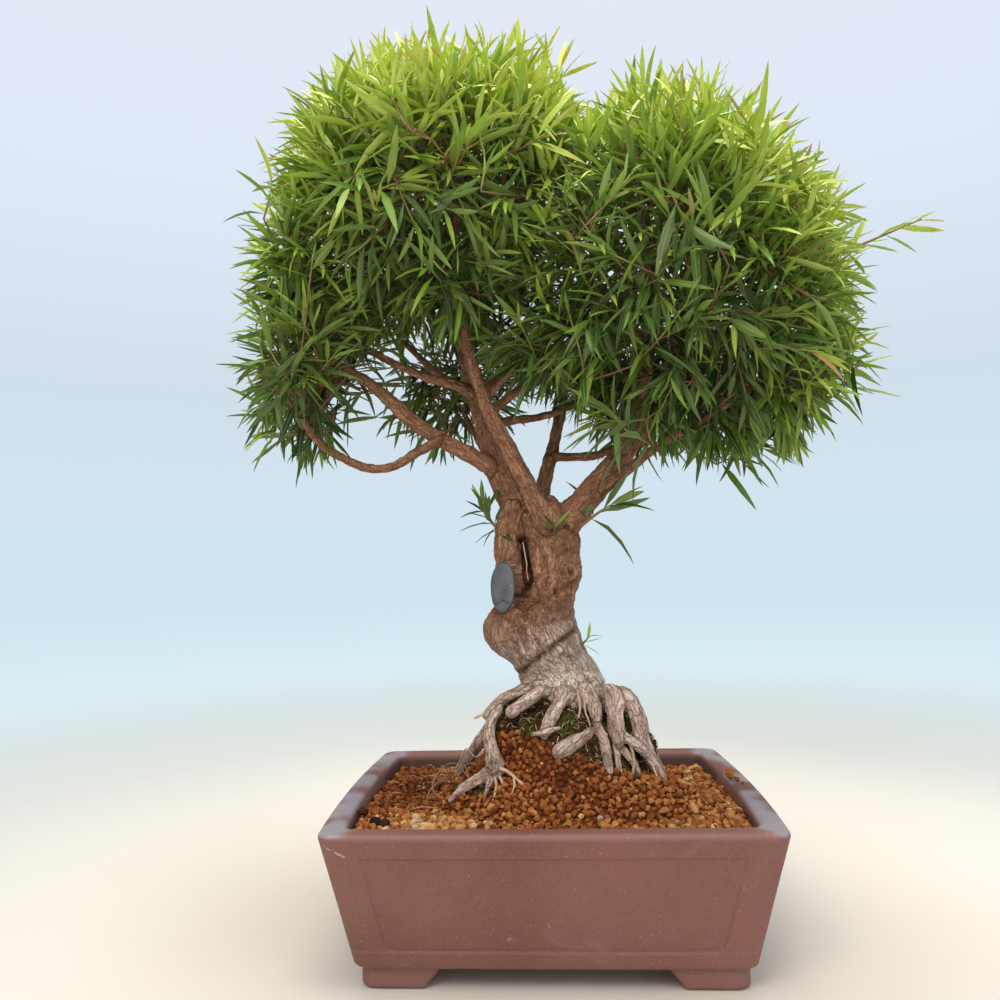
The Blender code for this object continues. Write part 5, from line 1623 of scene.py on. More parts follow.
@dataclass(frozen=True)
class Wound:
    """The oval scar with its paste, in its own directions: across, up and out."""

    centre: tuple[float, float, float] = (-32, -17, 256)
    normal: tuple[float, float, float] = (-0.66, -0.75, 0.05)
    half_width: float = 13.0
    half_height: float = 20.0

    def directions(self) -> np.ndarray:
        """Unit rows: across, up and out."""
        out = Vector(self.normal).normalized()
        across = UP.cross(out).normalized()
        return np.array((across, out.cross(across), out))

    def local(self, spots: np.ndarray) -> np.ndarray:
        """Millimetre points in the wound's own directions."""
        return (spots - np.array(self.centre)) @ self.directions().T

    def world(self, local: np.ndarray) -> np.ndarray:
        """Points of the wound's own directions back in millimetres."""
        return local @ self.directions() + np.array(self.centre)

    def reach(self, local: np.ndarray) -> np.ndarray:
        """0 at the oval's middle and 1 on its edge."""
        return np.hypot(local[:, 0] / self.half_width, local[:, 1] / self.half_height)


@dataclass(frozen=True)
class Crease:
    """A fold or crack in the front of the trunk, along a line of x and z."""

    line: tuple[tuple[float, float], ...]
    width: float
    depth: float
    # dark: how much painted shade the crease's hollow gets
    dark: float = 0.0
    stain: float = 0.0

    def away(self, spots: np.ndarray) -> np.ndarray:
        """Distance of each point from the line, as seen from the front."""
        seen = spots[:, [0, 2]]
        nearest = np.full(len(seen), 1e9)
        for start, stop in zip(self.line, self.line[1:]):
            start, run = np.array(start, float), np.subtract(stop, start).astype(float)
            share = np.clip((seen - start) @ run / (run @ run), 0, 1)
            nearest = np.minimum(nearest, np.linalg.norm(seen - start - share[:, None] * run, axis=1))
        return nearest


CREASES = (
    Crease(((24, 224), (18, 219), (9, 214), (-2, 206), (-10, 200), (-19, 191)), 2.2, 2.4, 0.55, 0.7),
    Crease(((-38, 237), (-25, 230), (-17, 222), (-14, 210)), 2.2, 1.6, 0.3, 0.6),
    Crease(((-17, 292), (-14, 275), (-12, 262), (-15, 250)), 2.8, 4.0, 0.9, 0.4),
    Crease(((-9, 245), (8, 250), (20, 256), (29, 262)), 2.4, 2.2, 0.35, 0.6),
    Crease(((20, 268), (21, 265)), 1.8, 3.4, 0.95, 0.5),
    Crease(((8, 254), (9, 252)), 1.6, 2.4, 0.8, 0.5),
    Crease(((-3, 228), (8, 231), (22, 233)), 1.8, 1.2, 0.2, 0.5),
    Crease(((-1, 236), (12, 239), (22, 241)), 1.8, 1.1, 0.15, 0.5),
    Crease(((-30, 212), (-18, 203), (-6, 196)), 1.8, 0.9, 0.15, 0.3),
    Crease(((14, 206), (24, 196), (32, 184)), 2.0, 0.9, 0.1, 0.2),
    Crease(((2, 300), (9, 298), (18, 302)), 1.8, 1.4, 0.3, 0.4),
    Crease(((4, 286), (12, 280), (22, 284)), 1.8, 1.1, 0.2, 0.3),
)
STAINS = (
    ((-14, 238), 13.0, 0.95),
    ((-2, 242), 10.0, 0.9),
    ((-18, 226), 8.0, 0.8),
    ((12, 246), 12.0, 0.7),
    ((-4, 212), 9.0, 0.5),
    ((-14, 200), 8.0, 0.6),
    ((12, 268), 9.0, 0.35),
    ((-30, 183), 13.0, 0.85),
    ((20, 292), 9.0, 0.4),
)


@dataclass
class Wood:
    """Trunk, limbs, twigs and surface roots, grown together under one fibrous bark."""

    bench: Bench
    bark: bpy.types.Material
    wound: Wound
    bodies: tuple[tuple[float, float, float], ...] = ((1.4, 0.0, 346.0), (2.1, 338.0, 900.0))
    step: float = 2.2
    smoothing_rounds: int = 5
    samples: list = field(default_factory=list)
    zones: list = field(default_factory=list)
    sides: list = field(default_factory=list)

    def stretches(self) -> Iterable[tuple[Route, Zone, int]]:
        """Every route, its zone and how many sides its tube has."""
        yield TRUNK, Zone.TRUNK, 40
        yield LEFT_COLUMN, Zone.TRUNK, 24
        yield CREVICE_BACK, Zone.TRUNK, 20
        for route in ROOTS:
            yield route, Zone.ROOT, 16
        for route in LIMBS.values():
            yield route, Zone.LIMB, 14

    def swollen(self, samples: np.ndarray, salt: float, zone: Zone) -> np.ndarray:
        """A tube's points with radii that swell and shrink a little, as grown wood does."""
        made = samples.copy()
        quick_share = 0.13 if zone is Zone.ROOT else 0.05
        for row in made:
            place = Vector((row[0], row[1], row[2] + salt * 97))
            slow = noise.noise(place / 26)
            quick = noise.noise(place / 8)
            row[3] *= 1 + 0.08 * slow + quick_share * quick
        return made

    def rough_body(self) -> bpy.types.Mesh:
        """The joined tubes and burls: one even mesh up to the first forks and one above."""
        for salt, (route, zone, sides) in enumerate(self.stretches()):
            self.samples.append(self.swollen(smooth_route(route, self.step), salt, zone))
            self.zones.append(zone)
            self.sides.append(sides)
        shells = Shells()
        for voxel, low, high in self.bodies:
            body = self.even_body(voxel, low, high)
            faces = [tuple(face.vertices) for face in body.data.polygons]
            shells.add(self.bench.measured(points_of(body.data)), faces)
            bpy.data.objects.remove(body)
        whole = shells.build("wood", self.bench)
        mesh = whole.data
        bpy.data.objects.remove(whole)
        return mesh

    def even_body(self, voxel: float, low: float, high: float) -> bpy.types.Object:
        """The wood between two heights, remeshed to this voxel size."""
        shells = Shells()
        for samples, zone, sides in zip(self.samples, self.zones, self.sides):
            rows = np.nonzero((samples[:, 2] >= low) & (samples[:, 2] <= high))[0]
            for run in np.split(rows, np.nonzero(np.diff(rows) > 1)[0] + 1):
                if len(run) > 1:
                    shells.add(*tube_shell(samples[run], sides, level=zone is Zone.TRUNK))
        if low < TRUNK[-1][2]:
            for centre, half in BURLS:
                shells.add(*ball_shell(centre, half))
        body = shells.build("even", self.bench)
        remesh = body.modifiers.new("even", "REMESH")
        remesh.mode = "VOXEL"
        remesh.voxel_size = voxel * MM
        bake_modifiers(body)
        return body

    def relaxed(self, spots: np.ndarray, edges: np.ndarray, rounds: int) -> np.ndarray:
        """Points smoothed without shrinking."""
        count = np.bincount(edges.ravel(), minlength=len(spots))[:, None]
        for turn in range(2 * rounds):
            near = np.zeros_like(spots)
            for axis in range(spots.shape[1]):
                near[:, axis] += np.bincount(
                    edges[:, 0], spots[edges[:, 1], axis], minlength=len(spots)
                )
                near[:, axis] += np.bincount(
                    edges[:, 1], spots[edges[:, 0], axis], minlength=len(spots)
                )
            pull = 0.5 if turn % 2 == 0 else -0.52
            spots = spots + pull * (near / np.maximum(count, 1) - spots)
        return spots

    def owners(self, spots: np.ndarray) -> tuple[np.ndarray, np.ndarray, np.ndarray]:
        """Which stretch each point lies on: its grain place, the stretch's radius and zone."""
        grain = np.zeros((len(spots), 3))
        radius = np.ones(len(spots))
        zone = np.zeros(len(spots), int)
        best = np.full(len(spots), 1e9)
        for salt, (samples, kind) in enumerate(zip(self.samples, self.zones)):
            places, radii = samples[:, :3], samples[:, 3]
            _, across, other = frames_along(places)
            run = np.concatenate([[0], np.cumsum(np.linalg.norm(np.diff(places, axis=0), axis=1))])
            low = places.min(0) - radii.max() - 12
            high = places.max(0) + radii.max() + 12
            near = np.nonzero(np.all((spots > low) & (spots < high), axis=1))[0]
            if not len(near):
                continue
            gaps = np.linalg.norm(spots[near][:, None] - places[None], axis=2)
            pick = np.argmin(gaps - radii[None], axis=1)
            rows = np.arange(len(near))
            error = np.abs(gaps[rows, pick] - radii[pick])
            wins = error < best[near]
            near, pick = near[wins], pick[wins]
            best[near] = error[wins]
            offset = spots[near] - places[pick]
            along = run[pick] + np.einsum("ij,ij->i", offset, np.cross(across[pick], other[pick]))
            grain[near, 0] = np.einsum("ij,ij->i", offset, across[pick])
            grain[near, 1] = np.einsum("ij,ij->i", offset, other[pick])
            grain[near, 2] = along + salt * 211
            radius[near] = radii[pick]
            zone[near] = kind.value
        return grain, radius, zone

    def relief(self, spots: np.ndarray, grain: np.ndarray, radius: np.ndarray, zone: np.ndarray):
        """How far the bark stands out at each point."""
        lumps = np.array([noise.noise(Vector(spot) / 17) for spot in spots])
        knots = np.array([noise.noise(Vector(spot) / 7.5) for spot in spots])
        warts = np.array([noise.noise(Vector(spot) / 3.8) for spot in spots])
        squeezed = grain * np.array((1.0, 1.0, 0.16))
        ridges = np.array([noise.noise(Vector(place) / 3.6) for place in squeezed])
        fine = np.array([noise.noise(Vector(place) / 1.7) for place in squeezed * (1, 1, 1.4)])
        slim = np.minimum(radius, 22) / 22
        height = lumps * 2.2 * slim + knots * 1.2 * slim**0.7
        height += (0.5 - 2 * np.abs(ridges)) * np.minimum(0.9, 0.1 * radius)
        height += fine * np.minimum(0.35, 0.06 * radius)
        burly = np.where(zone == Zone.ROOT.value, 0.6, np.where(spots[:, 2] > 250, 0.8, 0.3))
        return height + warts * burly * np.minimum(1.0, radius / 8)

    def carved(self, spots: np.ndarray, normals: np.ndarray):
        """Presses in creases and the wound's seat, and raises the callus round it.

        Returns:
            The new points, how stained each is, and the painted shade in the creases and round the wound's
            seat.
        """
        stain = np.zeros(len(spots))
        crevice_shade = np.zeros(len(spots))
        push = np.zeros(len(spots))
        ahead = smooth_step(0.0, 0.35, -normals[:, 1]) * (np.abs(spots[:, 0]) < 56)
        ahead = ahead * smooth_step(176, 184, spots[:, 2]) * (1 - smooth_step(300, 312, spots[:, 2]))
        for crease in CREASES:
            away = crease.away(spots) / crease.width
            near = ahead * np.exp(-(away**2))
            push -= crease.depth * near
            push += 0.4 * crease.depth * ahead * np.exp(-((away - 2.1) ** 2))
            # painted shade, deepest at the crease's middle
            crevice_shade = np.maximum(crevice_shade, crease.dark * near**2)
            stain = np.maximum(stain, crease.stain * np.sqrt(near))
        for centre, reach, strength in STAINS:
            gap = np.linalg.norm(spots[:, [0, 2]] - np.array(centre), axis=1) / reach
            stain = np.maximum(stain, strength * ahead * np.exp(-(gap**2)))
        spots = spots + normals * push[:, None]
        local = self.wound.local(spots)
        share = self.wound.reach(local)
        facing_out = (normals @ self.wound.directions()[2]) > -0.2
        close = facing_out & (local[:, 2] > -14) & (local[:, 2] < 26)
        seat = np.where(close, 1 - smooth_step(1.0, 1.14, share), 0)
        local[:, 2] += seat * (-0.5 - local[:, 2])
        lip = np.where(close, np.exp(-(((share - 1.24) / 0.13) ** 2)), 0)
        right_side = smooth_step(-0.6, 0.5, local[:, 0] / self.wound.half_width)
        local[:, 2] += lip * (1.0 + 1.3 * right_side)
        stain = np.maximum(stain, 0.85 * lip * right_side)
        # painted shade in the seam round the wound's seat
        rim = np.where(close, np.exp(-(((share - 1.06) / 0.05) ** 2)), 0)
        crevice_shade = np.maximum(crevice_shade, 0.5 * rim)
        return self.wound.world(local), stain, crevice_shade

    def cut_ring(self, spots: np.ndarray) -> tuple[np.ndarray, np.ndarray]:
        """The round cut end on the left root's knob: how far it is pushed in, and the painted shade in its
        groove.
        """
        centre, radius = np.array((-40, -36, 127)), 4.6
        flat = np.hypot(spots[:, 0] - centre[0], spots[:, 2] - centre[2])
        front = (spots[:, 1] < centre[1] + 4).astype(float)
        groove = front * np.exp(-(((flat - radius) / 0.9) ** 2))
        return -1.0 * groove, groove

    @staticmethod
    def browned(spots: np.ndarray, limb_part: np.ndarray) -> np.ndarray:
        """The share of limb bark, which also creeps down the trunk to its waist."""
        wander = np.array([noise.noise(Vector(spot) / 12) for spot in spots])
        high = spots[:, 2] - 0.35 * spots[:, 0] + 9 * wander
        return np.clip(np.maximum(limb_part, 0.95 * smooth_step(204, 252, high)), 0, 1)

    def build(self, twigs: Sequence[np.ndarray]) -> bpy.types.Object:
        """Builds the wood and dresses it.

        Args:
            twigs: The thin twigs that join the sprays to the limbs.
        """
        mesh = self.rough_body()
        edges = edges_of(mesh)
        spots = self.relaxed(self.bench.measured(points_of(mesh)), edges, self.smoothing_rounds)
        mesh.vertices.foreach_set("co", self.bench.placed(spots).astype(np.float32).ravel())
        mesh.update()
        normals = normals_of(mesh)
        grain, radius, zone = self.owners(spots)
        spots = spots + normals * self.relief(spots, grain, radius, zone)[:, None]
        spots, stain, crevice_shade = self.carved(spots, normals)
        push, groove = self.cut_ring(spots)
        spots += normals * push[:, None]
        # painted shade in the cut ring's groove
        crevice_shade = np.maximum(crevice_shade, groove * 0.7)
        weights = np.column_stack([grain, zone == 1, zone == 2]).astype(float)
        weights[:, 3:] = self.relaxed(weights[:, 3:], edges, 1)
        for _ in range(5):
            weights[:, 3:] = self.averaged(weights[:, 3:], edges)
        faces = [tuple(face.vertices) for face in mesh.polygons]
        shells = Shells()
        shells.add(
            spots, faces, grain=grain * MM, limb_part=self.browned(spots, weights[:, 3]),
            root_part=np.clip(weights[:, 4], 0, 1), stain=stain, crevice_shade=crevice_shade,
        )
        for salt, samples in enumerate(twigs):
            points, sides = tube_shell(samples, 7)
            across = points - np.repeat(points.reshape(-1, 7, 3).mean(1), 7, 0)
            place = np.column_stack([across[:, :2], points[:, 2] + salt * 31])
            shells.add(
                points, sides, grain=place * MM, limb_part=1.0, root_part=0.0, stain=0.0,
                crevice_shade=0.0,
            )
        bpy.data.meshes.remove(mesh)
        wood = shells.build("fig_wood", self.bench)
        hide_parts("wood")
        return dress(wood, Slot.BARK, self.bark)

    @staticmethod
    def averaged(values: np.ndarray, edges: np.ndarray) -> np.ndarray:
        """Each point's values averaged with its neighbours'."""
        total = values.copy()
        for axis in range(values.shape[1]):
            total[:, axis] += np.bincount(edges[:, 0], values[edges[:, 1], axis], len(values))
            total[:, axis] += np.bincount(edges[:, 1], values[edges[:, 0], axis], len(values))
        count = 1 + np.bincount(edges.ravel(), minlength=len(values))
        return total / count[:, None]


def ball_shell(centre: Any, half: Any) -> tuple[np.ndarray, list]:
    """The skin of an oval ball."""
    bm = bmesh.new()
    bmesh.ops.create_icosphere(bm, subdivisions=4, radius=1.0)
    points = np.array([vert.co for vert in bm.verts]) * np.array(half) + np.array(centre)
    faces = [tuple(vert.index for vert in face.verts) for face in bm.faces]
    bm.free()
    return points, faces


@dataclass
class CutPaste:
    """The oval of slate-grey paste on the wound, domed, with a crack near its foot."""

    bench: Bench
    paste: bpy.types.Material
    wound: Wound
    thick: float = 3.6
    sink: float = 1.6
    rings: int = 22
    spokes: int = 72

    def build(self) -> bpy.types.Object:
        """Builds the paste and dresses it."""
        rows = []
        paste_shade = []
        angles = np.arange(self.spokes) * 2 * math.pi / self.spokes
        shares = [(1.0 - 0.5 * (1 - step / 4), -self.sink + step / 4 * self.sink) for step in (2, 4)]
        profile = [(share, height) for share, height in shares]
        for step in range(1, self.rings + 1):
            share = math.cos(step / (self.rings + 1) * math.pi / 2) ** 0.7
            height = self.thick * (1 - share**4.5)
            profile.append((share, height))
        for share, height in profile:
            uneven = np.array([noise.noise(Vector((math.cos(a), math.sin(a), 4.2)) * 1.6) for a in angles])
            reach = share * (1 + 0.05 * uneven)
            x = self.wound.half_width * reach * np.cos(angles)
            y = self.wound.half_height * reach * np.sin(angles)
            skin = np.array([noise.noise(Vector((a, b, 0)) / 6) for a, b in zip(x, y)])
            crack_line = -11.5 + 1.2 * np.sin(x * 0.5) + 0.05 * x
            crack = np.exp(-(((y - crack_line) / 0.55) ** 2)) * smooth_step(0.4, 1.2, height)
            rows.append(np.column_stack([x, y, height + 0.3 * skin - 0.9 * crack]))
            # painted shade in the crack and along the sunk edge
            edge = smooth_step(0.93, 1.0, share) if height < 1.0 else 0.0
            paste_shade.append(np.maximum(crack * 0.85, edge))
        top = np.array([(0.0, 0.0, self.thick)])
        points = self.wound.world(np.vstack([*rows, top]))
        count = self.spokes
        faces = [tuple(reversed(range(count)))]
        for row in range(len(rows) - 1):
            for index in range(count):
                after = (index + 1) % count
                low, high = row * count, (row + 1) * count
                faces.append((low + index, low + after, high + after, high + index))
        last = (len(rows) - 1) * count
        for index in range(count):
            faces.append((last + index, last + (index + 1) % count, len(points) - 1))
        made = mesh_object("cut_paste", self.bench.placed(points), faces)
        carry(made.data, "crack_and_edge_shade", "FLOAT", np.concatenate([*paste_shade, [0.0]]))
        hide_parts("wound_paste")
        return dress(made, Slot.PASTE, self.paste)


NEAR_STATIONS = ((0.09, 0.016), (0.34, 0.062), (0.65, 0.057), (0.88, 0.026))
FAR_STATIONS = ((0.14, 0.035), (0.42, 0.07), (0.75, 0.046))


@dataclass(frozen=True)
class Blade:
    """One shape of leaf, a unit long along +Y with its upper side towards +Z."""

    arch: float
    twist: float
    sway: float
    fold: float
    stations: tuple[tuple[float, float], ...] = NEAR_STATIONS
    thickness: float = 0.012

    def mesh(self, name: str) -> bpy.types.Mesh:
        """The closed leaf, with its places across and along and the side that each point is on."""
        points, across, along, side = [(0.0, 0.0, 0.0)], [0.0], [0.0], [0.0]
        for place, half in self.stations:
            turn = self.twist * place
            drop = -self.arch * place**1.8
            drift = self.sway * place**2
            lift = half * self.fold
            rows = ((-half, lift, -1, 0), (0, self.thickness / 2, 0, 1), (half, lift, 1, 0))
            for x, z, at, face in (*rows, (0, -self.thickness / 2, 0, -1)):
                points.append(
                    (
                        drift + x * math.cos(turn) - z * math.sin(turn),
                        place,
                        drop + x * math.sin(turn) + z * math.cos(turn),
                    )
                )
                across.append(at)
                along.append(place)
                side.append(face)
        points.append((self.sway, 1.0, -self.arch))
        across.append(0.0)
        along.append(1.0)
        side.append(0.0)
        faces = [(0, 2, 1), (0, 3, 2), (0, 4, 3), (0, 1, 4)]
        last = len(points) - 1
        for row in range(len(self.stations) - 1):
            low, high = 1 + row * 4, 5 + row * 4
            for at in range(4):
                after = (at + 1) % 4
                faces.append((low + at, low + after, high + after, high + at))
        low = last - 4
        for at in range(4):
            faces.append((low + at, low + (at + 1) % 4, last))
        made = bpy.data.meshes.new(name)
        made.from_pydata(points, [], faces)
        bm = bmesh.new()
        bm.from_mesh(made)
        bmesh.ops.recalc_face_normals(bm, faces=bm.faces)
        bm.to_mesh(made)
        bm.free()
        made.shade_smooth()
        sharp = [False] * len(made.edges)
        for edge in made.edges:
            ends = [(vert - 1) % 4 if 0 < vert < last else None for vert in edge.vertices]
            on_rim = all(end in (0, 2) or end is None for end in ends)
            sharp[edge.index] = on_rim and any(end is not None for end in ends)
        layer = made.attributes.new("sharp_edge", "BOOLEAN", "EDGE")
        layer.data.foreach_set("value", sharp)
        carry(made, "across", "FLOAT", across)
        carry(made, "along", "FLOAT", along)
        carry(made, "face_side", "FLOAT", side)
        return made


NEAR_BLADES = (
    Blade(0.10, 0.2, 0.03, 0.35),
    Blade(0.24, -0.3, -0.09, 0.5),
    Blade(0.4, 0.35, 0.1, 0.3),
    Blade(0.16, -0.15, 0.16, 0.7),
    Blade(-0.06, 0.5, -0.14, 0.45),
    Blade(0.3, -0.5, 0.02, 0.2),
    Blade(-0.14, 0.1, 0.06, 0.5),
    Blade(0.5, 0.1, -0.05, 0.6),
)
FAR_BLADES = (
    Blade(0.15, 0.2, 0.05, 0.35, FAR_STATIONS),
    Blade(0.35, -0.3, -0.09, 0.4, FAR_STATIONS),
    Blade(-0.08, 0.3, 0.1, 0.5, FAR_STATIONS),
)


@dataclass(frozen=True)
class Cloud:
    """One rounded mass of the crown."""

    centre: tuple[float, float, float]
    half: tuple[float, float, float]

    def depth(self, spot: Any) -> float:
        """0 at the centre and 1 on the surface."""
        return math.dist(
            [s / h for s, h in zip(spot, self.half)], [c / h for c, h in zip(self.centre, self.half)]
        )


CLOUDS = (
    Cloud((-75, 5, 578), (168, 148, 140)),
    Cloud((108, 0, 500), (172, 142, 178)),
    Cloud((-182, 0, 432), (76, 95, 82)),
    Cloud((-178, 10, 520), (76, 115, 95)),
    Cloud((172, -5, 425), (106, 98, 92)),
    Cloud((-75, 110, 440), (85, 62, 70)),
    Cloud((-62, -58, 502), (60, 52, 66)),
)
CROWN_OUTLINE = (
    (-240, 382), (-245, 409), (-234, 440), (-243, 487), (-249, 516), (-245, 542), (-230, 567),
    (-222, 594), (-226, 621), (-215, 660), (-200, 677), (-184, 694), (-160, 714), (-113, 724),
    (-43, 724), (20, 722), (30, 700), (35, 668), (56, 664), (70, 684), (100, 692), (134, 682),
    (155, 668), (177, 654), (198, 637), (222, 614), (244, 594), (262, 560), (264, 536), (254, 514),
    (264, 487), (268, 463), (260, 442), (233, 420), (228, 399), (232, 360), (208, 352),
    (193, 357), (145, 352), (121, 359), (65, 373), (38, 364), (17, 407), (-16, 432), (-57, 452),
    (-115, 467), (-162, 460), (-173, 413), (-167, 356), (-201, 349), (-226, 359),
)


@dataclass
class Shoot:
    """One leafy shoot: where it ends, which way it points, and how deep in the crown it is."""

    tip: Vector
    heading: Vector
    layer: int
    length: float

    def base(self) -> Vector:
        """Where the shoot starts."""
        return self.tip - self.heading * self.length


@dataclass
class Spray:
    """The shoots that stand for one CAD spray, and where its twig reaches it."""

    node: str
    foot: Vector
    middle: Vector
    shoots: list[Shoot] = field(default_factory=list)

    def heading(self) -> Vector:
        """Which way the spray points."""
        return (self.middle - self.foot).normalized()


@dataclass
class Crown:
    """All the foliage: shoots on the clouds' surfaces, shared out among the sprays."""

    bench: Bench
    finishes: Finishes
    rng: random.Random
    layers: tuple[tuple[float, float], ...] = ((18.0, 22.0), (40.0, 30.0), (68.0, 44.0))
    upward: float = 0.4
    facing_share: float = 0.6
    highest: float = 706.0
    leaf_low: tuple[float, float, float] = (-264.0, -154.0, 180.0)
    leaf_high: tuple[float, float, float] = (334.0, 180.0, 732.0)
    left_most: float = -249.0
    front_most: float = -134.0
    back_most: float = 157.0
    leaf_length: tuple[float, float] = (26.0, 48.0)
    clumping: float = 0.17
    eye: tuple[float, float] = (-0.6, -644.1)
    eye_height: float = 272.0
    outline_depth: float = 20.0
    sprays: list[Spray] = field(default_factory=list)

    def find_sprays(self, nodes: dict[str, bpy.types.Object]) -> None:
        """Reads each CAD spray's foot and middle from the frame."""
        wood = nodes["wood"].data
        tree = BVHTree.FromPolygons(
            [vert.co for vert in wood.vertices], [tuple(face.vertices) for face in wood.polygons]
        )
        for name in sorted(nodes):
            if not name.startswith("spray_"):
                continue
            spots = points_of(nodes[name].data)
            foot = min(spots, key=lambda spot: tree.find_nearest(Vector(spot))[3])
            foot, middle = self.bench.measured([foot, spots.mean(0)])
            self.sprays.append(Spray(name, Vector(foot), Vector(middle)))

    def grow_shoots(self) -> list[Shoot]:
        """Shoots spread evenly over the clouds' surfaces, layer by layer."""
        shoots = []
        for layer, (inside, spacing) in enumerate(self.layers):
            for cloud in CLOUDS:
                shoots += self.shoots_on(cloud, layer, inside, spacing)
        return shoots

    def shoots_on(self, cloud: Cloud, layer: int, inside: float, spacing: float) -> list[Shoot]:
        """The shoots of one layer of one cloud."""
        half = Vector([max(size - inside, 10) for size in cloud.half])
        area = 4 * math.pi * ((half.x * half.y * half.z) ** (2 / 3))
        count = int(area / spacing**2)
        shoots = []
        for index in range(count):
            height = 1 - 2 * (index + 0.5) / count
            flat = math.sqrt(1 - height * height)
            angle = index * GOLDEN_ANGLE + layer
            direction = Vector((flat * math.cos(angle), flat * math.sin(angle), height))
            bumpy = 1 + self.clumping * noise.noise(direction * 4.6 + Vector(cloud.centre) / 70)
            centre = Vector(cloud.centre)
            tip = centre + direction * half * bumpy * self.rng.uniform(0.9, 1.04)
            tip += Vector([self.rng.uniform(-6, 6) for _ in range(3)])
            tip.x = max(tip.x, self.left_most + inside)
            tip.y = min(max(tip.y, self.front_most + inside), self.back_most - inside)
            if self.hidden(tip, cloud, inside):
                continue
            if direction.z < -0.55 and self.rng.random() < 0.35:
                continue
            tip.z = min(tip.z, self.highest - inside - self.rng.uniform(0, 12))
            normal = Vector([d / h for d, h in zip(direction, half)]).normalized()
            wild = Vector([self.rng.gauss(0, 0.34) for _ in range(3)])
            lift = self.upward if direction.z > -0.35 else 0.1
            flat_normal = Vector((normal.x, normal.y * self.facing_share, normal.z))
            heading = (flat_normal + Vector((0, 0, lift)) + wild).normalized()
            tip = self.fitted(tip, heading, centre, inside)
            if tip is None:
                continue
            shoot = Shoot(tip, heading, layer, self.rng.uniform(36, 58))
            if self.in_box(shoot.base()):
                shoots.append(shoot)
        return shoots

    def in_box(self, spot: Vector) -> bool:
        """Whether a place is within the crown's greatest reach."""
        return all(low < at < high for low, at, high in zip(self.leaf_low, spot, self.leaf_high))

    def fitted(self, tip: Vector, heading: Vector, centre: Vector, inside: float) -> Vector | None:
        """A shoot's tip drawn in until its leaves keep to the crown's outline, if it can be."""
        beyond = self.rng.uniform(5, 34)
        for share in (1.0, 0.95, 0.9, 0.85, 0.8, 0.75, 0.7):
            spot = centre.lerp(tip, share)
            reach = spot + heading * beyond + (spot - centre).normalized() * (inside - 18)
            if self.in_outline(reach):
                return spot
        behind = tip.y > 55 and 385 < tip.z < 480 and -160 < tip.x < 190
        if behind and self.rng.random() < (0.5 if tip.x < -30 else 0.2):
            return tip
        return None

    def in_outline(self, spot: Vector) -> bool:
        """Whether a place, seen from the front, is within the crown's outline."""
        scale = (self.outline_depth - self.eye[1]) / (spot.y - self.eye[1])
        x = self.eye[0] + (spot.x - self.eye[0]) * scale
        z = self.eye_height + (spot.z - self.eye_height) * scale
        inside = False
        for (x_1, z_1), (x_2, z_2) in zip(CROWN_OUTLINE, CROWN_OUTLINE[1:] + CROWN_OUTLINE[:1]):
            if (z_1 > z) != (z_2 > z) and x < x_1 + (x_2 - x_1) * (z - z_1) / (z_2 - z_1):
                inside = not inside
        return inside

    @staticmethod
    def hidden(tip: Vector, cloud: Cloud, inside: float) -> bool:
        """Whether a shoot's tip lies well inside another cloud."""
        for other in CLOUDS:
            if other is cloud:
                continue
            limit = 0.97 - inside / min(other.half)
            if other.depth(tip) < limit:
                return True
        return False

    def share_out(self, shoots: list[Shoot]) -> None:
        """Gives each shoot to the spray nearest its base."""
        for shoot in shoots:
            base = shoot.base()
            nearest = min(
                self.sprays,
                key=lambda spray: (spray.foot.lerp(spray.middle, 0.5) - base).length,
            )
            nearest.shoots.append(shoot)

    def twigs(self) -> list[np.ndarray]:
        """The twig from the nearest limb to the foot of each spray."""
        wood = []
        for route in LIMBS.values():
            wood += [Vector(row[:3]).to_tuple() + (row[3],) for row in smooth_route(route[1:], 9.0)]
        fork = Vector((0, 10, 320))
        made = []
        for spray in sorted(self.sprays, key=lambda spray: (spray.foot - fork).length):
            heading = spray.heading()
            back = spray.foot - heading * 14

            def cost(row: tuple) -> float:
                run = back - Vector(row[:3])
                backwards = max(-run.normalized().dot(heading), 0.0)
                return run.length * (1 + backwards) + (0 if row[3] > 1.9 else 1000)

            start = min(wood, key=cost)
            thick = min(start[3] * 0.8, 2.8)
            middle = Vector(start[:3]).lerp(back, 0.5)
            middle += Vector([self.rng.uniform(-4, 4), self.rng.uniform(-4, 4), 4])
            route = (
                (*start[:3], thick), (*middle, (thick + 1.7) / 2), (*back, 1.75),
                (*spray.foot, 1.6), (*(spray.foot + heading * 3), 1.5),
            )
            samples = smooth_route(route, 5.0)
            made.append(samples)
            wood += [tuple(row) for row in samples[2:-2]]
        return made

    def tint(self, shoot: Shoot) -> float:
        """How light a shoot's leaves are, from 0 for dark to 1: partly their age, partly painted light."""
        # Painted light: leaves high in the crown and at its right and left edges are lighter; deeper in,
        # leaves are darker, partly older and partly in painted shade.
        high = float(smooth_step(400, 680, shoot.tip.z))
        outer = 0.31 * float(smooth_step(90, 240, shoot.tip.x))
        outer += 0.08 * float(smooth_step(110, 240, -shoot.tip.x))
        value = 0.17 + 0.54 * high + outer - 0.12 * shoot.layer + self.rng.gauss(0, 0.08)
        # painted shade on shoots that hang down
        if shoot.heading.z < -0.1:
            value -= 0.06
        return value

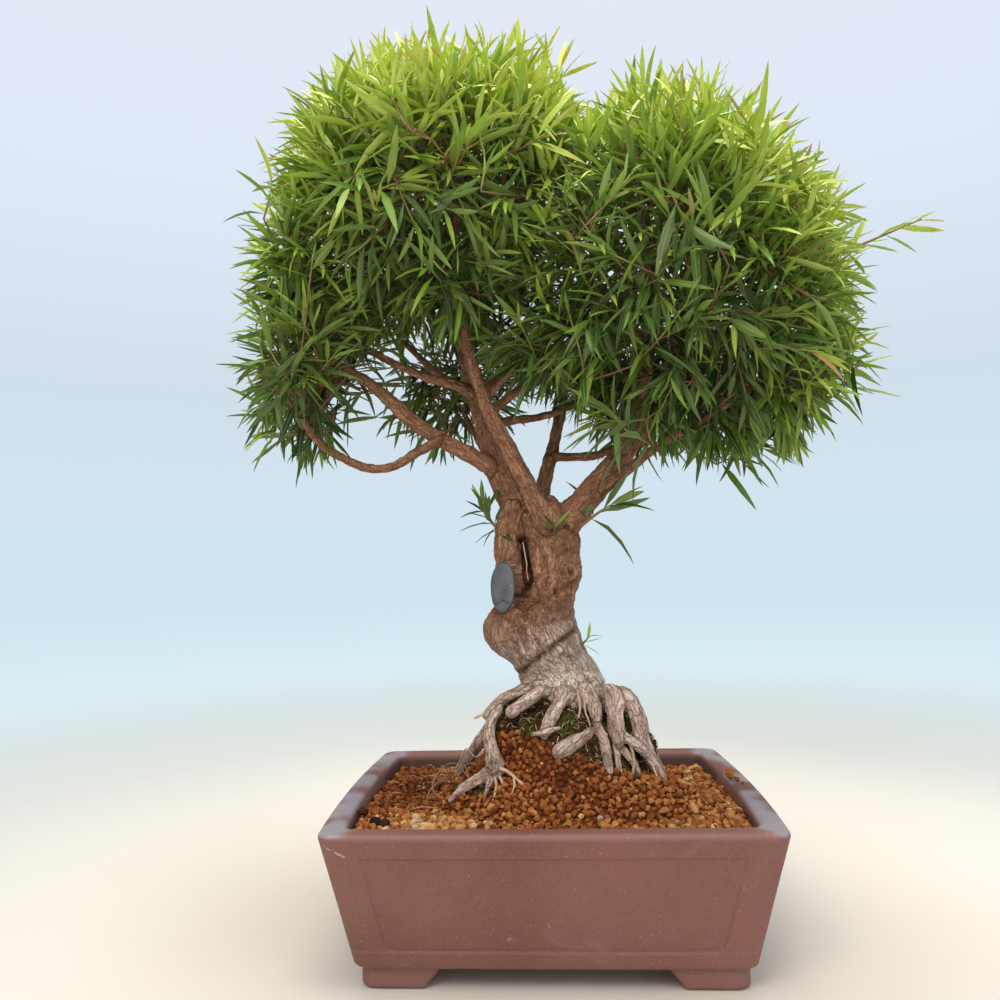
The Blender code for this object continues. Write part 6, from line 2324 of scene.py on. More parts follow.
    def leaf_up(
        self, lines: Lines, samples: np.ndarray, count: int, sizes: tuple, tint: float,
        far: bool = False, broad: float = 1.0,
    ) -> None:
        """Sets leaves in a spiral along a shoot, young and upright at its tip.

        Args:
            lines: The host that takes the leaves.
            samples: The shoot's points.
            count: How many leaves it bears.
            sizes: Leaf lengths at its foot and at its tip.
            tint: The tint of its leaves.
            far: Whether it is deep in the crown, where plainer leaves do.
            broad: How much broader than usual its leaves are.
        """
        places = [Vector(row[:3]) for row in samples]
        start_angle = self.rng.uniform(0, math.tau)
        for index in range(count):
            share = ((index + 0.6) / count) ** 0.85
            spot = share * (len(places) - 1)
            low = min(int(spot), len(places) - 2)
            place = places[low].lerp(places[low + 1], spot - low)
            along = (places[low + 1] - places[low]).normalized()
            side = along.orthogonal().normalized()
            side.rotate(Quaternion(along, start_angle + index * GOLDEN_ANGLE))
            lean = math.radians(64 - 44 * share + self.rng.gauss(0, 11))
            heading = along * math.cos(lean) + side * math.sin(lean)
            droop = 0.34 * float(smooth_step(620, 420, place.z)) if broad == 1.0 else 0.1
            heading = (heading + Vector((0, 0, self.rng.gauss(-droop, 0.14)))).normalized()
            top = along * 0.45 + UP * 0.7 + Vector([self.rng.gauss(0, 0.35) for _ in range(3)])
            turn = facing(heading, top)
            length = sizes[0] + (sizes[1] - sizes[0]) * share + self.rng.gauss(0, 3.2)
            length *= 1 - 0.28 * float(smooth_step(0.75, 1.0, share))
            width = self.rng.uniform(0.82, 1.15) * broad
            size = (length * width * MM, length * MM, length * MM)
            young = (0.1 if far else 0.4) * share**2 + self.rng.gauss(-0.03, 0.08)
            shade = tint + young
            shade = min(max(shade, 0.02), 0.94)
            if self.rng.random() < 0.008 * (1 + 3 * share) and tint > 0.3:
                shade = 1.0
            kind = self.rng.randrange(len(NEAR_BLADES))
            if far:
                kind = len(NEAR_BLADES) + kind % len(FAR_BLADES)
            blade = (*NEAR_BLADES, *FAR_BLADES)[kind]
            tip = turn @ Vector((blade.sway * width, 1.0, -blade.arch))
            if self.in_box(place + tip * length):
                lines.add_seat(place, turn, size, kind, tint=shade)

    def spray_lines(self, spray: Spray) -> Lines:
        """The stems and leaves of one spray."""
        lines = Lines()
        heading = spray.heading()
        reach = (spray.middle - spray.foot).length
        known = [(spray.foot + heading * reach * share, 1.6 - 0.5 * share) for share in (0, 0.3, 0.6)]
        trunk_line = np.array([(*place, radius) for place, radius in known])
        lines.add_line(trunk_line, youth=0.0)
        shoots = sorted(spray.shoots, key=lambda shoot: (shoot.base() - spray.foot).length)
        for shoot in shoots:
            base, tip = shoot.base(), shoot.tip

            def cost(entry: tuple[Vector, float]) -> float:
                run = base - entry[0]
                backwards = max(-run.normalized().dot(shoot.heading), 0.0) if run.length else 0
                return run.length * (1 + backwards)

            start, radius = min(known, key=cost)
            thin = max(min(radius * 0.8, 1.3), 0.75)
            sag = Vector([self.rng.uniform(-3, 3) for _ in range(3)])
            middle = start.lerp(base, 0.5) + sag
            bend = base.lerp(tip, 0.5) + Vector([self.rng.uniform(-2.5, 2.5) for _ in range(3)])
            connector = smooth_route(((*start, thin), (*middle, thin * 0.95), (*base, thin * 0.9)), 12)
            stem = smooth_route(((*base, thin * 0.9), (*bend, 0.75), (*tip, 0.4)), 10)
            whole = np.vstack([connector[:-1], stem])
            youth = smooth_step(0.45, 1.0, np.linspace(0, 1, len(whole)))
            lines.add_line(whole, youth=youth * (1.0 if shoot.layer == 0 else 0.5))
            known += [(Vector(row[:3]), row[3]) for row in whole[1 : len(connector)]]
            low, high = self.leaf_length
            long = self.rng.uniform(low + 9, high)
            far = shoot.layer > 0
            count = self.rng.randint(5, 6) if far else self.rng.randint(9, 11)
            self.leaf_up(lines, stem, count, (long, long * 0.76), self.tint(shoot), far)
        return lines

    def build(self, nodes: dict[str, bpy.types.Object]) -> list[bpy.types.Object]:
        """Builds every spray as a piece of its own."""
        self.share_out(self.grow_shoots())
        blades = [blade.mesh("leaf") for blade in (*NEAR_BLADES, *FAR_BLADES)]
        kinds = kinds_collection("leaf_kinds", blades)
        tree = leaf_tree()
        values = {
            "Leaf Kinds": kinds, "Leaf Finish": self.finishes.leaf,
            "Stem Finish": self.finishes.shoot, "Stem Sides": 5,
        }
        made = []
        for spray in self.sprays:
            piece = self.spray_lines(spray).host(spray.node.replace("spray", "leaves"), self.bench)
            tree.grow(piece, values)
            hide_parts(spray.node)
            made.append(dress(piece, Slot.LEAF))
        self.kinds, self.tree = kinds, tree
        return made


@dataclass(frozen=True)
class Sprout:
    """A leafy sprout on the trunk: where it starts, how it runs, and its leaves."""

    node: str
    route: tuple[tuple[float, ...], ...]
    leaves: int
    leaf_length: float
    tint: float
    slot: Slot = Slot.SPROUT


SPROUTS = (
    Sprout(
        "sprout_left",
        ((-28, 6, 295, 1.6), (-36, 2, 302, 1.3), (-43, -2, 311, 1.1), (-47, -5, 323, 0.7)),
        18, 27, 0.1,
    ),
    Sprout(
        "sprout_right",
        ((26, -2, 299, 1.5), (35, -6, 306, 1.2), (45, -10, 313, 1.0), (54, -12, 318, 0.6)),
        9, 42, 0.12,
    ),
    Sprout("sprout_fork", ((8, -10, 296, 1.2), (10, -18, 301, 1.0), (10, -23, 303, 0.7)), 5, 20, 0.2),
    Sprout("sprout_stem", ((23, 0, 206, 1.1), (29, -2, 211, 0.9), (34, -4, 217, 0.6)), 4, 19, 0.5),
    Sprout(
        "sprig_long",
        ((204, -9, 503.5, 1.9), (223, -9, 507, 1.6), (246, -9, 514, 1.3), (276, -9, 526, 1.0),
         (302, -9, 536, 0.6)),
        14, 31, 0.78, Slot.LEAF,
    ),
)


@dataclass
class Sprouts:
    """The sprouts on the trunk and the long sprig at the right."""

    bench: Bench
    finishes: Finishes
    crown: Crown

    def build(self) -> None:
        """Builds each as a piece of its own."""
        for sprout in SPROUTS:
            lines = Lines()
            samples = smooth_route(sprout.route, 5.0)
            green = 0.25 if sprout.slot is Slot.LEAF else 0.6
            youth = smooth_step(0.2, 1.0, np.linspace(0, 1, len(samples))) * green
            lines.add_line(samples, youth=youth)
            bare = 2 if len(samples) > 5 else 1
            sizes = (sprout.leaf_length, sprout.leaf_length * 0.85)
            self.crown.leaf_up(lines, samples[bare:], sprout.leaves, sizes, sprout.tint, broad=1.35)
            piece = lines.host(sprout.node + "_leafy", self.bench)
            self.crown.tree.grow(
                piece,
                {
                    "Leaf Kinds": self.crown.kinds, "Leaf Finish": self.finishes.leaf,
                    "Stem Finish": self.finishes.shoot, "Stem Sides": 6,
                },
            )
            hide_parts(sprout.node)
            dress(piece, sprout.slot)


def lump_mesh(name: str, rng: random.Random, rough: float, divisions: int) -> bpy.types.Mesh:
    """An angular crumb of a unit radius, chipped flat on several sides."""
    bm = bmesh.new()
    bmesh.ops.create_icosphere(bm, subdivisions=divisions, radius=1.0)
    salt = Vector([rng.uniform(-50, 50) for _ in range(3)])
    squash = Vector((rng.uniform(0.8, 1.2), rng.uniform(0.8, 1.2), rng.uniform(0.7, 0.95)))
    chips = []
    for _ in range(9):
        out = Vector([rng.gauss(0, 1) for _ in range(3)]).normalized()
        chips.append((out, rng.uniform(0.5, 0.88)))
    for vert in bm.verts:
        swell = 1 + rough * noise.noise(vert.co * 1.5 + salt) + rough * 0.6 * noise.noise(
            vert.co * 3.4 + salt
        )
        place = vert.co * swell
        for out, reach in chips:
            place -= out * max(place.dot(out) - reach, 0) * 0.85
        vert.co = Vector([c * s for c, s in zip(place, squash)]) * 1.15
    made = bpy.data.meshes.new(name)
    bm.to_mesh(made)
    bm.free()
    made.shade_smooth()
    made.set_sharp_from_angle(angle=math.radians(38))
    return made


def tuft_mesh(name: str, rng: random.Random) -> bpy.types.Mesh:
    """A tiny tuft of moss: a few leaning spikes of a unit height."""
    points, faces = [], []
    for _ in range(5):
        middle = Vector((rng.uniform(-0.5, 0.5), rng.uniform(-0.5, 0.5), -0.1))
        tip = middle * 1.9 + Vector((0, 0, rng.uniform(0.7, 1.2)))
        turn = rng.uniform(0, math.tau)
        start = len(points)
        for corner in range(3):
            angle = turn + corner * math.tau / 3
            points.append(middle + Vector((math.cos(angle), math.sin(angle), 0)) * 0.2)
        points.append(tip)
        faces.append((start + 2, start + 1, start))
        for corner in range(3):
            faces.append((start + corner, start + (corner + 1) % 3, start + 3))
    made = bpy.data.meshes.new(name)
    made.from_pydata(points, [], faces)
    return made


@dataclass
class Scatter:
    """Seats for small pieces, gathered as the host of a scatter tree."""

    rng: random.Random
    kinds: int
    lines: Lines = field(default_factory=Lines)

    def add(self, place: Any, radius: Any, up: Vector, tone_value: float) -> None:
        """Adds one piece of this radius, turned at random about this upward direction."""
        turn = up.to_track_quat("Z", "Y") @ Quaternion((0, 0, 1), self.rng.uniform(0, math.tau))
        size = (radius * MM,) * 3 if np.ndim(radius) == 0 else [r * MM for r in radius]
        kind = self.rng.randrange(self.kinds)
        self.lines.add_seat(place, turn, size, kind, tone=tone_value)


@dataclass
class Ground:
    """The earth that loose pieces lie on, and the wood that they keep clear of."""

    wood: BVHTree
    rng: random.Random
    bodies: list[BVHTree] = field(default_factory=list)
    corners: list[np.ndarray] = field(default_factory=list)

    def take(self, points: np.ndarray, mesh: bpy.types.Mesh) -> None:
        """Adds a body of earth."""
        mesh.calc_loop_triangles()
        triangles = np.array([tuple(triangle.vertices) for triangle in mesh.loop_triangles])
        self.corners.append(points[triangles])
        self.bodies.append(BVHTree.FromPolygons(points.tolist(), triangles.tolist()))

    @staticmethod
    def sunk(tree: BVHTree, spot: Vector) -> float:
        """How far a place is outside a body, or how far inside it if below 0."""
        found = tree.find_nearest(spot)
        return math.copysign(found[3], (spot - found[0]).dot(found[1]))

    def spread(self, spacing: float, tries: int, coarseness: Any, welcome: Any) -> list:
        """Places spread over the open earth, no closer together than the spacing.

        Args:
            spacing: The usual distance between two places.
            tries: How many places are tried.
            coarseness: Gives the share of the spacing that a place needs.
            welcome: Says whether a place and its outward direction will do.

        Returns:
            Each place, the direction out of the earth there, and its share of the spacing.
        """
        corners = np.concatenate(self.corners)
        cross = np.cross(corners[:, 1] - corners[:, 0], corners[:, 2] - corners[:, 0])
        length = np.linalg.norm(cross, axis=1)
        normals = cross / (length[:, None] + 1e-12)
        totals = np.cumsum(length * (corners[:, :, 2].mean(1) > 90) * (normals[:, 2] > -0.7))
        cells: dict[tuple[int, ...], list] = {}
        found = []
        for _ in range(tries):
            pick = int(np.searchsorted(totals, self.rng.random() * totals[-1]))
            a, b = self.rng.random(), self.rng.random()
            if a + b > 1:
                a, b = 1 - a, 1 - b
            first, second, third = corners[pick]
            spot = Vector(first + a * (second - first) + b * (third - first))
            out = Vector(normals[pick])
            if not welcome(spot, out):
                continue
            share = coarseness(spot.x, spot.y) * self.rng.uniform(0.66, 1.22)
            key = tuple(int(c // spacing) for c in spot)
            near = (
                other
                for dx in (-1, 0, 1)
                for dy in (-1, 0, 1)
                for dz in (-1, 0, 1)
                for other in cells.get((key[0] + dx, key[1] + dy, key[2] + dz), ())
            )
            if any((spot - o[0]).length < spacing * (share + o[1]) / 2 for o in near):
                continue
            if any(self.sunk(body, spot) < -0.3 for body in self.bodies):
                continue
            cells.setdefault(key, []).append((spot, share))
            if self.sunk(self.wood, spot) > 0.8:
                found.append((spot, out, share))
        return found


@dataclass
class Soil:
    """The planting soil: a heaped bed under loose fired-clay granules, with finer crumbs."""

    bench: Bench
    finishes: Finishes
    pot: ClayPot
    rng: random.Random
    level: float = 97.0
    fall: float = 3.0
    heap_centre: tuple[float, float] = (8.0, 4.0)
    heap_radius: float = 90.0
    heap_height: float = 36.0
    ball_centre: tuple[float, float] = (6.0, 2.0)
    ball_radius: float = 54.0
    ball_height: float = 27.0
    bed_drop: float = 2.6
    wall_gap: float = 1.0
    granule: tuple[float, float] = (1.2, 3.2)
    spacing: float = 4.2
    crumb: tuple[float, float] = (0.8, 1.8)
    line_x: tuple[float, ...] = (-60, -34, -7, 5, 22, 34, 49, 75)
    line_z: tuple[float, ...] = (126, 153, 147, 142, 136, 130, 123, 116)

    def height(self, x: Any, y: Any) -> Any:
        """The soil's own height: level at the pot's wall, heaped round the old root ball."""
        heap_reach = np.hypot(x - self.heap_centre[0], y - self.heap_centre[1]) / self.heap_radius
        ball_reach = np.hypot(x - self.ball_centre[0], y - self.ball_centre[1]) / self.ball_radius
        heap = self.heap_height * (1 - smooth_step(0.45, 1.05, heap_reach))
        ball = self.ball_height * (1 - smooth_step(0.72, 1.08, ball_reach))
        return self.level - self.fall * y / 100 + heap + ball

    def inside(self, x: float, y: float, gap: float) -> bool:
        """Whether a place is on the soil and this far from the pot's wall."""
        half_x, half_y = self.pot.inner_half(self.level)
        bow_x = self.pot.side_bow * (1 - (y / half_y) ** 2)
        bow_y = self.pot.front_bow * (1 - (x / half_x) ** 2)
        if abs(x) > half_x + bow_x - gap or abs(y) > half_y + bow_y - gap:
            return False
        corner = self.pot.corner
        in_x, in_y = abs(x) - (half_x - gap - corner), abs(y) - (half_y - gap - corner)
        return in_x < 0 or in_y < 0 or math.hypot(in_x, in_y) < corner + 2

    def bed(self) -> bpy.types.Object:
        """The closed body of earth that the granules lie on."""
        bottom = self.pot.floor_top + 0.3
        half_x, half_y = self.pot.inner_half(bottom)
        rings = []
        ring = self.pot.outline(half_x - self.wall_gap, half_y - self.wall_gap, 8.0, bottom)
        rings.append(np.column_stack([ring[:, :2], np.full(len(ring), bottom)]))
        half_x, half_y = self.pot.inner_half(self.level - 3)
        rim = self.pot.outline(half_x - self.wall_gap, half_y - self.wall_gap, 8.0, self.level)[:, :2]
        middle = np.array(self.heap_centre)
        steps = 44
        for step in range(steps):
            share = 1 - step / steps
            ring = middle + (rim - middle) * share
            top = self.height(ring[:, 0], ring[:, 1]) - self.bed_drop
            relief = [noise.noise(Vector((x, y, 5)) / 4.5) for x, y in ring]
            top = top + 0.9 * np.array(relief) * (1 if step else 0)
            rings.append(np.column_stack([ring, top]))
        count = len(rim)
        peak = float(self.height(*self.heap_centre)) - self.bed_drop
        points = np.vstack([*rings, [(*self.heap_centre, peak)]])
        faces = [tuple(reversed(range(count)))]
        for row in range(len(rings) - 1):
            for index in range(count):
                after = (index + 1) % count
                low, high = row * count, (row + 1) * count
                faces.append((low + index, low + after, high + after, high + index))
        last = (len(rings) - 1) * count
        for index in range(count):
            faces.append((last + index, last + (index + 1) % count, len(points) - 1))
        made = mesh_object("soil_bed", self.bench.placed(points), faces)
        old = [float(self.is_old(Vector(point) + UP * 2)) for point in points]
        carry(made.data, "old_part", "FLOAT", old)
        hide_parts("soil")
        return dress(made, Slot.GRANULES, self.finishes.earth)

    def coarseness(self, x: float, y: float) -> float:
        """How coarse the granules are: coarse at the front, fine and rusty at the back left."""
        fine = math.exp(-(((x + 98) / 45) ** 2) - (((y - 28) / 48) ** 2))
        heap = math.exp(-(((x - 2) / 34) ** 2) - (((y + 34) / 24) ** 2))
        return 1.0 - 0.36 * fine - 0.3 * heap + 0.08 * noise.noise(Vector((x, y, 9)) / 30)

    def tan(self, x: float, y: float) -> float:
        """How pale the granules are: tan at the front left, rusty on the heap and behind."""
        pale = math.exp(-(((x + 78) / 52) ** 2) - (((y + 82) / 26) ** 2))
        rusty = math.exp(-(((x + 96) / 42) ** 2) - (((y - 22) / 44) ** 2))
        heap = math.exp(-(((x - 6) / 40) ** 2) - (((y + 36) / 28) ** 2))
        patch = 0.14 * noise.noise(Vector((x, y, 2)) / 26)
        right = 0.12 * float(smooth_step(30, 100, x))
        return 0.5 + 0.3 * pale - 0.26 * rusty - 0.2 * heap + right + patch

    def lay_granules(self, tree: GrowthTree, ground: Ground) -> None:
        """Lays the coarse granules and the fine crumbs."""
        lumps = [lump_mesh("granule", self.rng, 0.5, 2) for _ in range(7)]
        lumps += [lump_mesh("granule", self.rng, 0.6, 1) for _ in range(5)]
        crumbs = [lump_mesh("crumb", self.rng, 0.4, 1) for _ in range(4)]

        def loose(spot: Vector, _: Vector) -> bool:
            return self.inside(spot.x, spot.y, 3.0) and not self.is_old(spot)

        def anywhere(spot: Vector, _: Vector) -> bool:
            return self.inside(spot.x, spot.y, 1.6)

        coarse = Scatter(self.rng, len(lumps))
        for spot, out, share in ground.spread(self.spacing, 80000, self.coarseness, loose):
            low, high = self.granule
            radius = low + (high - low) * min(max((share - 0.45) / 0.75, 0), 1)
            radius *= self.rng.uniform(0.85, 1.15)
            spot = spot + out * radius * self.rng.uniform(0.25, 0.75)
            value = min(max(self.tan(spot.x, spot.y) + self.rng.gauss(-0.03, 0.16), 0.03), 0.97)
            coarse.add(spot, radius, out + self.wild(0.6), value)
        fine = Scatter(self.rng, len(crumbs))
        for spot, out, _ in ground.spread(3.9, 16000, lambda x, y: 1.0, anywhere):
            old = self.is_old(spot)
            radius = self.rng.uniform(*self.crumb) * (0.8 if old else 1.0)
            spot = spot + out * self.rng.uniform(0.2, 1.0 if old else 2.6)
            value = min(max(self.tan(spot.x, spot.y) - 0.12 + self.rng.gauss(0, 0.18), 0.0), 1.0)
            fine.add(spot, radius, out + self.wild(0.8), value * (0.35 if old else 1.0))
        for name, scatter, kinds in (("soil_granules", coarse, lumps), ("soil_crumbs", fine, crumbs)):
            host = scatter.lines.host(name, self.bench)
            collection = kinds_collection(name + "_kinds", kinds)
            tree.grow(host, {"Kinds": collection, "Finish": self.finishes.granule, "Scale": 1.0})
            dress(host, Slot.GRANULES)

    def is_old(self, spot: Vector) -> bool:
        """Whether a place is on the dark old root ball, above where the granules reach."""
        if math.dist((spot.x / 17, spot.y / 15, spot.z / 17), (-54 / 17, -34 / 15, 112 / 17)) < 1:
            return True
        line = float(np.interp(spot.x, self.line_x, self.line_z)) if spot.y < 10 else 132
        return spot.z > line + 4 * noise.noise(spot / 11)

    def wild(self, reach: float) -> Vector:
        """A random push."""
        return Vector([self.rng.uniform(-reach, reach) for _ in range(3)])


ROOTLETS = (
    ((-36, -43, 127, 1.7), (-31, -47, 126, 1.5), (-25, -51, 123, 1.3), (-18, -56, 117, 1.2),
     (-14, -60, 111, 1.0), (-12, -63, 105, 0.6)),
    ((-25, -51, 123, 1.0), (-25, -55, 117, 0.9), (-27, -58, 110, 0.5)),
    ((-36, -44, 122, 1.2), (-33, -50, 116, 1.0), (-31, -55, 108, 0.6)),
    ((-39, -44, 121, 1.3), (-38, -50, 114, 1.0), (-40, -55, 107, 0.6)),
    ((-50, -34, 120, 1.3), (-60, -33, 115, 1.1), (-70, -32, 108, 0.7)),
    ((-55, -37, 117, 1.2), (-60, -43, 110, 1.0), (-66, -47, 104, 0.6)),
    ((-60, -38, 116, 1.0), (-67, -36, 111, 0.9), (-76, -36, 105, 0.6)),
    ((-46, -34, 122, 1.0), (-50, -41, 112, 0.9), (-55, -46, 105, 0.6)),
    ((-46, -24, 138, 0.5), (-54, -26, 131, 0.45), (-61, -24, 137, 0.4), (-66, -23, 129, 0.4),
     (-70, -22, 120, 0.3)),
    ((-43, -30, 164, 1.8), (-50, -31, 162, 1.2), (-54, -31, 160, 0.7)),
    ((50, -36, 118, 1.2), (54, -40, 111, 0.9), (58, -43, 105, 0.5)),
    ((66, -34, 120, 1.3), (64, -39, 112, 1.0), (60, -42, 105, 0.6)),
    ((72, -34, 130, 1.2), (77, -38, 121, 1.0), (78, -41, 112, 0.7)),
    ((40, -36, 128, 1.1), (35, -41, 120, 0.8), (32, -43, 113, 0.5)),
    ((48, -30, 140, 1.4), (49, -34, 130, 1.2), (50, -36, 118, 0.8)),
    ((60, -30, 142, 1.4), (62, -34, 131, 1.1), (61, -36, 120, 0.8)),
    ((22, -24, 178, 1.0), (24, -32, 170, 0.9), (22, -38, 161, 0.6)),
    ((28, -26, 172, 0.9), (28, -34, 164, 0.8), (31, -38, 155, 0.5)),
    ((-16, -15, 290, 0.5), (-14, -14, 279, 0.55), (-13, -14, 268, 0.45), (-12, -14, 261, 0.3)),
)
LOOPS = (
    ((-62, -20, 108, 0.45), (-72, -14, 118, 0.45), (-84, -14, 117, 0.4), (-88, -20, 107, 0.4),
     (-80, -27, 102, 0.35)),
    ((-58, -18, 110, 0.4), (-70, -6, 121, 0.4), (-82, -4, 118, 0.35), (-90, -8, 106, 0.3)),
    ((-66, -24, 104, 0.4), (-78, -22, 113, 0.4), (-88, -28, 108, 0.35), (-90, -34, 101, 0.3)),
    ((-60, -14, 112, 0.4), (-66, 2, 118, 0.4), (-78, 8, 113, 0.35), (-84, 6, 105, 0.3)),
    ((-64, -30, 104, 0.4), (-74, -34, 110, 0.35), (-84, -30, 104, 0.3)),
    ((21, -58, 103.5, 0.7), (26, -61, 107, 0.7), (31, -66, 103, 0.6)),
    ((-98, -60, 103, 0.5), (-88, -62, 105.5, 0.5), (-78, -60, 103.5, 0.4)),
    ((100, -20, 101, 0.45), (112, -22, 104, 0.4), (124, -18, 101.5, 0.35)),
    ((86, 12, 103, 0.4), (96, 4, 106, 0.4), (108, 2, 103, 0.35)),
)


@dataclass
class RootBall:
    """What grows and lies on the old root ball: moss, fibres, fine roots and a few weeds."""

    bench: Bench
    finishes: Finishes
    soil: Soil
    rng: random.Random
    clods: tuple[tuple[tuple[float, ...], tuple[float, ...]], ...] = (
        ((2, 4, 128), (46, 44, 51)),
        ((-20, -8, 136), (27, 26, 35)),
        ((48, -2, 126), (34, 26, 34)),
        ((14, -30, 140), (22, 14, 24)),
        ((0, -25, 112), (34, 30, 38)),
        ((46, -32, 95), (66, 42, 24)),
        ((-52, -30, 100), (30, 24, 14)),
    )
    tuft_spacing: float = 1.5
    chip_spacing: float = 2.1

    def earth(self, ground: Ground) -> bpy.types.Object:
        """The old ball of earth between the roots, which the granules are heaped against."""
        shells = Shells()
        for centre, half in self.clods:
            shells.add(*ball_shell(centre, half))
        ball = shells.build("root_ball_earth", self.bench)
        remesh = ball.modifiers.new("even", "REMESH")
        remesh.mode = "VOXEL"
        remesh.voxel_size = 2.4 * MM
        bake_modifiers(ball)
        spots = self.bench.measured(points_of(ball.data))
        lumps = [noise.noise(Vector(s) / 8) * 2.4 + noise.noise(Vector(s) / 3.4) for s in spots]
        spots = spots + normals_of(ball.data) * np.array(lumps)[:, None]
        ball.data.vertices.foreach_set("co", self.bench.placed(spots).astype(np.float32).ravel())
        ball.data.update()
        ball.data.shade_smooth()
        old = [float(self.soil.is_old(Vector(spot) + UP * 2)) for spot in spots]
        carry(ball.data, "old_part", "FLOAT", old)
        ground.take(spots, ball.data)
        return dress(ball, Slot.GRANULES, self.finishes.earth)

    def build(self, scatter: GrowthTree, threads: GrowthTree, ground: Ground) -> None:
        """Builds the moss, the fibres and the loose things on the soil."""
        self.grow_moss(scatter, ground)
        self.lay_fibres(threads, ground)
        self.lay_loose(scatter)

    def grow_moss(self, tree: GrowthTree, ground: Ground) -> None:
        """Moss tufts in patches on the root ball, and a few patches beside the roots."""
        kinds = [tuft_mesh("tuft", self.rng) for _ in range(4)]
        seats = Scatter(self.rng, len(kinds))

        def mossy(spot: Vector, _: Vector) -> bool:
            if self.soil.is_old(spot):
                return noise.noise(spot / 12 + Vector((0, 0, 7))) > -0.04
            left = math.hypot(spot.x + 62, (spot.y + 26) * 1.2) < 20
            right = math.hypot(spot.x - 70, (spot.y + 36) * 1.5) < 12
            return (left or right) and noise.noise(spot / 7) > -0.2

        for spot, out, _ in ground.spread(self.tuft_spacing, 24000, lambda x, y: 1.0, mossy):
            value = 0.4 + 0.9 * noise.noise(spot / 12 + Vector((0, 0, 7))) + self.rng.gauss(0, 0.16)
            spot = spot + out * self.rng.uniform(0, 0.8)
            size = self.rng.uniform(0.9, 2.0)
            seats.add(spot, size, out + UP * 0.3 + self.soil.wild(0.5), min(max(value, 0), 1))
        host = seats.lines.host("moss_tufts", self.bench)
        collection = kinds_collection("moss_kinds", kinds)
        tree.grow(host, {"Kinds": collection, "Finish": self.finishes.moss, "Scale": 1.0})
        dress(host, Slot.GRANULES)

    def lay_fibres(self, tree: GrowthTree, ground: Ground) -> None:
        """Fine roots and wiry loops, and short pale chips of fibre among the moss."""
        lines = Lines()
        for route in (*ROOTLETS, *LOOPS):
            samples = smooth_route(route, 2.5)
            for row in samples[1:]:
                place = Vector(row[:3]) / 6
                row[:3] += 0.8 * np.array([noise.noise(place + Vector((k * 9, 0, 0))) for k in range(3)])
                row[3] *= 1 + 0.3 * noise.noise(place * 2)
            lines.add_line(samples, tone=0.36 if route in LOOPS else 0.62)

        def chippy(spot: Vector, _: Vector) -> bool:
            return self.soil.is_old(spot) and noise.noise(spot / 13 + Vector((3, 0, 0))) > -0.25

        for spot, out, _ in ground.spread(self.chip_spacing, 7000, lambda x, y: 1.0, chippy):
            flat = out.orthogonal().normalized()
            flat.rotate(Quaternion(out, self.rng.uniform(0, math.tau)))
            self.add_chip(lines, spot, flat, out, self.rng.uniform(2.0, 5.5))
        for _ in range(60):
            x, y = self.rng.gauss(-84, 24), self.rng.gauss(44, 28)
            if self.soil.inside(x, y, 8):
                angle = self.rng.uniform(0, math.tau)
                spot = Vector((x, y, float(self.soil.height(x, y)) + 1.2))
                flat = Vector((math.cos(angle), math.sin(angle), 0))
                self.add_chip(lines, spot, flat, UP, self.rng.uniform(4, 13))
        host = lines.host("fine_roots", self.bench)
        tree.grow(host, {"Sides": 5, "Finish": self.finishes.fibre})
        dress(host, Slot.BARK)

    def add_chip(self, lines: Lines, spot: Vector, flat: Vector, out: Vector, length: float) -> None:
        """Adds one short bowed fibre that lies on the earth."""
        thick = self.rng.uniform(0.16, 0.34)
        start = spot + out * 0.4
        middle = start + flat * length * 0.5 + out * self.rng.uniform(0.3, 1.8)
        end = start + flat * length + out * self.rng.uniform(-0.4, 1.2)
        route = ((*start, thick), (*middle, thick), (*end, thick * 0.6))
        lines.add_line(smooth_route(route, 3.0), tone=self.rng.uniform(0.15, 0.85))

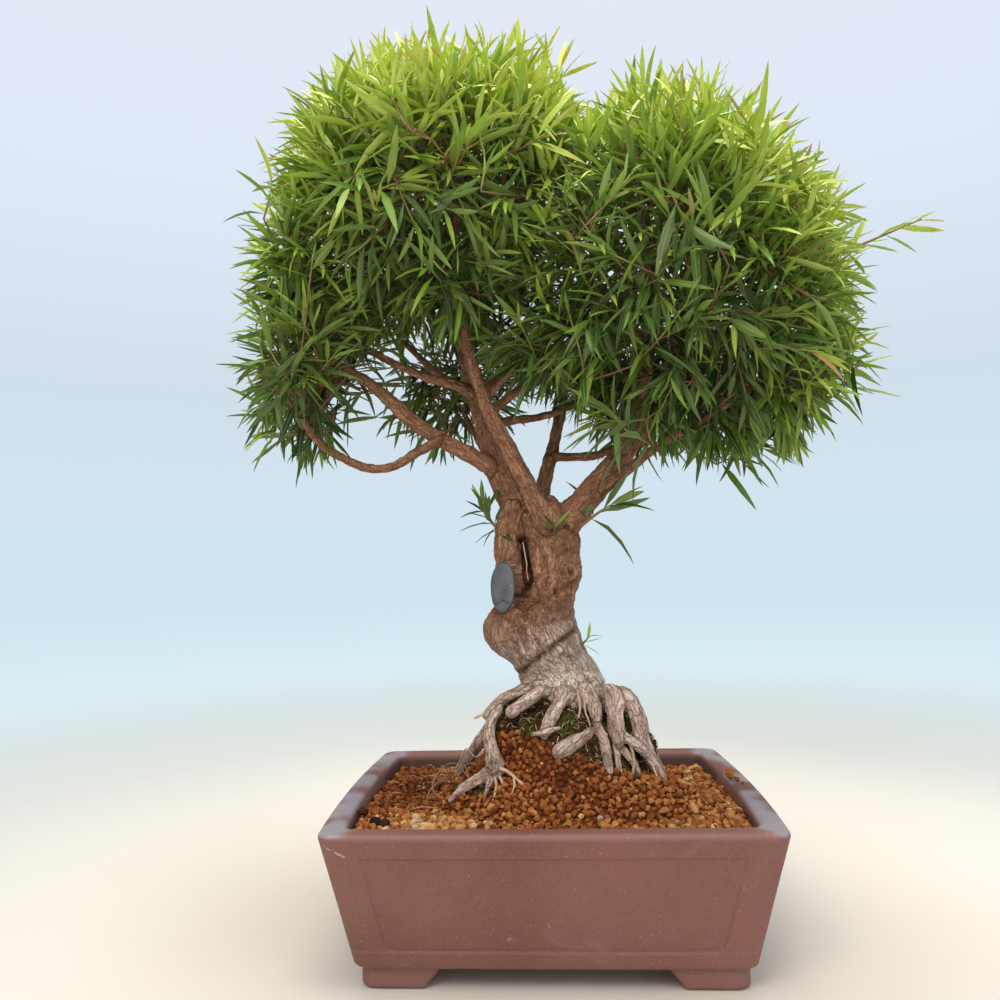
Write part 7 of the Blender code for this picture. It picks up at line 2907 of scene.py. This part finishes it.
    def lay_loose(self, tree: GrowthTree) -> None:
        """A grey pebble, charcoal bits and the granules that lie on the pot's rim."""
        kinds = [lump_mesh(f"loose_{index}", self.rng, 0.3, 2) for index in range(3)]
        seats = Scatter(self.rng, len(kinds))
        loose = (
            (27, -71, 101.5, 3.4, 1.0), (33, -76, 101, 2.4, 1.0), (-119, -81, 101, 4.6, 0.0),
            (-112, -84, 101, 3.6, 0.02), (-132, -58, 101, 3.4, 0.03), (-79, -23, 104, 3.2, 0.0),
            (-54, -52, 102, 3.0, 0.02), (140, 10, 107.5, 3.6, 0.62), (143, 2, 106.5, 2.4, 0.45),
            (141, 14, 110.6, 2.6, 0.7), (146, -5, 105.6, 1.2, 0.4), (-6, -44, 125, 3.4, 0.98),
        )
        for x, y, z, radius, value in loose:
            seats.add((x, y, z), radius, Vector((0, 0, 1)), value)
        host = seats.lines.host("loose_bits", self.bench)
        collection = kinds_collection("loose_kinds", kinds)
        tree.grow(host, {"Kinds": collection, "Finish": self.finishes.granule, "Scale": 1.0})
        dress(host, Slot.GRANULES)


def main() -> None:
    """Builds the scene."""
    logging.basicConfig(level=logging.INFO, format="%(message)s")
    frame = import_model()
    nodes = frame["nodes"]
    bench = Bench.under_pot()
    rng = random.Random(SEED)
    finishes = Finishes()
    Studio(bench, finishes.floor).build()
    pot = ClayPot(bench, finishes.clay)
    pot.build()
    crown = Crown(bench, finishes, rng)
    crown.find_sprays(nodes)
    wound = Wound()
    wood = Wood(bench, finishes.bark, wound).build(crown.twigs())
    CutPaste(bench, finishes.paste, wound).build()
    pieces = crown.build(nodes)
    Sprouts(bench, finishes, crown).build()
    surface = BVHTree.FromPolygons(
        bench.measured(points_of(wood.data)).tolist(),
        [tuple(face.vertices) for face in wood.data.polygons],
    )
    scatter, threads = scatter_tree(), thread_tree()
    ground = Ground(surface, rng)
    soil = Soil(bench, finishes, pot, rng)
    bed = soil.bed()
    ground.take(bench.measured(points_of(bed.data)), bed.data)
    ball = RootBall(bench, finishes, soil, rng)
    ball.earth(ground)
    soil.lay_granules(scatter, ground)
    ball.build(scatter, threads, ground)
    for side in ("left", "right"):
        mesh = nodes[f"drain_mesh_{side}"]
        mesh.data.materials.clear()
        mesh.data.materials.append(finishes.plastic)
    report(pieces)


def report(leaves: Sequence[bpy.types.Object]) -> None:
    """Logs how many triangles each piece has."""
    total = 0
    for piece in bpy.context.scene.objects:
        if piece.type != "MESH" or piece.get("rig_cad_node"):
            continue
        piece.data.calc_loop_triangles()
        count = len(piece.data.loop_triangles)
        total += count
        if piece not in leaves:
            LOG.info("%s: %d triangles", piece.name, count)
    count = sum(len(piece.data.loop_triangles) for piece in leaves)
    LOG.info("leaves: %d triangles in %d pieces, %d in all", count, len(leaves), total)


if __name__ == "__main__":
    main()
